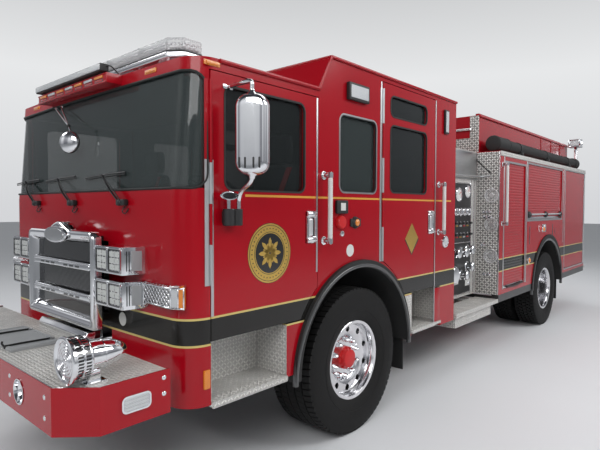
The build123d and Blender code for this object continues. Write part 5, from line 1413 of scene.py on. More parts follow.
        clear.piece("brow_clear_lamps", finish.clear_lens)
        front, depth = form.behind(-0.072), 0.058
        z0 = roof + 0.008
        dark.box((-0.492, front + 0.006, z0), (0.492, front + depth, z0 + 0.046), 0.005, 3)
        for i in range(5):
            z = z0 + 0.006 + 0.0085 * i
            dark.box((-0.494, front + 0.022, z), (0.494, front + depth + 0.004, z + 0.003), 0.001)
        for x in (-0.432, 0.0, 0.432):
            dark.box((x - 0.018, brow + 0.004, roof - 0.004), (x + 0.018, front + depth - 0.006, z0 + 0.004), 0.003)
        for sign in (1, -1):
            dark.tube([(sign * 0.490, front + 0.045, z0 + 0.03), (sign * 0.512, front + 0.060, z0 + 0.036),
                       (sign * 0.520, front + 0.090, z0 + 0.010), (sign * 0.500, front + 0.125, roof)],
                      0.004, 8, smooth=2)
        dark.piece("roof_lamp_cases", finish.black)
        lens = Maker()
        lens.box((-0.486, front, z0 + 0.006), (0.486, front + 0.010, z0 + 0.041), 0.004, 3)
        lens.piece("brow_lamp_lens", finish.blue_lens)
        for x in (-0.83, 0.83):
            y = form.face(x, 2.535)
            amber.box((x - 0.046, y - 0.012, 2.524), (x + 0.046, y + 0.004, 2.542), 0.008, 3)
            amber.box((x - 0.058, y - 0.005, 2.520), (x + 0.058, y + 0.004, 2.546), 0.004, 3)
        amber.piece("clearance_lamps", finish.amber)

    def inside(self, finish: Finish) -> None:
        """Trim the cabin: seats on their bases with belts, the dashboard, the floor and the steering wheel."""
        dress(["dashboard", "cab_floor"], finish.cabin)
        dress(["steering_wheel"], finish.black)
        pads, belts, frames = Maker(), Maker(), Maker()
        for _, sign in SIDES:
            for place in self.seats:
                x, y = sign * self.seat_out, self.form.behind(place)
                pads.cushion((x - 0.23, y - 0.225, 1.345), (x + 0.23, y + 0.20, 1.455))
                pads.cushion((x - 0.235, y + 0.150, 1.42), (x + 0.235, y + 0.255, 2.065))
                pads.cushion((x - 0.125, y + 0.160, 2.06), (x + 0.125, y + 0.250, 2.275))
                belts.slab([(x + 0.14, y + 0.145, 2.03), (x + 0.19, y + 0.145, 2.03),
                            (x - 0.10, y + 0.148, 1.46), (x - 0.15, y + 0.148, 1.46)], (0, 0.006, 0))
                rear = min(y + 0.20, self.form.behind(0.8545)) if place < 1 else y + 0.20
                frames.box((x - 0.15, y - 0.22, 1.0203), (x + 0.15, rear, 1.345), 0.02)
                frames.box((x - 0.20, y - 0.20, 1.32), (x + 0.20, y + 0.19, 1.352), 0.01)
        cushions = pads.piece("seat_pads", finish.cloth, sharp=60, stands_for=["cab_seats"])
        frames.piece("seat_bases", finish.cabin)
        belts.piece("seat_belts", finish.belt)


@dataclass
class Front:
    """Grille, headlamps, mirrors, bumper, siren and horns."""

    form: CabForm = field(default_factory=CabForm)
    half: float = 0.5
    bottom: float = 0.985
    top: float = 1.590
    crown: float = 1.648
    reach: float = 0.135
    bars: tuple[float, ...] = (1.183, 1.376)
    tiers: tuple[float, ...] = (1.158, 1.356)
    tier_height: float = 0.158
    lamp_span: tuple[float, float] = (0.518, 0.829)
    lamp_reach: float = 0.120
    deck: float = 0.9
    bumper_reach: float = 0.617
    cut: float = 0.158
    horn: tuple[float, float] = (0.68, 0.797)

    def build(self, finish: Finish) -> None:
        """Build and dress the front."""
        for step in (self.grille, self.headlamps, self.turn_lamps, self.bumper_parts, self.hatch, self.siren,
                     self.mirrors, self.convex_mirror):
            step(finish)

    def grille(self, finish: Finish) -> None:
        """Form the rounded surround, its cross bars, the blank badge and the black screens."""
        maker = Maker()
        face = self.form.behind(-self.reach)

        def front_outline(inset: float, y: float, corner: float) -> list[Point]:
            """Outline of the surround with its crown."""
            half, low, high = self.half - inset, self.bottom + inset, self.top - inset
            points = []
            for i in range(9):
                t = math.pi / 2 * i / 8
                points.append((half - corner + corner * math.cos(t), y, high - corner + corner * math.sin(t)))
            for i in range(17):
                x = 0.205 - 0.41 * i / 16
                lift = (self.crown - self.top) * (0.5 + 0.5 * math.cos(math.pi * x / 0.205)) if inset < 0.03 else 0.0
                points.append((x, y, high + lift))
            for i in range(9):
                t = math.pi / 2 * (1 + i / 8)
                points.append((corner - half + corner * math.cos(t), y, high - corner + corner * math.sin(t)))
            for sign in (-1, 1):
                for i in range(5):
                    t = math.pi / 2 * (i / 4 + (2 if sign < 0 else 3))
                    points.append((sign * (half - 0.02) + 0.02 * math.cos(t), y, low + 0.02 + 0.02 * math.sin(t)))
            return points

        maker.loft([front_outline(inset, face + back, corner) for inset, back, corner in (
            (0.0, 0.060, 0.05), (0.0, 0.022, 0.05), (0.003, 0.010, 0.048), (0.011, 0.002, 0.042), (0.022, 0.0, 0.036),
            (0.034, 0.003, 0.028), (0.040, 0.010, 0.024), (0.048, 0.011, 0.020), (0.054, 0.016, 0.018),
            (0.072, 0.050, 0.014), (0.072, 0.060, 0.014))])
        for z in self.bars:
            for _ in mirrored(maker):
                maker.box((-0.002, face + 0.012, z - 0.030), (0.430, face + 0.040, z + 0.004), 0.008, 3)
                maker.box((-0.002, face + 0.016, z + 0.002), (0.430, face + 0.034, z + 0.016), 0.006, 3)
        maker.piece("grille_surround", finish.chrome, sharp=50, stands_for=["grille"])
        self.crown_badge(finish, face)
        back = Maker()
        levels = (self.bottom + 0.058, *self.bars, self.top - 0.058)
        for low, high in zip(levels, levels[1:]):
            for i in range(22):
                z = low + 0.016 + (high - low - 0.034) * i / 21
                back.box((-0.436, face + 0.052, z - 0.0022), (0.436, face + 0.060, z + 0.0022))
        back.box((-0.44, face + 0.0605, self.bottom + 0.05), (0.44, face + 0.070, self.top - 0.05))
        back.box((-0.38, face + 0.066, self.bottom + 0.03), (0.38, self.form.front - GAP, self.top - 0.03))
        back.piece("grille_slats", finish.gloss_black, stands_for=["grille_screen"])
        slots = Maker()
        for z in self.bars:
            for sign in (-1, 1):
                for i in range(3):
                    x = sign * (0.10 + 0.085 * i)
                    corners = ((-0.03, 0.019), (0.024, 0.019), (0.030, 0.007), (-0.024, 0.007))
                    slots.slab([(x + across, face + 0.0122, z - drop) for across, drop in corners], (0, -0.0012, 0))
        slots.piece("grille_bar_slots", finish.gloss_black)
        apron = Maker()
        foot = self.form.front - GAP
        profile = ((0.0, self.deck + GAP), (0.0, self.bottom - 0.028), (0.100, self.bottom - 0.034),
                   (0.122, self.deck + 0.022), (0.118, self.deck + GAP))
        apron.slab([(-0.36, foot - ahead, z) for ahead, z in profile], (0.72, 0, 0), 0.008, 3)
        apron.piece("grille_apron", finish.chrome, slot=Slot.POLISHED_ALUMINIUM)

    def crown_badge(self, finish: Finish, face: float) -> None:
        """Set a blank oval badge and a raised hood on the crown."""
        badge, rim = Maker(), Maker()
        rim.oval((0.0, face + 0.004, 1.560), (0.172, 0.055), ((0, 1.0), (-0.014, 1.0), (-0.020, 0.95), (-0.021, 0.90)))
        rim.dome((0.045, face + 0.052, self.top + 0.020), UPWARD, 0.050, 0.036, 28)
        rim.piece("badge_rim", finish.chrome)
        badge.oval((0.0, face - 0.0165, 1.560), (0.146, 0.042), ((0, 1.0), (-0.0055, 0.98), (-0.0075, 0.6),
                                                                 (-0.008, 0.2)))
        badge.piece("badge_field", finish.satin)

    def headlamps(self, finish: Finish) -> None:
        """Build the chrome lamp housings, their bezels, emitters and side grilles."""
        shell, bowl, cell, dark, grey = (Maker() for _ in range(5))
        front = self.form.behind(-self.lamp_reach)
        x0, x1 = self.lamp_span
        for _ in mirrored(shell, bowl, cell, dark, grey):
            for low in self.tiers:
                high = low + self.tier_height
                corner = [(x1 - 0.012 + 0.012 * math.sin(t), front + 0.012 - 0.012 * math.cos(t))
                          for t in (math.pi / 2 * i / 6 for i in range(7))]
                outline = [*corner, (x1 + 0.022, self.form.front + 0.012), (x0, self.form.front - GAP), (x0, front)]
                shell.slab([(x, y, low) for x, y in outline], (0, 0, high - low), 0.007, 3)
                for index in range(2):
                    cx = x0 + 0.002 + 0.150 * (index + 0.5)

                    def facing(a: float, b: float) -> Point:
                        """Point on the lamp's face."""
                        return cx + a, front + 0.0008, b

                    frames = [rounded((-0.074 + g, 0.074 - g), (low + 0.007 + g, high - 0.007 - g), 0.016 - g, 4,
                                      facing) for g in (0.0, 0.006, 0.013)]
                    shell.ring(frames[0], frames[1], (0, -0.008, 0))
                    dark.ring(frames[1], frames[2], (0, -0.006, 0))
                    bowl.slab(frames[2], (0, -0.002, 0))
                    for column in (-1, 1):
                        for row in (-1, 0, 1):
                            u, w = cx + 0.0290 * column, (low + high) / 2 + 0.0375 * row
                            cell.box((u - 0.0255, front - 0.0045, w - 0.0160), (u + 0.0255, front, w + 0.0160), 0.005,
                                     3)

                def strip(start: float, end: float, proud: float) -> list[Point]:
                    """Outline of an upright strip on the lamp's slanted side."""
                    return [(x1 + 0.022 * (back - 0.012) / 0.120 + out, front + back, low + 0.022)
                            for back, out in ((start, -0.002), (start, proud), (end, proud), (end, -0.002))]

                tall = (0, 0, high - low - 0.044)
                for back in (0.026, 0.040):
                    dark.slab(strip(back - 0.003, back + 0.003, 0.0008), tall)
                grey.slab(strip(0.052, 0.112, 0.004), tall, 0.004, 3)
        shell.piece("headlamp_housings", finish.chrome, sharp=40, stands_for=["headlamps"])
        bowl.piece("headlamp_bowls", finish.reflector)
        cell.piece("headlamp_emitters", finish.lamp_lens)
        dark.piece("headlamp_bezels", finish.gloss_black)
        grey.piece("headlamp_side_pads", finish.grey)

    def turn_lamps(self, finish: Finish) -> None:
        """Sweep the faceted turn lamps from the headlamps round the cab's corners, with a clear and an amber end."""
        form = self.form
        flat = form.half - form.corner
        centre_y = form.face(flat, self.tiers[0]) + form.corner
        run = flat - self.lamp_span[1]
        arc = (form.corner + 0.04) * math.radians(41)
        middle_z = self.tiers[0] + self.tier_height / 2

        def ease(t: float, ends: tuple[float, float]) -> float:
            """Smooth step from one value to another."""
            t = max(0.0, min(1.0, t))
            return ends[0] + (ends[1] - ends[0]) * t * t * (3 - 2 * t)

        def section(share: float, sign: int, grow: float) -> list[Point]:
            """Upright section of the lamp at a share of its length, shrunk or grown off its surface."""
            along = share * (run + arc)
            proud = ease(share, (0.026, 0.050)) + grow
            half = ease(share / 0.25, (0.078, 0.056)) + 0.004 * share + grow
            lift = ease(share / 0.25, (0.0, 0.018))
            if along < run:
                x, out = self.lamp_span[1] + along, Vector((0, -1))
                base = Vector((x, form.face(x, middle_z)))
            else:
                turn = (along - run) / arc * math.radians(41)
                out = Vector((math.sin(turn), -math.cos(turn)))
                base = Vector((flat, centre_y)) + out * form.corner
            points = []
            for reach, rise in ((0.0008, -half - 0.004), (proud - 0.006, -half), (proud, 0.006 - half),
                                (proud, half - 0.006), (proud - 0.006, half), (0.0008, half + 0.004)):
                spot = base + out * reach
                points.append((sign * spot.x, spot.y, middle_z + lift + rise))
            return points

        def stretch(maker: Maker, sign: int, span: tuple[float, float], grow: float, steps: int) -> None:
            """Skin and cap the lamp between two shares of its length."""
            rows = [section(span[0] + (span[1] - span[0]) * i / steps, sign, grow) for i in range(steps + 1)]
            maker.loft(rows, closed=False)
            maker.cap(rows[0])
            maker.cap(rows[-1])
            maker.weld()

        for side, sign in SIDES:
            for name, span, grow, steps, paint, slot in (
                    ("turn_lamp_shells", (0.0, 0.12), 0.0, 5, finish.chrome, Slot.CHROME),
                    ("turn_lamp_reflectors", (0.12, 0.80), -0.003, 20, finish.reflector, Slot.CHROME),
                    ("turn_lamp_lenses", (0.815, 0.915), -0.002, 5, finish.clear_lens, Slot.LAMP_LENS),
                    ("turn_lamp_ends", (0.93, 0.995), -0.001, 4, finish.amber, Slot.LAMP_LENS)):
                maker = Maker()
                stretch(maker, sign, span, grow, steps)
                maker.piece(f"{name}_{side}", paint, sharp=40, slot=slot)
            rim = Maker()
            for edge in (2, 3):
                rim.tube([section(0.10 + 0.90 * i / 24, sign, 0.0)[edge] for i in range(25)], 0.0055, 8)
            for share in (0.11, 0.808, 0.922, 0.998):
                rim.tube([section(share, sign, 0.0)[k] for k in range(6)], 0.0045, 8)
            rim.piece(f"turn_lamp_rims_{side}", finish.chrome, sharp=60)

    def outline(self, inset: float) -> list[tuple[float, float]]:
        """Plan of the bumper's front, from the right rear to the left rear."""
        half = self.form.half - inset
        front = self.form.front - self.bumper_reach + inset
        cut = self.cut - inset * 0.414
        rear = self.form.front - 0.082
        return [(-half, rear), (-half, front + cut), (-half + cut, front), (half - cut, front),
                (half, front + cut), (half, rear)]

    def bumper_parts(self, finish: Finish) -> None:
        """Round the bumper's folds, bolt it, line its horn holes and set its side lamps."""
        blank = Maker()
        x, z = 0.60, 1.058
        blank.lathe((x, self.form.face(x, z) - 0.0002, z), AHEAD, [(0, 0.042), (0.0008, 0.042)], 40)
        blank.piece("front_blank_disc", finish.white, slot=Slot.GREY_PLASTIC)
        face = self.form.front - self.bumper_reach
        maker = Maker()
        maker.node("front_bumper")
        for vert in maker.mesh.verts:
            if vert.co.y < face + 0.0005:
                vert.co.y += 0.0045
        maker.piece("bumper_skin", finish.paint, round_edges=0.004, stands_for=["front_bumper"])
        bright, lamp, hole = Maker(), Maker(), Maker()
        for _ in mirrored(bright, lamp, hole):
            for x in (1.0, 0.55):
                for z in (0.85, 0.75):
                    bright.dome((x, face + 0.0048, z), AHEAD, 0.0130, 0.0045, 16)
            for z in (0.872, 0.790):
                bright.dome((self.form.half, self.form.behind(-0.118), z), OUTWARD, 0.0135, 0.007, 16)
            bright.lathe((self.horn[0], face + 0.002, self.horn[1]), AHEAD,
                         [(0, 0.061), (0.0, 0.066), (0.0018, 0.066), (0.002, 0.060), (-0.020, 0.055)], 48, caps=False)
            hole.lathe((self.horn[0], face + 0.018, self.horn[1]), BACKWARD,
                       [(0, 0.056), (0.02, 0.046), (0.06, 0.032), (0.16, 0.020), (0.16, 0.0)], 36, caps=False)
            y0, y1 = self.form.front - 0.355, self.form.front - 0.198

            def side_turn(a: float, b: float) -> Point:
                """Point on the bumper's side."""
                return self.form.half, a, b

            rim = [rounded((y0 + s, y1 - s), (0.751 + s, 0.835 - s), 0.026 - s, 6, side_turn) for s in (0.0, 0.009)]
            bright.ring(rim[0], rim[1], (0.012, 0, 0))
            lamp.slab(rim[1], (0.009, 0, 0))
            for i in range(4):
                z = 0.7665 + 0.0178 * i
                lamp.box((self.form.half + 0.004, y0 + 0.014, z - 0.0065),
                         (self.form.half + 0.0125, y1 - 0.014, z + 0.0065), 0.004, 3)
        bright.piece("bumper_brightwork", finish.chrome)
        lamp.piece("bumper_side_lamps", finish.clear_lens)
        hole.piece("horn_mouths", finish.chrome)
        dress(["bumper_deck"], finish.fine_plate)
        edge = Maker()
        plan = self.outline(0.016)
        edge.tube([(x, y, self.deck + 0.003) for x, y in plan], 0.006, 8)
        edge.piece("deck_edge", finish.polished)

    def hatch(self, finish: Finish) -> None:
        """Cover the deck's tray with a grey lid held by two straps."""
        body = "bumper_hatch_body"
        dress(["bumper_hatch"], finish.grey)
        lid, strap, clip = Maker(), Maker(), Maker()
        y0, y1 = self.form.behind(-0.520), self.form.behind(-0.235)
        top = self.deck + 0.016
        lid.ring(rounded((-0.281, 0.281), (y0 + 0.004, y1 - 0.004), 0.03, 4, lambda a, b: (a, b, top)),
                 rounded((-0.262, 0.262), (y0 + 0.022, y1 - 0.022), 0.02, 4, lambda a, b: (a, b, top)), (0, 0, 0.003))
        lid.piece("hatch_rim", finish.grey, body)
        for x in (-0.16, 0.19):
            strap.tube([(x, y0 + 0.002, top + 0.004), (x + 0.004, y0 + 0.08, top + 0.006),
                        (x + 0.01, y0 + 0.17, top + 0.006), (x + 0.014, y1 - 0.02, top + 0.005)], 0.009, 10, 0.5,
                       smooth=1)
            strap.box((x - 0.012, y0 - 0.004, top - 0.012), (x + 0.012, y0 + 0.016, top + 0.007), 0.004)
            strap.tube([(x - 0.01, y0 - 0.002, top + 0.004), (x - 0.025, y0 - 0.008, top + 0.016),
                        (x - 0.03, y0 - 0.002, top + 0.026)], 0.006, 8, smooth=1)
            clip.box((x, y1 - 0.035, top + 0.001), (x + 0.03, y1 - 0.008, top + 0.010), 0.002)
        strap.piece("hatch_straps", finish.rubber, body)
        clip.piece("hatch_clips", finish.steel, body)

    def siren(self, finish: Finish) -> None:
        """Turn the siren: ringed face, two rows of slots and a bullet tail on a pedestal."""
        maker, dark, ring = Maker(), Maker(), Maker()
        x, z, r = 1.090, self.deck + 0.126, 0.114
        face, length = self.form.behind(-0.561), 0.315
        shape = [(0.010, 0.0), (0.010, 0.086), (0.004, 0.090), (0.0, 0.098), (0.0, 0.108), (0.005, r), (0.014, r),
                 (0.018, 0.108), (0.094, 0.108), (0.099, 0.104)]
        tail = ((0.33, 0.74), (0.38, 0.70), (0.48, 0.67), (0.58, 0.635), (0.66, 0.60), (0.74, 0.55), (0.82, 0.48),
                (0.88, 0.41), (0.93, 0.33), (0.97, 0.23), (0.99, 0.14), (1.0, 0.0))
        maker.lathe((x, face, z), BACKWARD, shape + [(a * length, b * r) for a, b in tail], 72)
        for place in (0.056, 0.090):
            maker.lathe((x, face + place, z), BACKWARD, [(0, 0.106), (0.001, 0.1095), (0.004, 0.1095), (0.005, 0.106)],
                        72)
        maker.lathe((x, face + 0.55 * length, z), BACKWARD, [(0, 0.070), (0.001, 0.0745), (0.005, 0.0745),
                                                             (0.006, 0.070)], 60)
        maker.box((x - 0.030, face + 0.10, self.deck + GAP), (x + 0.030, face + 0.17, z - 0.050), 0.008, 3)
        maker.box((x - 0.050, face + 0.08, self.deck + GAP), (x + 0.050, face + 0.19, self.deck + 0.008), 0.003)
        maker.piece("siren_body", finish.chrome, sharp=40, stands_for=["siren_and_horns"])
        ring.lathe((x, face + 0.0102, z), AHEAD, [(0, 0.085), (0.0014, 0.085), (0.0014, 0.0)], 64)
        for radius in (0.082, 0.066, 0.050, 0.034):
            ring.lathe((x, face + 0.0105, z), AHEAD, [(0, radius), (0.0035, radius), (0.0045, radius - 0.0015),
                                                      (0.0035, radius - 0.003), (0.0, radius - 0.003)], 64)
        ring.dome((x, face + 0.0092, z), AHEAD, 0.016, 0.007)
        ring.piece("siren_face_rings", finish.polished)
        for row in (0.037, 0.073):
            for t in turns(44):
                out = Vector((math.cos(t), 0, math.sin(t)))
                tangent = Vector((-math.sin(t), 0, math.cos(t)))
                spot = Vector((x, face + row, z)) + out * 0.1078
                corners = [spot + tangent * a * 0.0048 + Vector((0, b * 0.013 + a * 0.002, 0))
                           for a, b in ((-1, -1), (1, -1), (1, 1), (-1, 1))]
                dark.slab(corners, out * 0.0006)
        dark.piece("siren_slots", finish.gloss_black)
        face_y = self.form.front - self.bumper_reach
        horn = Maker()
        for _ in mirrored(horn):
            horn.lathe((self.horn[0], face_y + 0.030, self.horn[1]), BACKWARD,
                       [(0, 0.058), (0.03, 0.050), (0.10, 0.034), (0.27, 0.022), (0.27, 0.0)], 36)
            horn.box((0.4373, face_y + 0.182, 0.777), (0.68, face_y + 0.202, 0.817), 0.003)
        horn.piece("air_horns", finish.chrome)

    def mirrors(self, finish: Finish) -> None:
        """Hang bright capsule mirrors on bent arms over a pair of posts with an oval plate."""
        form = self.form
        head, glass, dark, arm, plate = (Maker() for _ in range(5))
        for side in mirrored(head, glass, dark, arm, plate):
            body = f"front_door_body_{side}"
            x, z, height, width, depth = 1.42, 2.14, 0.44, 0.185, 0.084
            mid = form.behind(0.28) + depth / 2
            cosine, sine = math.cos(math.radians(30)), math.sin(math.radians(30))

            def turned(u: float, along: float, up: float) -> Point:
                """Point of the head, turned so that its back faces ahead and outward."""
                back = along - depth / 2
                return x + u * cosine - back * sine, mid + u * sine + back * cosine, up

            def ring_at(along: float, scale: float) -> list[Point]:
                """Rounded outline of the head at a depth."""
                a, b = width / 2 * scale, height / 2 - (1 - scale) * 0.09
                return rounded((-a, a), (-b, b), 0.068 * scale, 8, lambda u, w: turned(u, along, z + w))

            rows = [ring_at(*stage) for stage in ((depth - 0.004, 0.90), (depth, 0.94), (depth - 0.004, 0.985),
                                                  (depth - 0.024, 1.0), (depth - 0.026, 0.990), (depth - 0.030, 0.990),
                                                  (depth - 0.032, 1.0), (0.045, 0.995), (0.026, 0.965), (0.012, 0.90),
                                                  (0.004, 0.80), (0.0008, 0.64), (0.0, 0.40))]
            head.loft(rows, closed=False)
            head.cap(rows[-1])
            head.weld()
            head.piece(f"mirror_shell_{side}", finish.chrome, body, sharp=50, stands_for=[f"mirror_{side}"])
            inward = (sine * 0.003, -cosine * 0.003, 0)
            glass.slab(ring_at(depth - 0.006, 0.885), inward)
            glass.piece(f"mirror_glass_{side}", finish.chrome, body)
            dark.slab(ring_at(depth - 0.005, 0.91), [2 * c for c in inward])
            for u in (-0.059, -0.026, 0.021, 0.054):
                dark.slab(rounded((u - 0.0055, u + 0.0055), (1.955, 2.015), 0.005, 4, lambda a, b: turned(a, 0.006, b)),
                          [2.2 * c for c in inward], 0.0008)
            root = form.behind(0.305)
            out = form.half
            for shift in (-0.030, 0.030):
                dark.lathe((out + 0.044, root + shift, 1.64), UPWARD,
                           [(0, 0.030), (0.004, 0.034), (0.091, 0.034), (0.095, 0.030), (0.095, 0.012)], 28)
            dark.box((out + GAP, root - 0.045, 1.655), (out + 0.044, root + 0.045, 1.72), 0.006, 3)
            dark.piece(f"mirror_box_{side}", finish.black, body)
            arm.box((out + GAP, root - 0.035, 2.408), (out + 0.008, root + 0.035, 2.434), 0.003, 3)
            arm.bar((out + 0.006, root, 2.421), (out + 0.030, root, 2.421), 0.016, 0.0135, 20, 0.003)
            arm.tube([(out + 0.01, root, 2.421), (1.36, root + 0.004, 2.428), (x, mid, 2.432),
                      (x, mid, 2.395), (x, mid, z + height / 2 - 0.02)], 0.0125, 14, smooth=3)
            for way in (1, -1):
                arm.lathe((x, mid, z + way * (height / 2 - 0.012)), (0, 0, way),
                          [(0, 0.034), (0.010, 0.030), (0.020, 0.018), (0.034, 0.016)], 24)
            foot = (out + 0.060, root + 0.030)
            arm.tube([(*foot, 1.733), (*foot, 1.80), (out + 0.10, root + 0.025, 1.845), (x, mid, 1.885),
                      (x, mid, z - height / 2 + 0.02)], 0.0125, 14, smooth=2)
            near = (out + 0.044, root - 0.030)
            arm.bar((*near, 1.733), (*near, 1.80), 0.012, steps=16)
            arm.piece(f"mirror_arms_{side}", finish.chrome, body, sharp=60)
            spot = (out + 0.050, root - 0.030, 1.808)
            plate.oval(spot, (0.064, 0.025), ((0, 1.0), (-0.004, 1.0), (-0.007, 0.93), (-0.0075, 0.80)), True)
            plate.piece(f"mirror_plate_{side}", finish.chrome, body)
            plate.oval(spot, (0.052, 0.018), ((-0.0070, 1.0), (-0.0082, 0.98), (-0.0085, 0.5)), True)
            plate.piece(f"mirror_plate_field_{side}", finish.gloss_black, body)

    def convex_mirror(self, finish: Finish) -> None:
        """Hang the bright bowl with its black rim and the mirror in its back on two thin arms."""
        form = self.form
        bowl, rim, arm = Maker(), Maker(), Maker()
        x, y, z, r = 0.038, form.behind(-0.060), 2.178, 0.076
        arc = [math.radians(a) for a in (0, 12, 24, 36, 48, 60, 72, 84, 90)]
        turn, across = (0.5, -0.866, 0.0), (0.866, 0.5)

        def behind(step: float) -> Point:
            """Point on the bowl's axis."""
            return x - turn[0] * step, y - turn[1] * step, z

        bowl.lathe(behind(0.004), turn, [(0.0, 0.060), *((0.030 * math.sin(t), 0.072 * math.cos(t)) for t in arc[:-1]),
                                                  (0.030, 0.0)], 56)
        bowl.lathe(behind(0.008), (-turn[0], -turn[1], 0), [(0.0, 0.066), (0.004, 0.060), (0.008, 0.040),
                                                            (0.0095, 0.0)], 56)
        bowl.piece("crossview_bowl", finish.chrome, sharp=60, stands_for=["crossview_mirror"], slot=Slot.BLACK_PLASTIC)
        hub, reach = behind(0.006), r - 0.006
        rim.tube([(hub[0] + reach * across[0] * math.cos(t), hub[1] + reach * across[1] * math.cos(t),
                   z + reach * math.sin(t)) for t in turns(56)], 0.006, 8, closed=True)
        clamp = (x - 0.035, y + 0.012, z + r + 0.036)
        rim.box(tuple(c - 0.010 for c in clamp), tuple(c + 0.010 for c in clamp), 0.004)
        rim.piece("crossview_rim", finish.rubber, sharp=60)
        for foot in (-0.43, -0.33):
            at = (foot, form.face(foot, 2.479) - 0.010, 2.479)
            arm.tube([at, clamp], 0.0045, 10)
            arm.dome((at[0], at[1] + 0.008, at[2]), AHEAD, 0.014, 0.008, 16)
        arm.tube([clamp, (x - 0.004, y + 0.012, z + r - 0.004)], 0.0055, 10)
        arm.piece("crossview_arms", finish.chrome, sharp=60)


@dataclass(frozen=True)
class Axle:
    """Measures of one axle's wheels; each wheel has a place along the axle and its disc's place in the rim."""

    name: str
    place: Point
    width: float
    radius: float
    wheels: tuple[tuple[float, float], ...]
    half_rim: float
    hub_reach: float
    hub_radius: float
    hub_finish: str
    nut_sides: int
    tyre_node: str
    wheel_node: str
    lugged: bool


AXLES = (
    Axle("front", FRONT_AXLE, 0.400, 0.562, ((0.0, 0.095),), 0.1555, 0.062, 0.088, "red_plug", 12,
         "front_tyre", "front_wheel", False),
    Axle("rear", REAR_AXLE, 0.290, 0.5425, ((0.0, -0.060), (-0.335, 0.104)), 0.1145, 0.130, 0.102, "iron", 6,
         "rear_tyres", "rear_wheels", True))


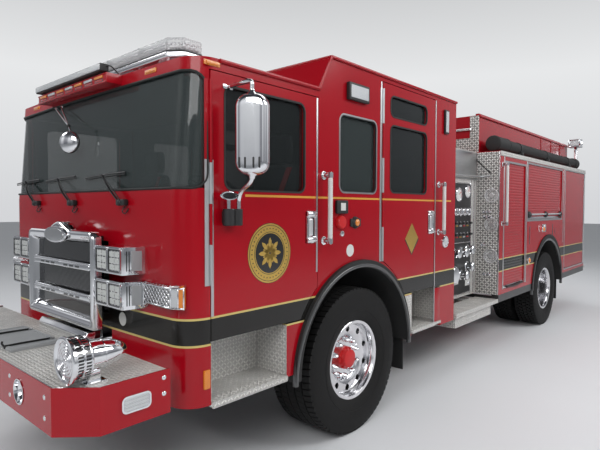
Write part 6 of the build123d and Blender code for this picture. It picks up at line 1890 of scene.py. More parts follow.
@dataclass
class Wheels:
    """Tyres, polished wheels and painted hubs, front and rear."""

    bead: float = 0.286
    hole_circle: float = 0.232
    hole: float = 0.024
    count: int = 10
    lug_circle: float = 0.143
    disc_thickness: float = 0.014
    hub_depth: float = 0.022
    drum_gap: float = 0.036

    def build(self, finish: Finish) -> None:
        """Build every tyre and wheel."""
        for side, sign in SIDES:
            for axle in AXLES:
                self.axle_end(finish, side, sign, axle)

    def axle_end(self, finish: Finish, side: str, sign: int, axle: Axle) -> None:
        """Build one end of an axle: tyre or pair of tyres, rims, hub, nuts and brake drum."""
        end, body = axle.name, f"{axle.name}_wheel_body_{side}"
        out, y, z = axle.place
        tyre, rim, hub, bright, drum = (Maker() for _ in range(5))
        for shift, disc in axle.wheels:
            self.tyre(tyre, (sign * (out + shift), y, z), sign, axle)
            self.rim(rim, (sign * (out + shift), y, z), sign, axle.half_rim, disc)
        rubber = TyreRubber(f"{end}_tyre_rubber_{side}", y, z, axle.radius).build()
        tyre.piece(f"{end}_tyre_set_{side}", rubber, body, sharp=35, stands_for=[f"{axle.tyre_node}_{side}"],
                   slot=Slot.RUBBER)
        rim.piece(f"{end}_rims_{side}", finish.polished, body, sharp=35, stands_for=[f"{axle.wheel_node}_{side}"])
        face = out + axle.wheels[0][1] - self.hub_depth
        reach, r = axle.hub_reach, axle.hub_radius
        hub.lathe((sign * (face - 0.001), y, z), (sign, 0, 0), [(0, r), (reach * 0.30, r), (reach * 0.36, r * 0.86),
                                                                (reach * 0.92, r * 0.80), (reach, r * 0.70),
                                                                (reach, 0.0)], 48)
        for t in turns(10, 0.5):
            spot = (sign * (face + reach * 0.30), y + math.cos(t) * r * 0.93, z + math.sin(t) * r * 0.93)
            hub.lathe(spot, (sign, 0, 0), [(0, 0.008), (0.008, 0.008), (0.010, 0.006), (0.010, 0)], 6)
        hub.piece(f"{end}_hub_{side}", getattr(finish, axle.hub_finish), body, slot=Slot.RED_PAINT)
        for t in turns(self.count, self.count / 4):
            spot = (sign * face, y + math.cos(t) * self.lug_circle, z + math.sin(t) * self.lug_circle)
            bright.lathe(spot, (sign, 0, 0), [(0, 0.021), (0.006, 0.021), (0.008, 0.0165), (0.030, 0.0165),
                                              (0.035, 0.012), (0.042, 0.008), (0.044, 0.0)], axle.nut_sides)
        bright.piece(f"{end}_lug_nuts_{side}", finish.chrome, body, sharp=20)
        inner = out + axle.wheels[-1][0] + axle.wheels[-1][1] - self.drum_gap
        drum.lathe((sign * (inner - 0.001), y, z), (-sign, 0, 0),
                   [(0, 0.06), (0, 0.195), (0.01, 0.204), (0.125, 0.204), (0.135, 0.198), (0.135, 0.08)], 40)
        drum.piece(f"{end}_drum_{side}", finish.iron, body)

    @staticmethod
    def ring_of(part: bmesh.types.BMesh, centre: Point, sign: int, along: float, radius: float, steps: int) -> list:
        """Circle of points about the wheel's axis."""
        return [part.verts.new((centre[0] + sign * along, centre[1] + radius * math.cos(t),
                                centre[2] + radius * math.sin(t))) for t in turns(steps)]

    def tyre(self, maker: Maker, centre: Point, sign: int, axle: Axle) -> None:
        """Make a tyre with a rounded sidewall, grooves round it and cross-cut shoulders."""
        width, radius, lugged = axle.width, axle.radius, axle.lugged
        depth = radius - self.bead
        half = width / 2
        base = 0.016
        side = [(-0.36 * width, self.bead + 0.001), (-0.40 * width, self.bead + 0.012),
                (-0.44 * width, self.bead + 0.10 * depth), (-0.485 * width, self.bead + 0.30 * depth),
                (-half, self.bead + 0.50 * depth), (-0.496 * width, self.bead + 0.66 * depth),
                (-0.480 * width, radius - 0.040), (-0.468 * width, radius - 0.026)]
        tread_half = 0.455 * width
        profile = list(side) + [(-tread_half, radius - base), (tread_half, radius - base)] + [
            (-a, r) for a, r in reversed(side)]
        part = bmesh.new()
        steps = 96
        rings = [self.ring_of(part, centre, sign, a, r, steps) for a, r in profile]
        join(part, rings, True)
        for ridge in (0.36, 0.62):
            bead_radius = self.bead + ridge * depth
            for face_side in (-1, 1):
                place = face_side * (half - 0.001 - abs(ridge - 0.5) * 0.02)
                a = self.ring_of(part, centre, sign, place, bead_radius - 0.004, steps)
                b = self.ring_of(part, centre, sign, place + face_side * 0.0025, bead_radius, steps)
                c = self.ring_of(part, centre, sign, place, bead_radius + 0.004, steps)
                join(part, (a, b, c))
        blocks = 60 if lugged else 72
        ribs = 5
        gap = 0.010
        rib_width = (2 * tread_half - (ribs - 1) * gap) / ribs
        for rib in range(ribs):
            low = -tread_half + rib * (rib_width + gap)
            edge = rib in (0, ribs - 1)
            for k in range(blocks):
                t0 = math.tau * (k + 0.5 * (rib % 2)) / blocks
                t1 = t0 + math.tau / blocks * (0.80 if (edge or lugged) else 0.93)
                skew = math.tau / blocks * 0.10 * (1 if rib % 2 else -1)
                corners = []
                for r in (radius - base - 0.001, radius - 0.0005):
                    drop = 0.004 if edge else 0.0
                    for a, shift in ((low, -skew), (low + rib_width, skew)):
                        outer_drop = drop if (a < -tread_half + 0.001 or a > tread_half - 0.001) else 0.0
                        for t in (t0 + shift, t1 + shift):
                            rr = r - (outer_drop if r > radius - base else 0.0)
                            corners.append(part.verts.new((centre[0] + sign * a, centre[1] + rr * math.cos(t),
                                                           centre[2] + rr * math.sin(t))))
                for quad in ((4, 5, 7, 6), (0, 1, 5, 4), (2, 6, 7, 3), (0, 4, 6, 2), (1, 3, 7, 5)):
                    part.faces.new([corners[q] for q in quad])
        bmesh.ops.recalc_face_normals(part, faces=part.faces[:])
        maker.take(part)

    def rim(self, maker: Maker, centre: Point, sign: int, half: float, disc: float) -> None:
        """Make a disc wheel with flanges, a deep barrel and a ring of round holes."""
        b = self.bead
        barrel = [(-half - 0.014, b + 0.019), (-half - 0.012, b + 0.021), (-half - 0.003, b + 0.021),
                  (-half, b + 0.017), (-half, b), (half, b), (half, b + 0.017), (half + 0.003, b + 0.021),
                  (half + 0.012, b + 0.021), (half + 0.0145, b + 0.017), (half + 0.010, b - 0.004),
                  (half - 0.006, b - 0.012), (half - 0.030, b - 0.016), (disc + 0.020, b - 0.016)]
        outer = barrel + [(disc + 0.012, b - 0.022), (disc + 0.010, b - 0.030)]
        inner = [(disc - 0.006, b - 0.026), (disc - 0.006, b - 0.012), (-half - 0.014, b - 0.012)]
        part = bmesh.new()
        steps = 80
        rings = [self.ring_of(part, centre, sign, a, r, steps) for a, r in outer + inner]
        first_inner = len(outer)
        join(part, rings[:first_inner])
        join(part, [*rings[first_inner:], rings[0]])
        for front_side, edge_ring in ((True, rings[first_inner - 1]), (False, rings[first_inner])):
            self.disc(part, centre, sign, disc, edge_ring, front_side)
        bmesh.ops.remove_doubles(part, verts=part.verts[:], dist=1e-5)
        bmesh.ops.recalc_face_normals(part, faces=part.faces[:])
        maker.take(part)

    def disc(self, part: bmesh.types.BMesh, centre: Point, sign: int, place: float, edge: list, front: bool) -> None:
        """Fill the disc between its rim and hub, leaving the round holes open."""
        steps = len(edge)
        per = steps // self.count
        thick = 0.0 if front else -self.disc_thickness
        outer_ring = self.ring_of(part, centre, sign, place + (0.010 if front else -0.006), 0.259, steps)
        inner_ring = self.ring_of(part, centre, sign, place + 0.006 + thick, 0.205, steps)
        join(part, (edge, outer_ring))
        hole_rings = []
        for h in range(self.count):
            t = math.tau * (h + 0.5) / self.count
            cy, cz = self.hole_circle * math.cos(t), self.hole_circle * math.sin(t)
            ring = []
            for a in turns(16):
                y, z = cy + self.hole * math.cos(a + t), cz + self.hole * math.sin(a + t)
                ring.append(part.verts.new((centre[0] + sign * (place + 0.008 + thick), centre[1] + y, centre[2] + z)))
            hole_rings.append(ring)
            outer_part = [outer_ring[(h * per + k) % steps] for k in range(per + 1)]
            inner_part = [inner_ring[(h * per + k) % steps] for k in range(per + 1)]
            self.around(part, ring, outer_part, inner_part)
            if not front:
                self.sleeve(part, sign, ring)
        profile = ((0.190, 0.002), (0.165, -0.012), (0.158, -0.021), (0.155, -0.022), (0.060, -0.022))
        last = inner_ring
        for radius, along in profile:
            ring = self.ring_of(part, centre, sign, place + along + thick, radius, steps)
            join(part, (last, ring))
            last = ring
        if not front:
            part.faces.new(last)

    def around(self, part: bmesh.types.BMesh, ring: list, outer: list, inner: list) -> None:
        """Join a hole's rim to the pieces of the two rings beside it."""
        border = list(outer) + list(reversed(inner))
        middle = sum((v.co for v in border), Vector()) / len(border)
        radial = (sum((v.co for v in outer), Vector()) / len(outer) - middle).normalized()
        tangent = (outer[-1].co - outer[0].co).normalized()

        def angle(vert: bmesh.types.BMVert) -> float:
            """Turn of a point about the hole's middle."""
            away = vert.co - middle
            return math.atan2(away.dot(tangent), away.dot(radial)) % math.tau

        inside = sorted(ring, key=angle)
        outside = sorted(border, key=angle)
        i = j = 0
        while i < len(inside) or j < len(outside):
            a, b = inside[i % len(inside)], outside[j % len(outside)]
            next_a, next_b = inside[(i + 1) % len(inside)], outside[(j + 1) % len(outside)]
            turn_a = angle(next_a) + (math.tau if i + 1 >= len(inside) else 0.0)
            turn_b = angle(next_b) + (math.tau if j + 1 >= len(outside) else 0.0)
            if (turn_a <= turn_b and i < len(inside)) or j >= len(outside):
                part.faces.new((a, next_a, b))
                i += 1
            else:
                part.faces.new((a, next_b, b))
                j += 1

    def sleeve(self, part: bmesh.types.BMesh, sign: int, ring: list) -> None:
        """Line a hole from the disc's back to its front."""
        join(part, (ring, [part.verts.new(v.co + Vector((sign * self.disc_thickness, 0, 0))) for v in ring]))


@dataclass
class Body:
    """Pump area, compartments, hose bed and rear of the vehicle."""

    pump_front: float = -0.8775
    front: float = 0.2985
    rear: float = 4.5185
    half: float = 1.25
    pump_half: float = 0.966
    bays: tuple[tuple[tuple[float, float], tuple[float, float]], ...] = (
        ((0.150, 0.920), (0.755, 2.300)), ((1.030, 2.700), (1.590, 2.340)))
    door: tuple[tuple[float, float], tuple[float, float]] = ((2.900, 4.150), (0.765, 2.360))
    top: float = 2.425
    lip_radius: float = 0.741
    arch_radius: float = 0.762
    disc_line: float = 1.150
    bed_half: float = 0.952
    bed_rail: float = 2.726
    plate_lift: float = 0.0045
    step_top: float = 0.62

    def build(self, finish: Finish) -> None:
        """Build and dress everything behind the cab."""
        for step in (self.skins, self.curtains, self.frames, self.pump_panel, self.fittings, self.steps, self.rear_side,
                     self.bed, self.hose, self.tail, self.under):
            step(finish)

    def skins(self, finish: Finish) -> None:
        """Round the body's edges and paint its doors."""
        maker = Maker()
        maker.node("body_module")
        maker.piece("body_skin", finish.band_paint, round_edges=0.003, stands_for=["body_module"])
        for side, _ in SIDES:
            maker.node(f"bay_door_{side}")
            maker.piece(f"bay_door_skin_{side}", finish.band_paint, f"bay_door_body_{side}", round_edges=0.003,
                        stands_for=[f"bay_door_{side}"])

    def curtains(self, finish: Finish) -> None:
        """Build the roll-up curtains from their slats."""
        maker = Maker()
        for _ in mirrored(maker):
            for (start, end), (low, high) in self.bays:
                y0, y1 = self.front + start + 0.0005, self.front + end - 0.0005
                self.slats(maker, (low + 0.0005, high - 0.0005),
                           lambda depth, z: (self.half - 0.012 - depth, y0, z), (0, y1 - y0, 0))
        self.slats(maker, (1.0605, 1.9995), lambda depth, z: (-0.4795, self.rear - 0.012 - depth, z), (0.959, 0, 0))
        maker.piece("curtain_slats", finish.band_paint, sharp=30, stands_for=["roll_up_doors"])
        bar, dark = Maker(), Maker()
        for _ in mirrored(bar, dark):
            for index, ((start, end), (low, _)) in enumerate(self.bays):
                y0, y1 = self.front + start + 0.05, self.front + end - 0.05
                x = self.half - 0.012
                z = low + 0.055
                bar.box((x - 0.002, y0 - 0.045, low + 0.002), (x + 0.006, y1 + 0.045, low + 0.036), 0.003)
                if index:
                    bar.tube([(x + 0.02, y0, z + 0.015), (x + 0.02, y1, z + 0.015)], 0.012, 12)
                    for place in (y0 + 0.03, (y0 + y1) / 2, y1 - 0.03):
                        dark.dome((x, place, z + 0.010), OUTWARD, 0.048, 0.040, 24)
                        dark.box((x, place - 0.045, z - 0.02), (x + 0.022, place + 0.045, z + 0.012), 0.010, 3)
                else:
                    dark.tube([(x + 0.02, y0 + 0.05, low + 0.02), (x + 0.03, (y0 + y1) / 2, low + 0.006),
                               (x + 0.02, y1 - 0.05, low + 0.02)], 0.013, 10, smooth=2)
        bar.box((-0.44, self.rear - 0.014, 1.064), (0.44, self.rear - 0.006, 1.10), 0.003)
        bar.tube([(-0.40, self.rear + 0.004, 1.12), (0.40, self.rear + 0.004, 1.12)], 0.010, 12)
        for x in (-0.38, 0.0, 0.38):
            bar.box((x - 0.02, self.rear - 0.013, 1.105), (x + 0.02, self.rear + 0.004, 1.135), 0.004)
        bar.piece("curtain_lift_bars", finish.polished)
        dark.piece("curtain_pulls", finish.black)

    @staticmethod
    def slats(maker: Maker, heights: tuple[float, float], edge: Callable[[float, float], Point], run: Point) -> None:
        """Stack curved slats between two heights.

        Args:
            maker: mesh that takes them.
            heights: lowest and highest place.
            edge: gives the end of a line at a depth and height.
            run: vector from that end to the other.
        """
        low, high = heights
        count = round((high - low) / 0.036)
        pitch = (high - low) / count
        rows = []
        for i in range(count):
            z = low + i * pitch
            rows += [(0.0024, z), (0.0009, z + 0.0012), (0.0004, z + 0.003), (0.0, z + pitch * 0.5),
                     (0.0004, z + pitch - 0.003), (0.0009, z + pitch - 0.0012), (0.0024, z + pitch)]
        maker.slab([edge(depth, z) for depth, z in [*rows, (0.0138, high), (0.0138, low)]], run)

    def frames(self, finish: Finish) -> None:
        """Frame the openings with aluminium and cap the body's top edge."""
        maker, cap = Maker(), Maker()
        for _ in mirrored(maker, cap):
            spans = [*self.bays, self.door]
            for index, ((start, end), (low, high)) in enumerate(spans):
                y0, y1 = self.front + start, self.front + end
                proud, lap = 0.003, 0.024

                def turned(a: float, b: float) -> Point:
                    """Point in the side's face."""
                    return self.half - 0.001, a, b

                outer = rounded((y0 - lap, y1 + lap), (low - lap * (index > 0), high + lap), 0.004, 2, turned)
                inset = 0.0 if index < 2 else -0.006
                inner = rounded((y0 - inset, y1 + inset), (low, high), 0.003, 2, turned)
                maker.ring(outer, inner, (proud, 0, 0))
            for y in (self.front + 0.128, self.front + 0.975, self.front + 2.800):
                low = 0.755 if y < self.front + 1 else (1.20 if y < self.front + 2.9 else 0.765)
                maker.box((self.half - 0.001, y - 0.012, low), (self.half + 0.005, y + 0.012, 2.385), 0.002)
            maker.box((self.half - 0.040, self.rear - 0.058, 0.765), (self.half + 0.0018, self.rear + 0.004, 2.372),
                      0.001)
            cap.box((self.half - 0.030, self.front + 0.001, self.top - 0.052),
                    (self.half + 0.008, self.rear - 0.001, self.top + 0.006), 0.004)
            cap.box((self.half - 0.27, self.front + 0.001, self.top + GAP),
                    (self.half - 0.02, self.rear - 0.001, self.top + 0.004), 0.001)
        for left, right, low, high in ((-0.52, 0.52, 1.02, 1.052), (-0.51, -0.484, 1.05, 2.03),
                                       (0.484, 0.51, 1.05, 2.03), (-0.51, 0.51, 2.004, 2.03)):
            maker.box((left, self.rear - 0.001, low), (right, self.rear + 0.004, high), 0.002)
        maker.piece("bay_frames", finish.satin)
        cap.piece("body_cap", finish.fine_plate)

    def pump_panel(self, finish: Finish) -> None:
        """Dress the pump area's walls: bright plates above, black panels below, tread plate at the body's front."""
        dress(["pump_house", "pump_panels"], finish.fine_plate)
        black, plate, trim, silver = (Maker() for _ in range(4))
        y0, y1 = self.pump_front + 0.02, self.front - 0.10
        for _ in mirrored(black, plate, trim, silver):
            x = self.pump_half
            black.box((x, y0, 0.74), (x + 0.003, y1 - 0.09, 1.335), 0.001)
            black.box((x, y0, 1.345), (x + 0.004, y1 - 0.09, 2.03), 0.001)
            for z in (0.74, 1.34, 2.035):
                trim.box((x, y0 - 0.008, z - 0.006), (x + 0.006, y1 - 0.08, z + 0.006), 0.002)
            for y in (y1 - 0.085, y1, y0 - 0.008):
                trim.box((x, y - 0.008, 0.72), (x + 0.010, y + 0.008, 2.08), 0.003)
            silver.box((x - 0.004, y0, 2.085), (x + 0.012, y1 + 0.08, 2.11), 0.004)
            silver.tube([(x + 0.05, y0 + 0.02, 2.115), (x + 0.05, y1 + 0.055, 2.125), (x + 0.075, y1 + 0.085, 2.130),
                         (1.135, y1 + 0.085, 2.132)], 0.012, 12, smooth=1)
            black.tube([(0.962, self.front - 0.014, 2.333), (1.126, self.front - 0.014, 2.178)], 0.0055, 10)
            for mount in ((0.962, 2.333), (1.126, 2.178)):
                black.bar((mount[0], self.front - GAP, mount[1]), (mount[0], self.front - 0.022, mount[1]), 0.010,
                          steps=12)
            plate.box((x + 0.002, self.front - self.plate_lift, 0.70), (self.half - 0.012, self.front - GAP,
                                                                        self.top - 0.003), 0.001)
            trim.box((self.half - 0.014, self.front - 0.008, 0.70), (self.half - 0.002, self.front, self.top - 0.004),
                     0.002)
            silver.box((x - 0.006, self.pump_front + 0.004, 2.13), (x + 0.001, self.front - 0.005, 2.415), 0.001)
        black.piece("pump_panel_faces", finish.panel)
        plate.piece("body_front_plates", finish.plate)
        trim.piece("pump_panel_trim", finish.polished)
        silver.piece("pump_top_plates", finish.satin)

    def fittings(self, finish: Finish) -> None:
        """Fit inlets, capped outlets, gauges, valve pulls and the round discs."""
        chrome, dark, dial, pulls, disc, tags = (Maker() for _ in range(6))
        for _ in mirrored(chrome, dark, dial, pulls, disc, tags):

            def at(y: float, z: float, out: float = 0.0) -> Point:
                """Point on the panel at a distance behind the pump's front."""
                return (self.pump_half + GAP + out, self.pump_front + y, z)

            chrome.lathe(at(0.30, 1.01), OUTWARD, [(0, 0.118), (0.006, 0.118), (0.010, 0.100), (0.10, 0.098),
                                                   (0.105, 0.092)], 48)
            chrome.lathe(at(0.30, 1.01, 0.105), OUTWARD, [(0, 0.098), (0.028, 0.098), (0.040, 0.085), (0.044, 0.050),
                                                          (0.044, 0.0)], 48)
            for t in turns(3):
                c = at(0.30 + 0.098 * math.cos(t), 1.01 + 0.098 * math.sin(t), 0.12)
                chrome.bar(c, (c[0] + 0.02, c[1] + 0.022 * math.cos(t), c[2] + 0.022 * math.sin(t)), 0.011, 0.008, 10)
            for y, z in ((0.52, 1.23), (0.72, 1.23), (0.74, 0.96), (0.90, 1.25), (0.90, 1.05)):
                chrome.lathe(at(y, z), OUTWARD, [(0, 0.062), (0.008, 0.062), (0.012, 0.046), (0.050, 0.044),
                                                 (0.052, 0.054), (0.086, 0.054), (0.094, 0.046), (0.098, 0.020),
                                                 (0.098, 0.0)], 32)
                for k in range(2):
                    t = math.pi * k + 0.6
                    c = at(y + 0.052 * math.cos(t), z + 0.052 * math.sin(t), 0.068)
                    chrome.bar(c, (c[0], c[1] + 0.024 * math.cos(t), c[2] + 0.024 * math.sin(t)), 0.008, 0.006, 10)
            for y, z, r in ((0.42, 1.90, 0.078), (0.64, 1.90, 0.078), (0.88, 1.94, 0.070)):
                chrome.lathe(at(y, z), OUTWARD, [(0, r + 0.006), (0.014, r + 0.006), (0.020, r), (0.018, r - 0.010),
                                                 (0.012, r - 0.012)], 40)
                dial.lathe(at(y, z, 0.010), OUTWARD, [(0, r - 0.010), (0.003, r - 0.010)], 40)
                pulls.bar(at(y, z, 0.015), at(y + 0.6 * r, z + 0.4 * r, 0.015), 0.0025, steps=6)
            for i in range(7):
                y = 0.235 + 0.115 * i
                chrome.lathe(at(y, 1.70), OUTWARD, [(0, 0.048), (0.012, 0.048), (0.017, 0.043), (0.014, 0.038)], 28)
                dial.lathe(at(y, 1.70, 0.008), OUTWARD, [(0, 0.039), (0.003, 0.039)], 28)
                pulls.bar(at(y, 1.70, 0.0115), at(y + 0.024, 1.715, 0.0115), 0.002, steps=6)
            for i in range(8):
                y = 0.225 + 0.097 * i
                for z in (1.44, 1.57):
                    chrome.lathe(at(y, z), OUTWARD, [(0, 0.022), (0.006, 0.022), (0.008, 0.009), (0.036, 0.009)], 16)
                    dark.box(at(y - 0.030, z - 0.013, 0.034), at(y + 0.030, z + 0.013, 0.058), 0.010, 3)
                    target = (dial, pulls, tags)[(i + (z > 1.5)) % 3]
                    target.box(at(y - 0.030, z - 0.042, 0.0), at(y + 0.030, z - 0.024, 0.006), 0.001)
            dark.box(at(0.10, 1.78), at(0.29, 1.99, 0.030), 0.010)
            dial.box(at(0.125, 1.83, 0.0295), at(0.265, 1.96, 0.0315), 0.002)
            for k in range(4):
                chrome.dome(at(0.135 + 0.04 * k, 1.805, 0.030), OUTWARD, 0.008, 0.005, 12)
            for y, z, w, h in ((0.12, 1.46, 0.10, 0.07), (0.55, 0.86, 0.12, 0.06), (0.86, 0.82, 0.14, 0.08)):
                dial.box(at(y, z), at(y + w, z + h, 0.005), 0.001)
            for y, z in ((0.10, 1.20), (0.60, 1.04), (0.45, 1.16), (0.10, 0.86), (0.95, 0.84)):
                chrome.dome(at(y, z), OUTWARD, 0.026, 0.016, 20)
            for z in (1.167, 1.546, 1.900):
                for outer, inner, lift in ((0.085, 0.071, 0.010), (0.062, 0.055, 0.006), (0.047, 0.042, 0.006),
                                           (0.030, 0.0, 0.004)):
                    place = (self.disc_line, self.front - self.plate_lift, z)
                    disc.lathe(place, AHEAD, [(0, outer), (lift - 0.002, outer), (lift, outer - 0.002),
                                              (lift, inner + 0.002 * (inner > 0)),
                                              *([(lift - 0.002, inner), (0, inner)] if inner else [])], 56,
                               caps=not inner)
                for t in turns(6, 0.5):
                    chrome.dome((self.disc_line + 0.069 * math.cos(t), self.front - self.plate_lift,
                                 z + 0.069 * math.sin(t)), AHEAD, 0.0045, 0.004, 10)
            for x, z in ((1.075, 1.70), (1.125, 1.70), (1.085, 1.64), (1.140, 1.64), (1.06, 1.30), (1.08, 0.94),
                         (1.13, 0.94)):
                place = (x, self.front - self.plate_lift, z)
                chrome.lathe(place, AHEAD, [(0, 0.020), (0.006, 0.020), (0.008, 0.013), (0.030, 0.013), (0.032, 0.017),
                                            (0.046, 0.017), (0.048, 0.0)], 16)
        chrome.piece("pump_fitting_set", finish.chrome, sharp=35, stands_for=["pump_fittings"])
        disc.piece("plate_discs", finish.silver)
        tags.piece("valve_tags", finish.gold, slot=Slot.RED_PAINT)
        dark.piece("pump_controls", finish.black)
        dial.piece("gauge_faces", finish.white)
        pulls.piece("gauge_needles", finish.red_plug)

    def steps(self, finish: Finish) -> None:
        """Dress the cab's step wells and the pump platform."""
        maker = Maker()
        maker.node("side_steps")
        maker.piece("step_plates", finish.fine_plate, round_edges=0.002, stands_for=["side_steps"])
        bright, cover, panel = (Maker() for _ in range(3))
        for _ in mirrored(bright, cover, panel):
            for y0, y1 in ((0.184, 0.800), (2.425, 2.864)):
                a, b = CAB_FRONT + y0 + 0.004, CAB_FRONT + y1 - 0.004
                bright.box((1.236, a, 0.618), (1.249, b, 0.656), 0.004)
                count = int((b - a) / 0.036)
                for i in range(count):
                    y = a + 0.02 + i * 0.036
                    for x in (1.215, 1.180):
                        bright.lathe((x, y, 0.650), UPWARD, [(0, 0.011), (0.004, 0.010), (0.005, 0.007),
                                                             (0.001, 0.005)], 10)
            a, b = self.pump_front + 0.008, self.front - 0.008
            bright.box((self.half - 0.010, a, 0.608), (self.half - 0.0005, b, 0.654), 0.004)
            arch = [(FRONT_AXLE[1] + math.sqrt(self.arch_radius ** 2 - (z - FRONT_AXLE[2]) ** 2),
                     z) for z in (self.step_top + 0.0352 * i for i in range(11))]
            cover.slab([(1.2346, y, z) for y, z in [*arch, (-1.7745, 0.972), (-1.7745, self.step_top)]], (0.0016, 0, 0))
            panel.box((1.2325, -1.3380, 0.6205), (1.2349, -1.2168, 0.9745), 0.0005)
        cover.piece("step_side_plates", finish.fine_plate)
        panel.piece("step_end_panels", finish.paint)
        bright.piece("step_noses", finish.fine_plate)

    def rear_side(self, finish: Finish) -> None:
        """Fit the lamps and slots by the rear wheel, and the wheel fenders' lips."""
        dress(["wheel_fenders"], finish.rubber)
        dress(["rub_rails"], finish.chassis)
        lip, amber, dark, chrome, red = (Maker() for _ in range(5))
        for _ in mirrored(lip, amber, dark, chrome, red):
            for _, y, z in (FRONT_AXLE, REAR_AXLE):
                arc = [(self.half - 0.004, y + self.lip_radius * math.cos(t), z + self.lip_radius * math.sin(t))
                       for t in (math.pi * i / 40 for i in range(41))]
                lip.tube(arc, 0.020, 14)
            x = self.half
            chrome.lathe((x, 1.864, 1.458), OUTWARD, [(0, 0.050), (0.005, 0.050), (0.008, 0.046)], 32)
            red.dome((x + 0.004, 1.864, 1.458), OUTWARD, 0.045, 0.032, 28)
            chrome.box((x, 1.985, 1.400), (x + 0.004, 2.165, 1.512), 0.002)
            chrome.lathe((x, 2.025, 1.442), OUTWARD, [(0, 0.042), (0.010, 0.040), (0.013, 0.036)], 28)
            amber.dome((x + 0.008, 2.025, 1.442), OUTWARD, 0.035, 0.024, 24)
            chrome.box((x, 2.080, 1.425), (x + 0.012, 2.145, 1.495), 0.004)
            chrome.lathe((x, 1.400, 1.033), OUTWARD, [(0, 0.046), (0.008, 0.046), (0.012, 0.038)], 28)
            amber.dome((x + 0.006, 1.400, 1.033), OUTWARD, 0.038, 0.024, 24)
            for place, low, high in ((1.430, 1.25, 1.50), (2.510, 1.32, 1.51), (2.640, 1.36, 1.44)):
                dark.box((x - 0.001, place - 0.012, low), (x + 0.002, place + 0.012, high), 0.001)
        lip.piece("fender_lips", finish.lip, sharp=60)
        amber.piece("side_markers", finish.amber)
        dark.piece("side_slots", finish.gloss_black)
        chrome.piece("side_lamp_rims", finish.chrome)
        red.piece("side_red_lamps", finish.red_lens)

    def bed(self, finish: Finish) -> None:
        """Wall the hose bed with red panels, a rail on top and bright front strips."""
        maker, rail, strip, tube = (Maker() for _ in range(4))
        maker.node("hose_bed")
        maker.piece("bed_walls", finish.paint, round_edges=0.003, stands_for=["hose_bed"])
        y0, y1 = self.front + 0.070, self.rear - 0.020
        for _ in mirrored(rail, strip):
            x = self.bed_half
            for y in (2.90, 3.45, 4.00):
                rail.box((x - 0.002, y - 0.010, self.top + 0.02), (x + 0.006, y + 0.010, 2.872), 0.002)
            rail.tube([(x + 0.006, y0 + 0.004, 2.884), (x + 0.006, y1 - 0.004, 2.884)], 0.014, 12)
            strip.box((x - 0.112, y0 - 0.006, self.top + 0.001), (x + 0.003, y0 - GAP, 2.890), 0.001)
        strip.box((-0.84, y0 - 0.005, self.top + 0.001), (0.84, y0 - GAP, 2.62), 0.001)
        tube.tube([(-0.86, y0 - 0.030, self.bed_rail), (0.86, y0 - 0.030, self.bed_rail)], 0.016, 14)
        for x in (-0.86, 0.0, 0.86):
            tube.bar((x, y0 - 0.004, self.bed_rail), (x, y0 - 0.032, self.bed_rail), 0.012, 0.014, 14)
        rail.piece("bed_stiffeners", finish.paint)
        strip.piece("bed_front_plates", finish.plate)
        tube.piece("bed_front_rail", finish.polished)
        dress(["water_tank"], finish.tank)

    def hose(self, finish: Finish) -> None:
        """Lay the black suction hose with its long caps on its saddles."""
        maker, saddle = Maker(), Maker()
        x, z = 1.110, 2.540
        y0, y1 = self.front + 0.19, self.front + 3.95
        profile = [(0.0, 0.080)]
        count = int((y1 - y0) / 0.028)
        for i in range(count):
            start = i * (y1 - y0) / count
            profile += [(start + 0.004, 0.0820), (start + 0.014, 0.0820), (start + 0.021, 0.0805)]
        profile += [(y1 - y0, 0.080)]
        maker.lathe((x, y0, z), BACKWARD, profile, 32)
        for low, high in ((y0 - 0.07, y0 + 0.33), (y1 - 0.13, y1 + 0.05)):
            run = high - low
            maker.lathe((x, low, z), BACKWARD, [(0, 0.0), (0.0, 0.078), (0.004, 0.090), (0.012, 0.0975),
                                                (0.035, 0.0975), (0.038, 0.094), (run - 0.038, 0.094),
                                                (run - 0.035, 0.0975), (run - 0.006, 0.0975), (run, 0.085), (run, 0)],
                        44)
        maker.piece("suction_hose_body", finish.rubber, sharp=30, stands_for=["suction_hose"])
        for place in (0.20, 0.52, 0.84):
            y = y0 + place * (y1 - y0)
            saddle.box((x - 0.095, y - 0.030, self.top + self.plate_lift), (x + 0.095, y + 0.030, z - 0.05), 0.004)
            saddle.ring([(x + 0.0875 * math.cos(t), y - 0.022, z + 0.0875 * math.sin(t)) for t in turns(32)],
                        [(x + 0.0815 * math.cos(t), y - 0.022, z + 0.0815 * math.sin(t)) for t in turns(32)],
                        (0, 0.044, 0))
        saddle.piece("hose_saddles", finish.black)

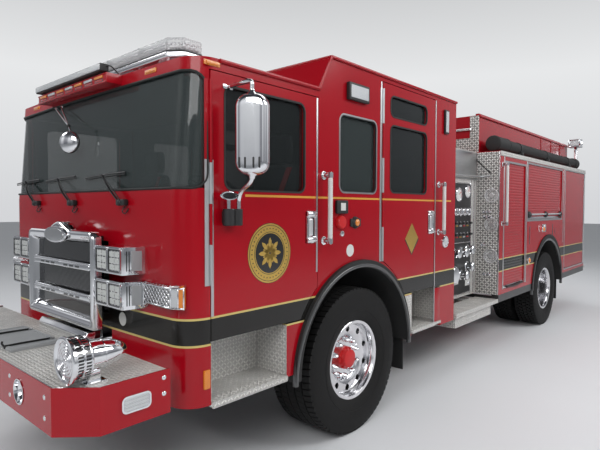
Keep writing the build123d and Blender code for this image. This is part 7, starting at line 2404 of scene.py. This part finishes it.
    def tail(self, finish: Finish) -> None:
        """Fit the rear lamps, the beacons and the tailboard."""
        dress(["tailboard"], finish.fine_plate)
        case, red, clear, amber = (Maker() for _ in range(4))
        for _ in mirrored(case, red, clear, amber):
            for z, target in ((1.25, red), (1.40, amber), (1.55, clear)):
                case.box((0.900, self.rear + GAP, z), (1.070, self.rear + 0.014, z + 0.11), 0.005)
                target.box((0.912, self.rear + 0.012, z + 0.012), (1.058, self.rear + 0.030, z + 0.098), 0.010, 3)
            x0, x1, y0, y1 = 1.005, 1.205, self.rear - 0.190, self.rear - 0.020
            case.box((x0, y0, 2.850), (x1, y1, 2.880), 0.010)
            case.box((x0, y0, 2.975), (x1, y1, 3.0), 0.012, 3)
            for px in (x0 + 0.012, x1 - 0.012):
                for py in (y0 + 0.012, y1 - 0.012):
                    case.box((px - 0.012, py - 0.012, 2.87), (px + 0.012, py + 0.012, 2.985), 0.003)
            clear.box((x0 + 0.010, y0 + 0.010, 2.878), (x1 - 0.010, y1 - 0.010, 2.978), 0.012, 3)
            case.box((1.080, y1 - 0.070, self.top + 0.005), (1.130, y1 - 0.020, 2.853), 0.004)
            case.lathe((1.105, y1 - 0.045, self.top + self.plate_lift), UPWARD,
                       [(0, 0.055), (0.008, 0.055), (0.012, 0.04)], 28)
        case.piece("rear_lamp_cases", finish.chrome, sharp=40, stands_for=["warning_lamps"])
        red.piece("rear_red_lamps", finish.red_lens)
        amber.piece("rear_amber_lamps", finish.amber)
        clear.piece("rear_clear_lamps", finish.clear_lens)

    def under(self, finish: Finish) -> None:
        """Finish the chassis and what hangs from it."""
        dress(["frame_rails", "leaf_springs", "axles", "driveline", "tie_rod", "knuckle_left", "knuckle_right"],
              finish.chassis)
        dress(["engine_block"], finish.iron)
        dress(["fuel_tank"], finish.satin)


def main() -> None:
    """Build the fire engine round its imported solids."""
    logging.basicConfig(level=logging.INFO, format="%(message)s")
    FRAME.update(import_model())
    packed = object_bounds()
    Studio().build()
    finish = Finish()
    for assembly in (Cab(), Front(), Wheels(), Body()):
        LOG.info("building %s", type(assembly).__name__)
        assembly.build(finish)
    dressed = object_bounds()
    sizes = {name: [[round(float(v), 5) for v in corner] for corner in box]
             for name, box in (("packed", packed), ("dressed", dressed))}


if __name__ == "__main__":
    main()
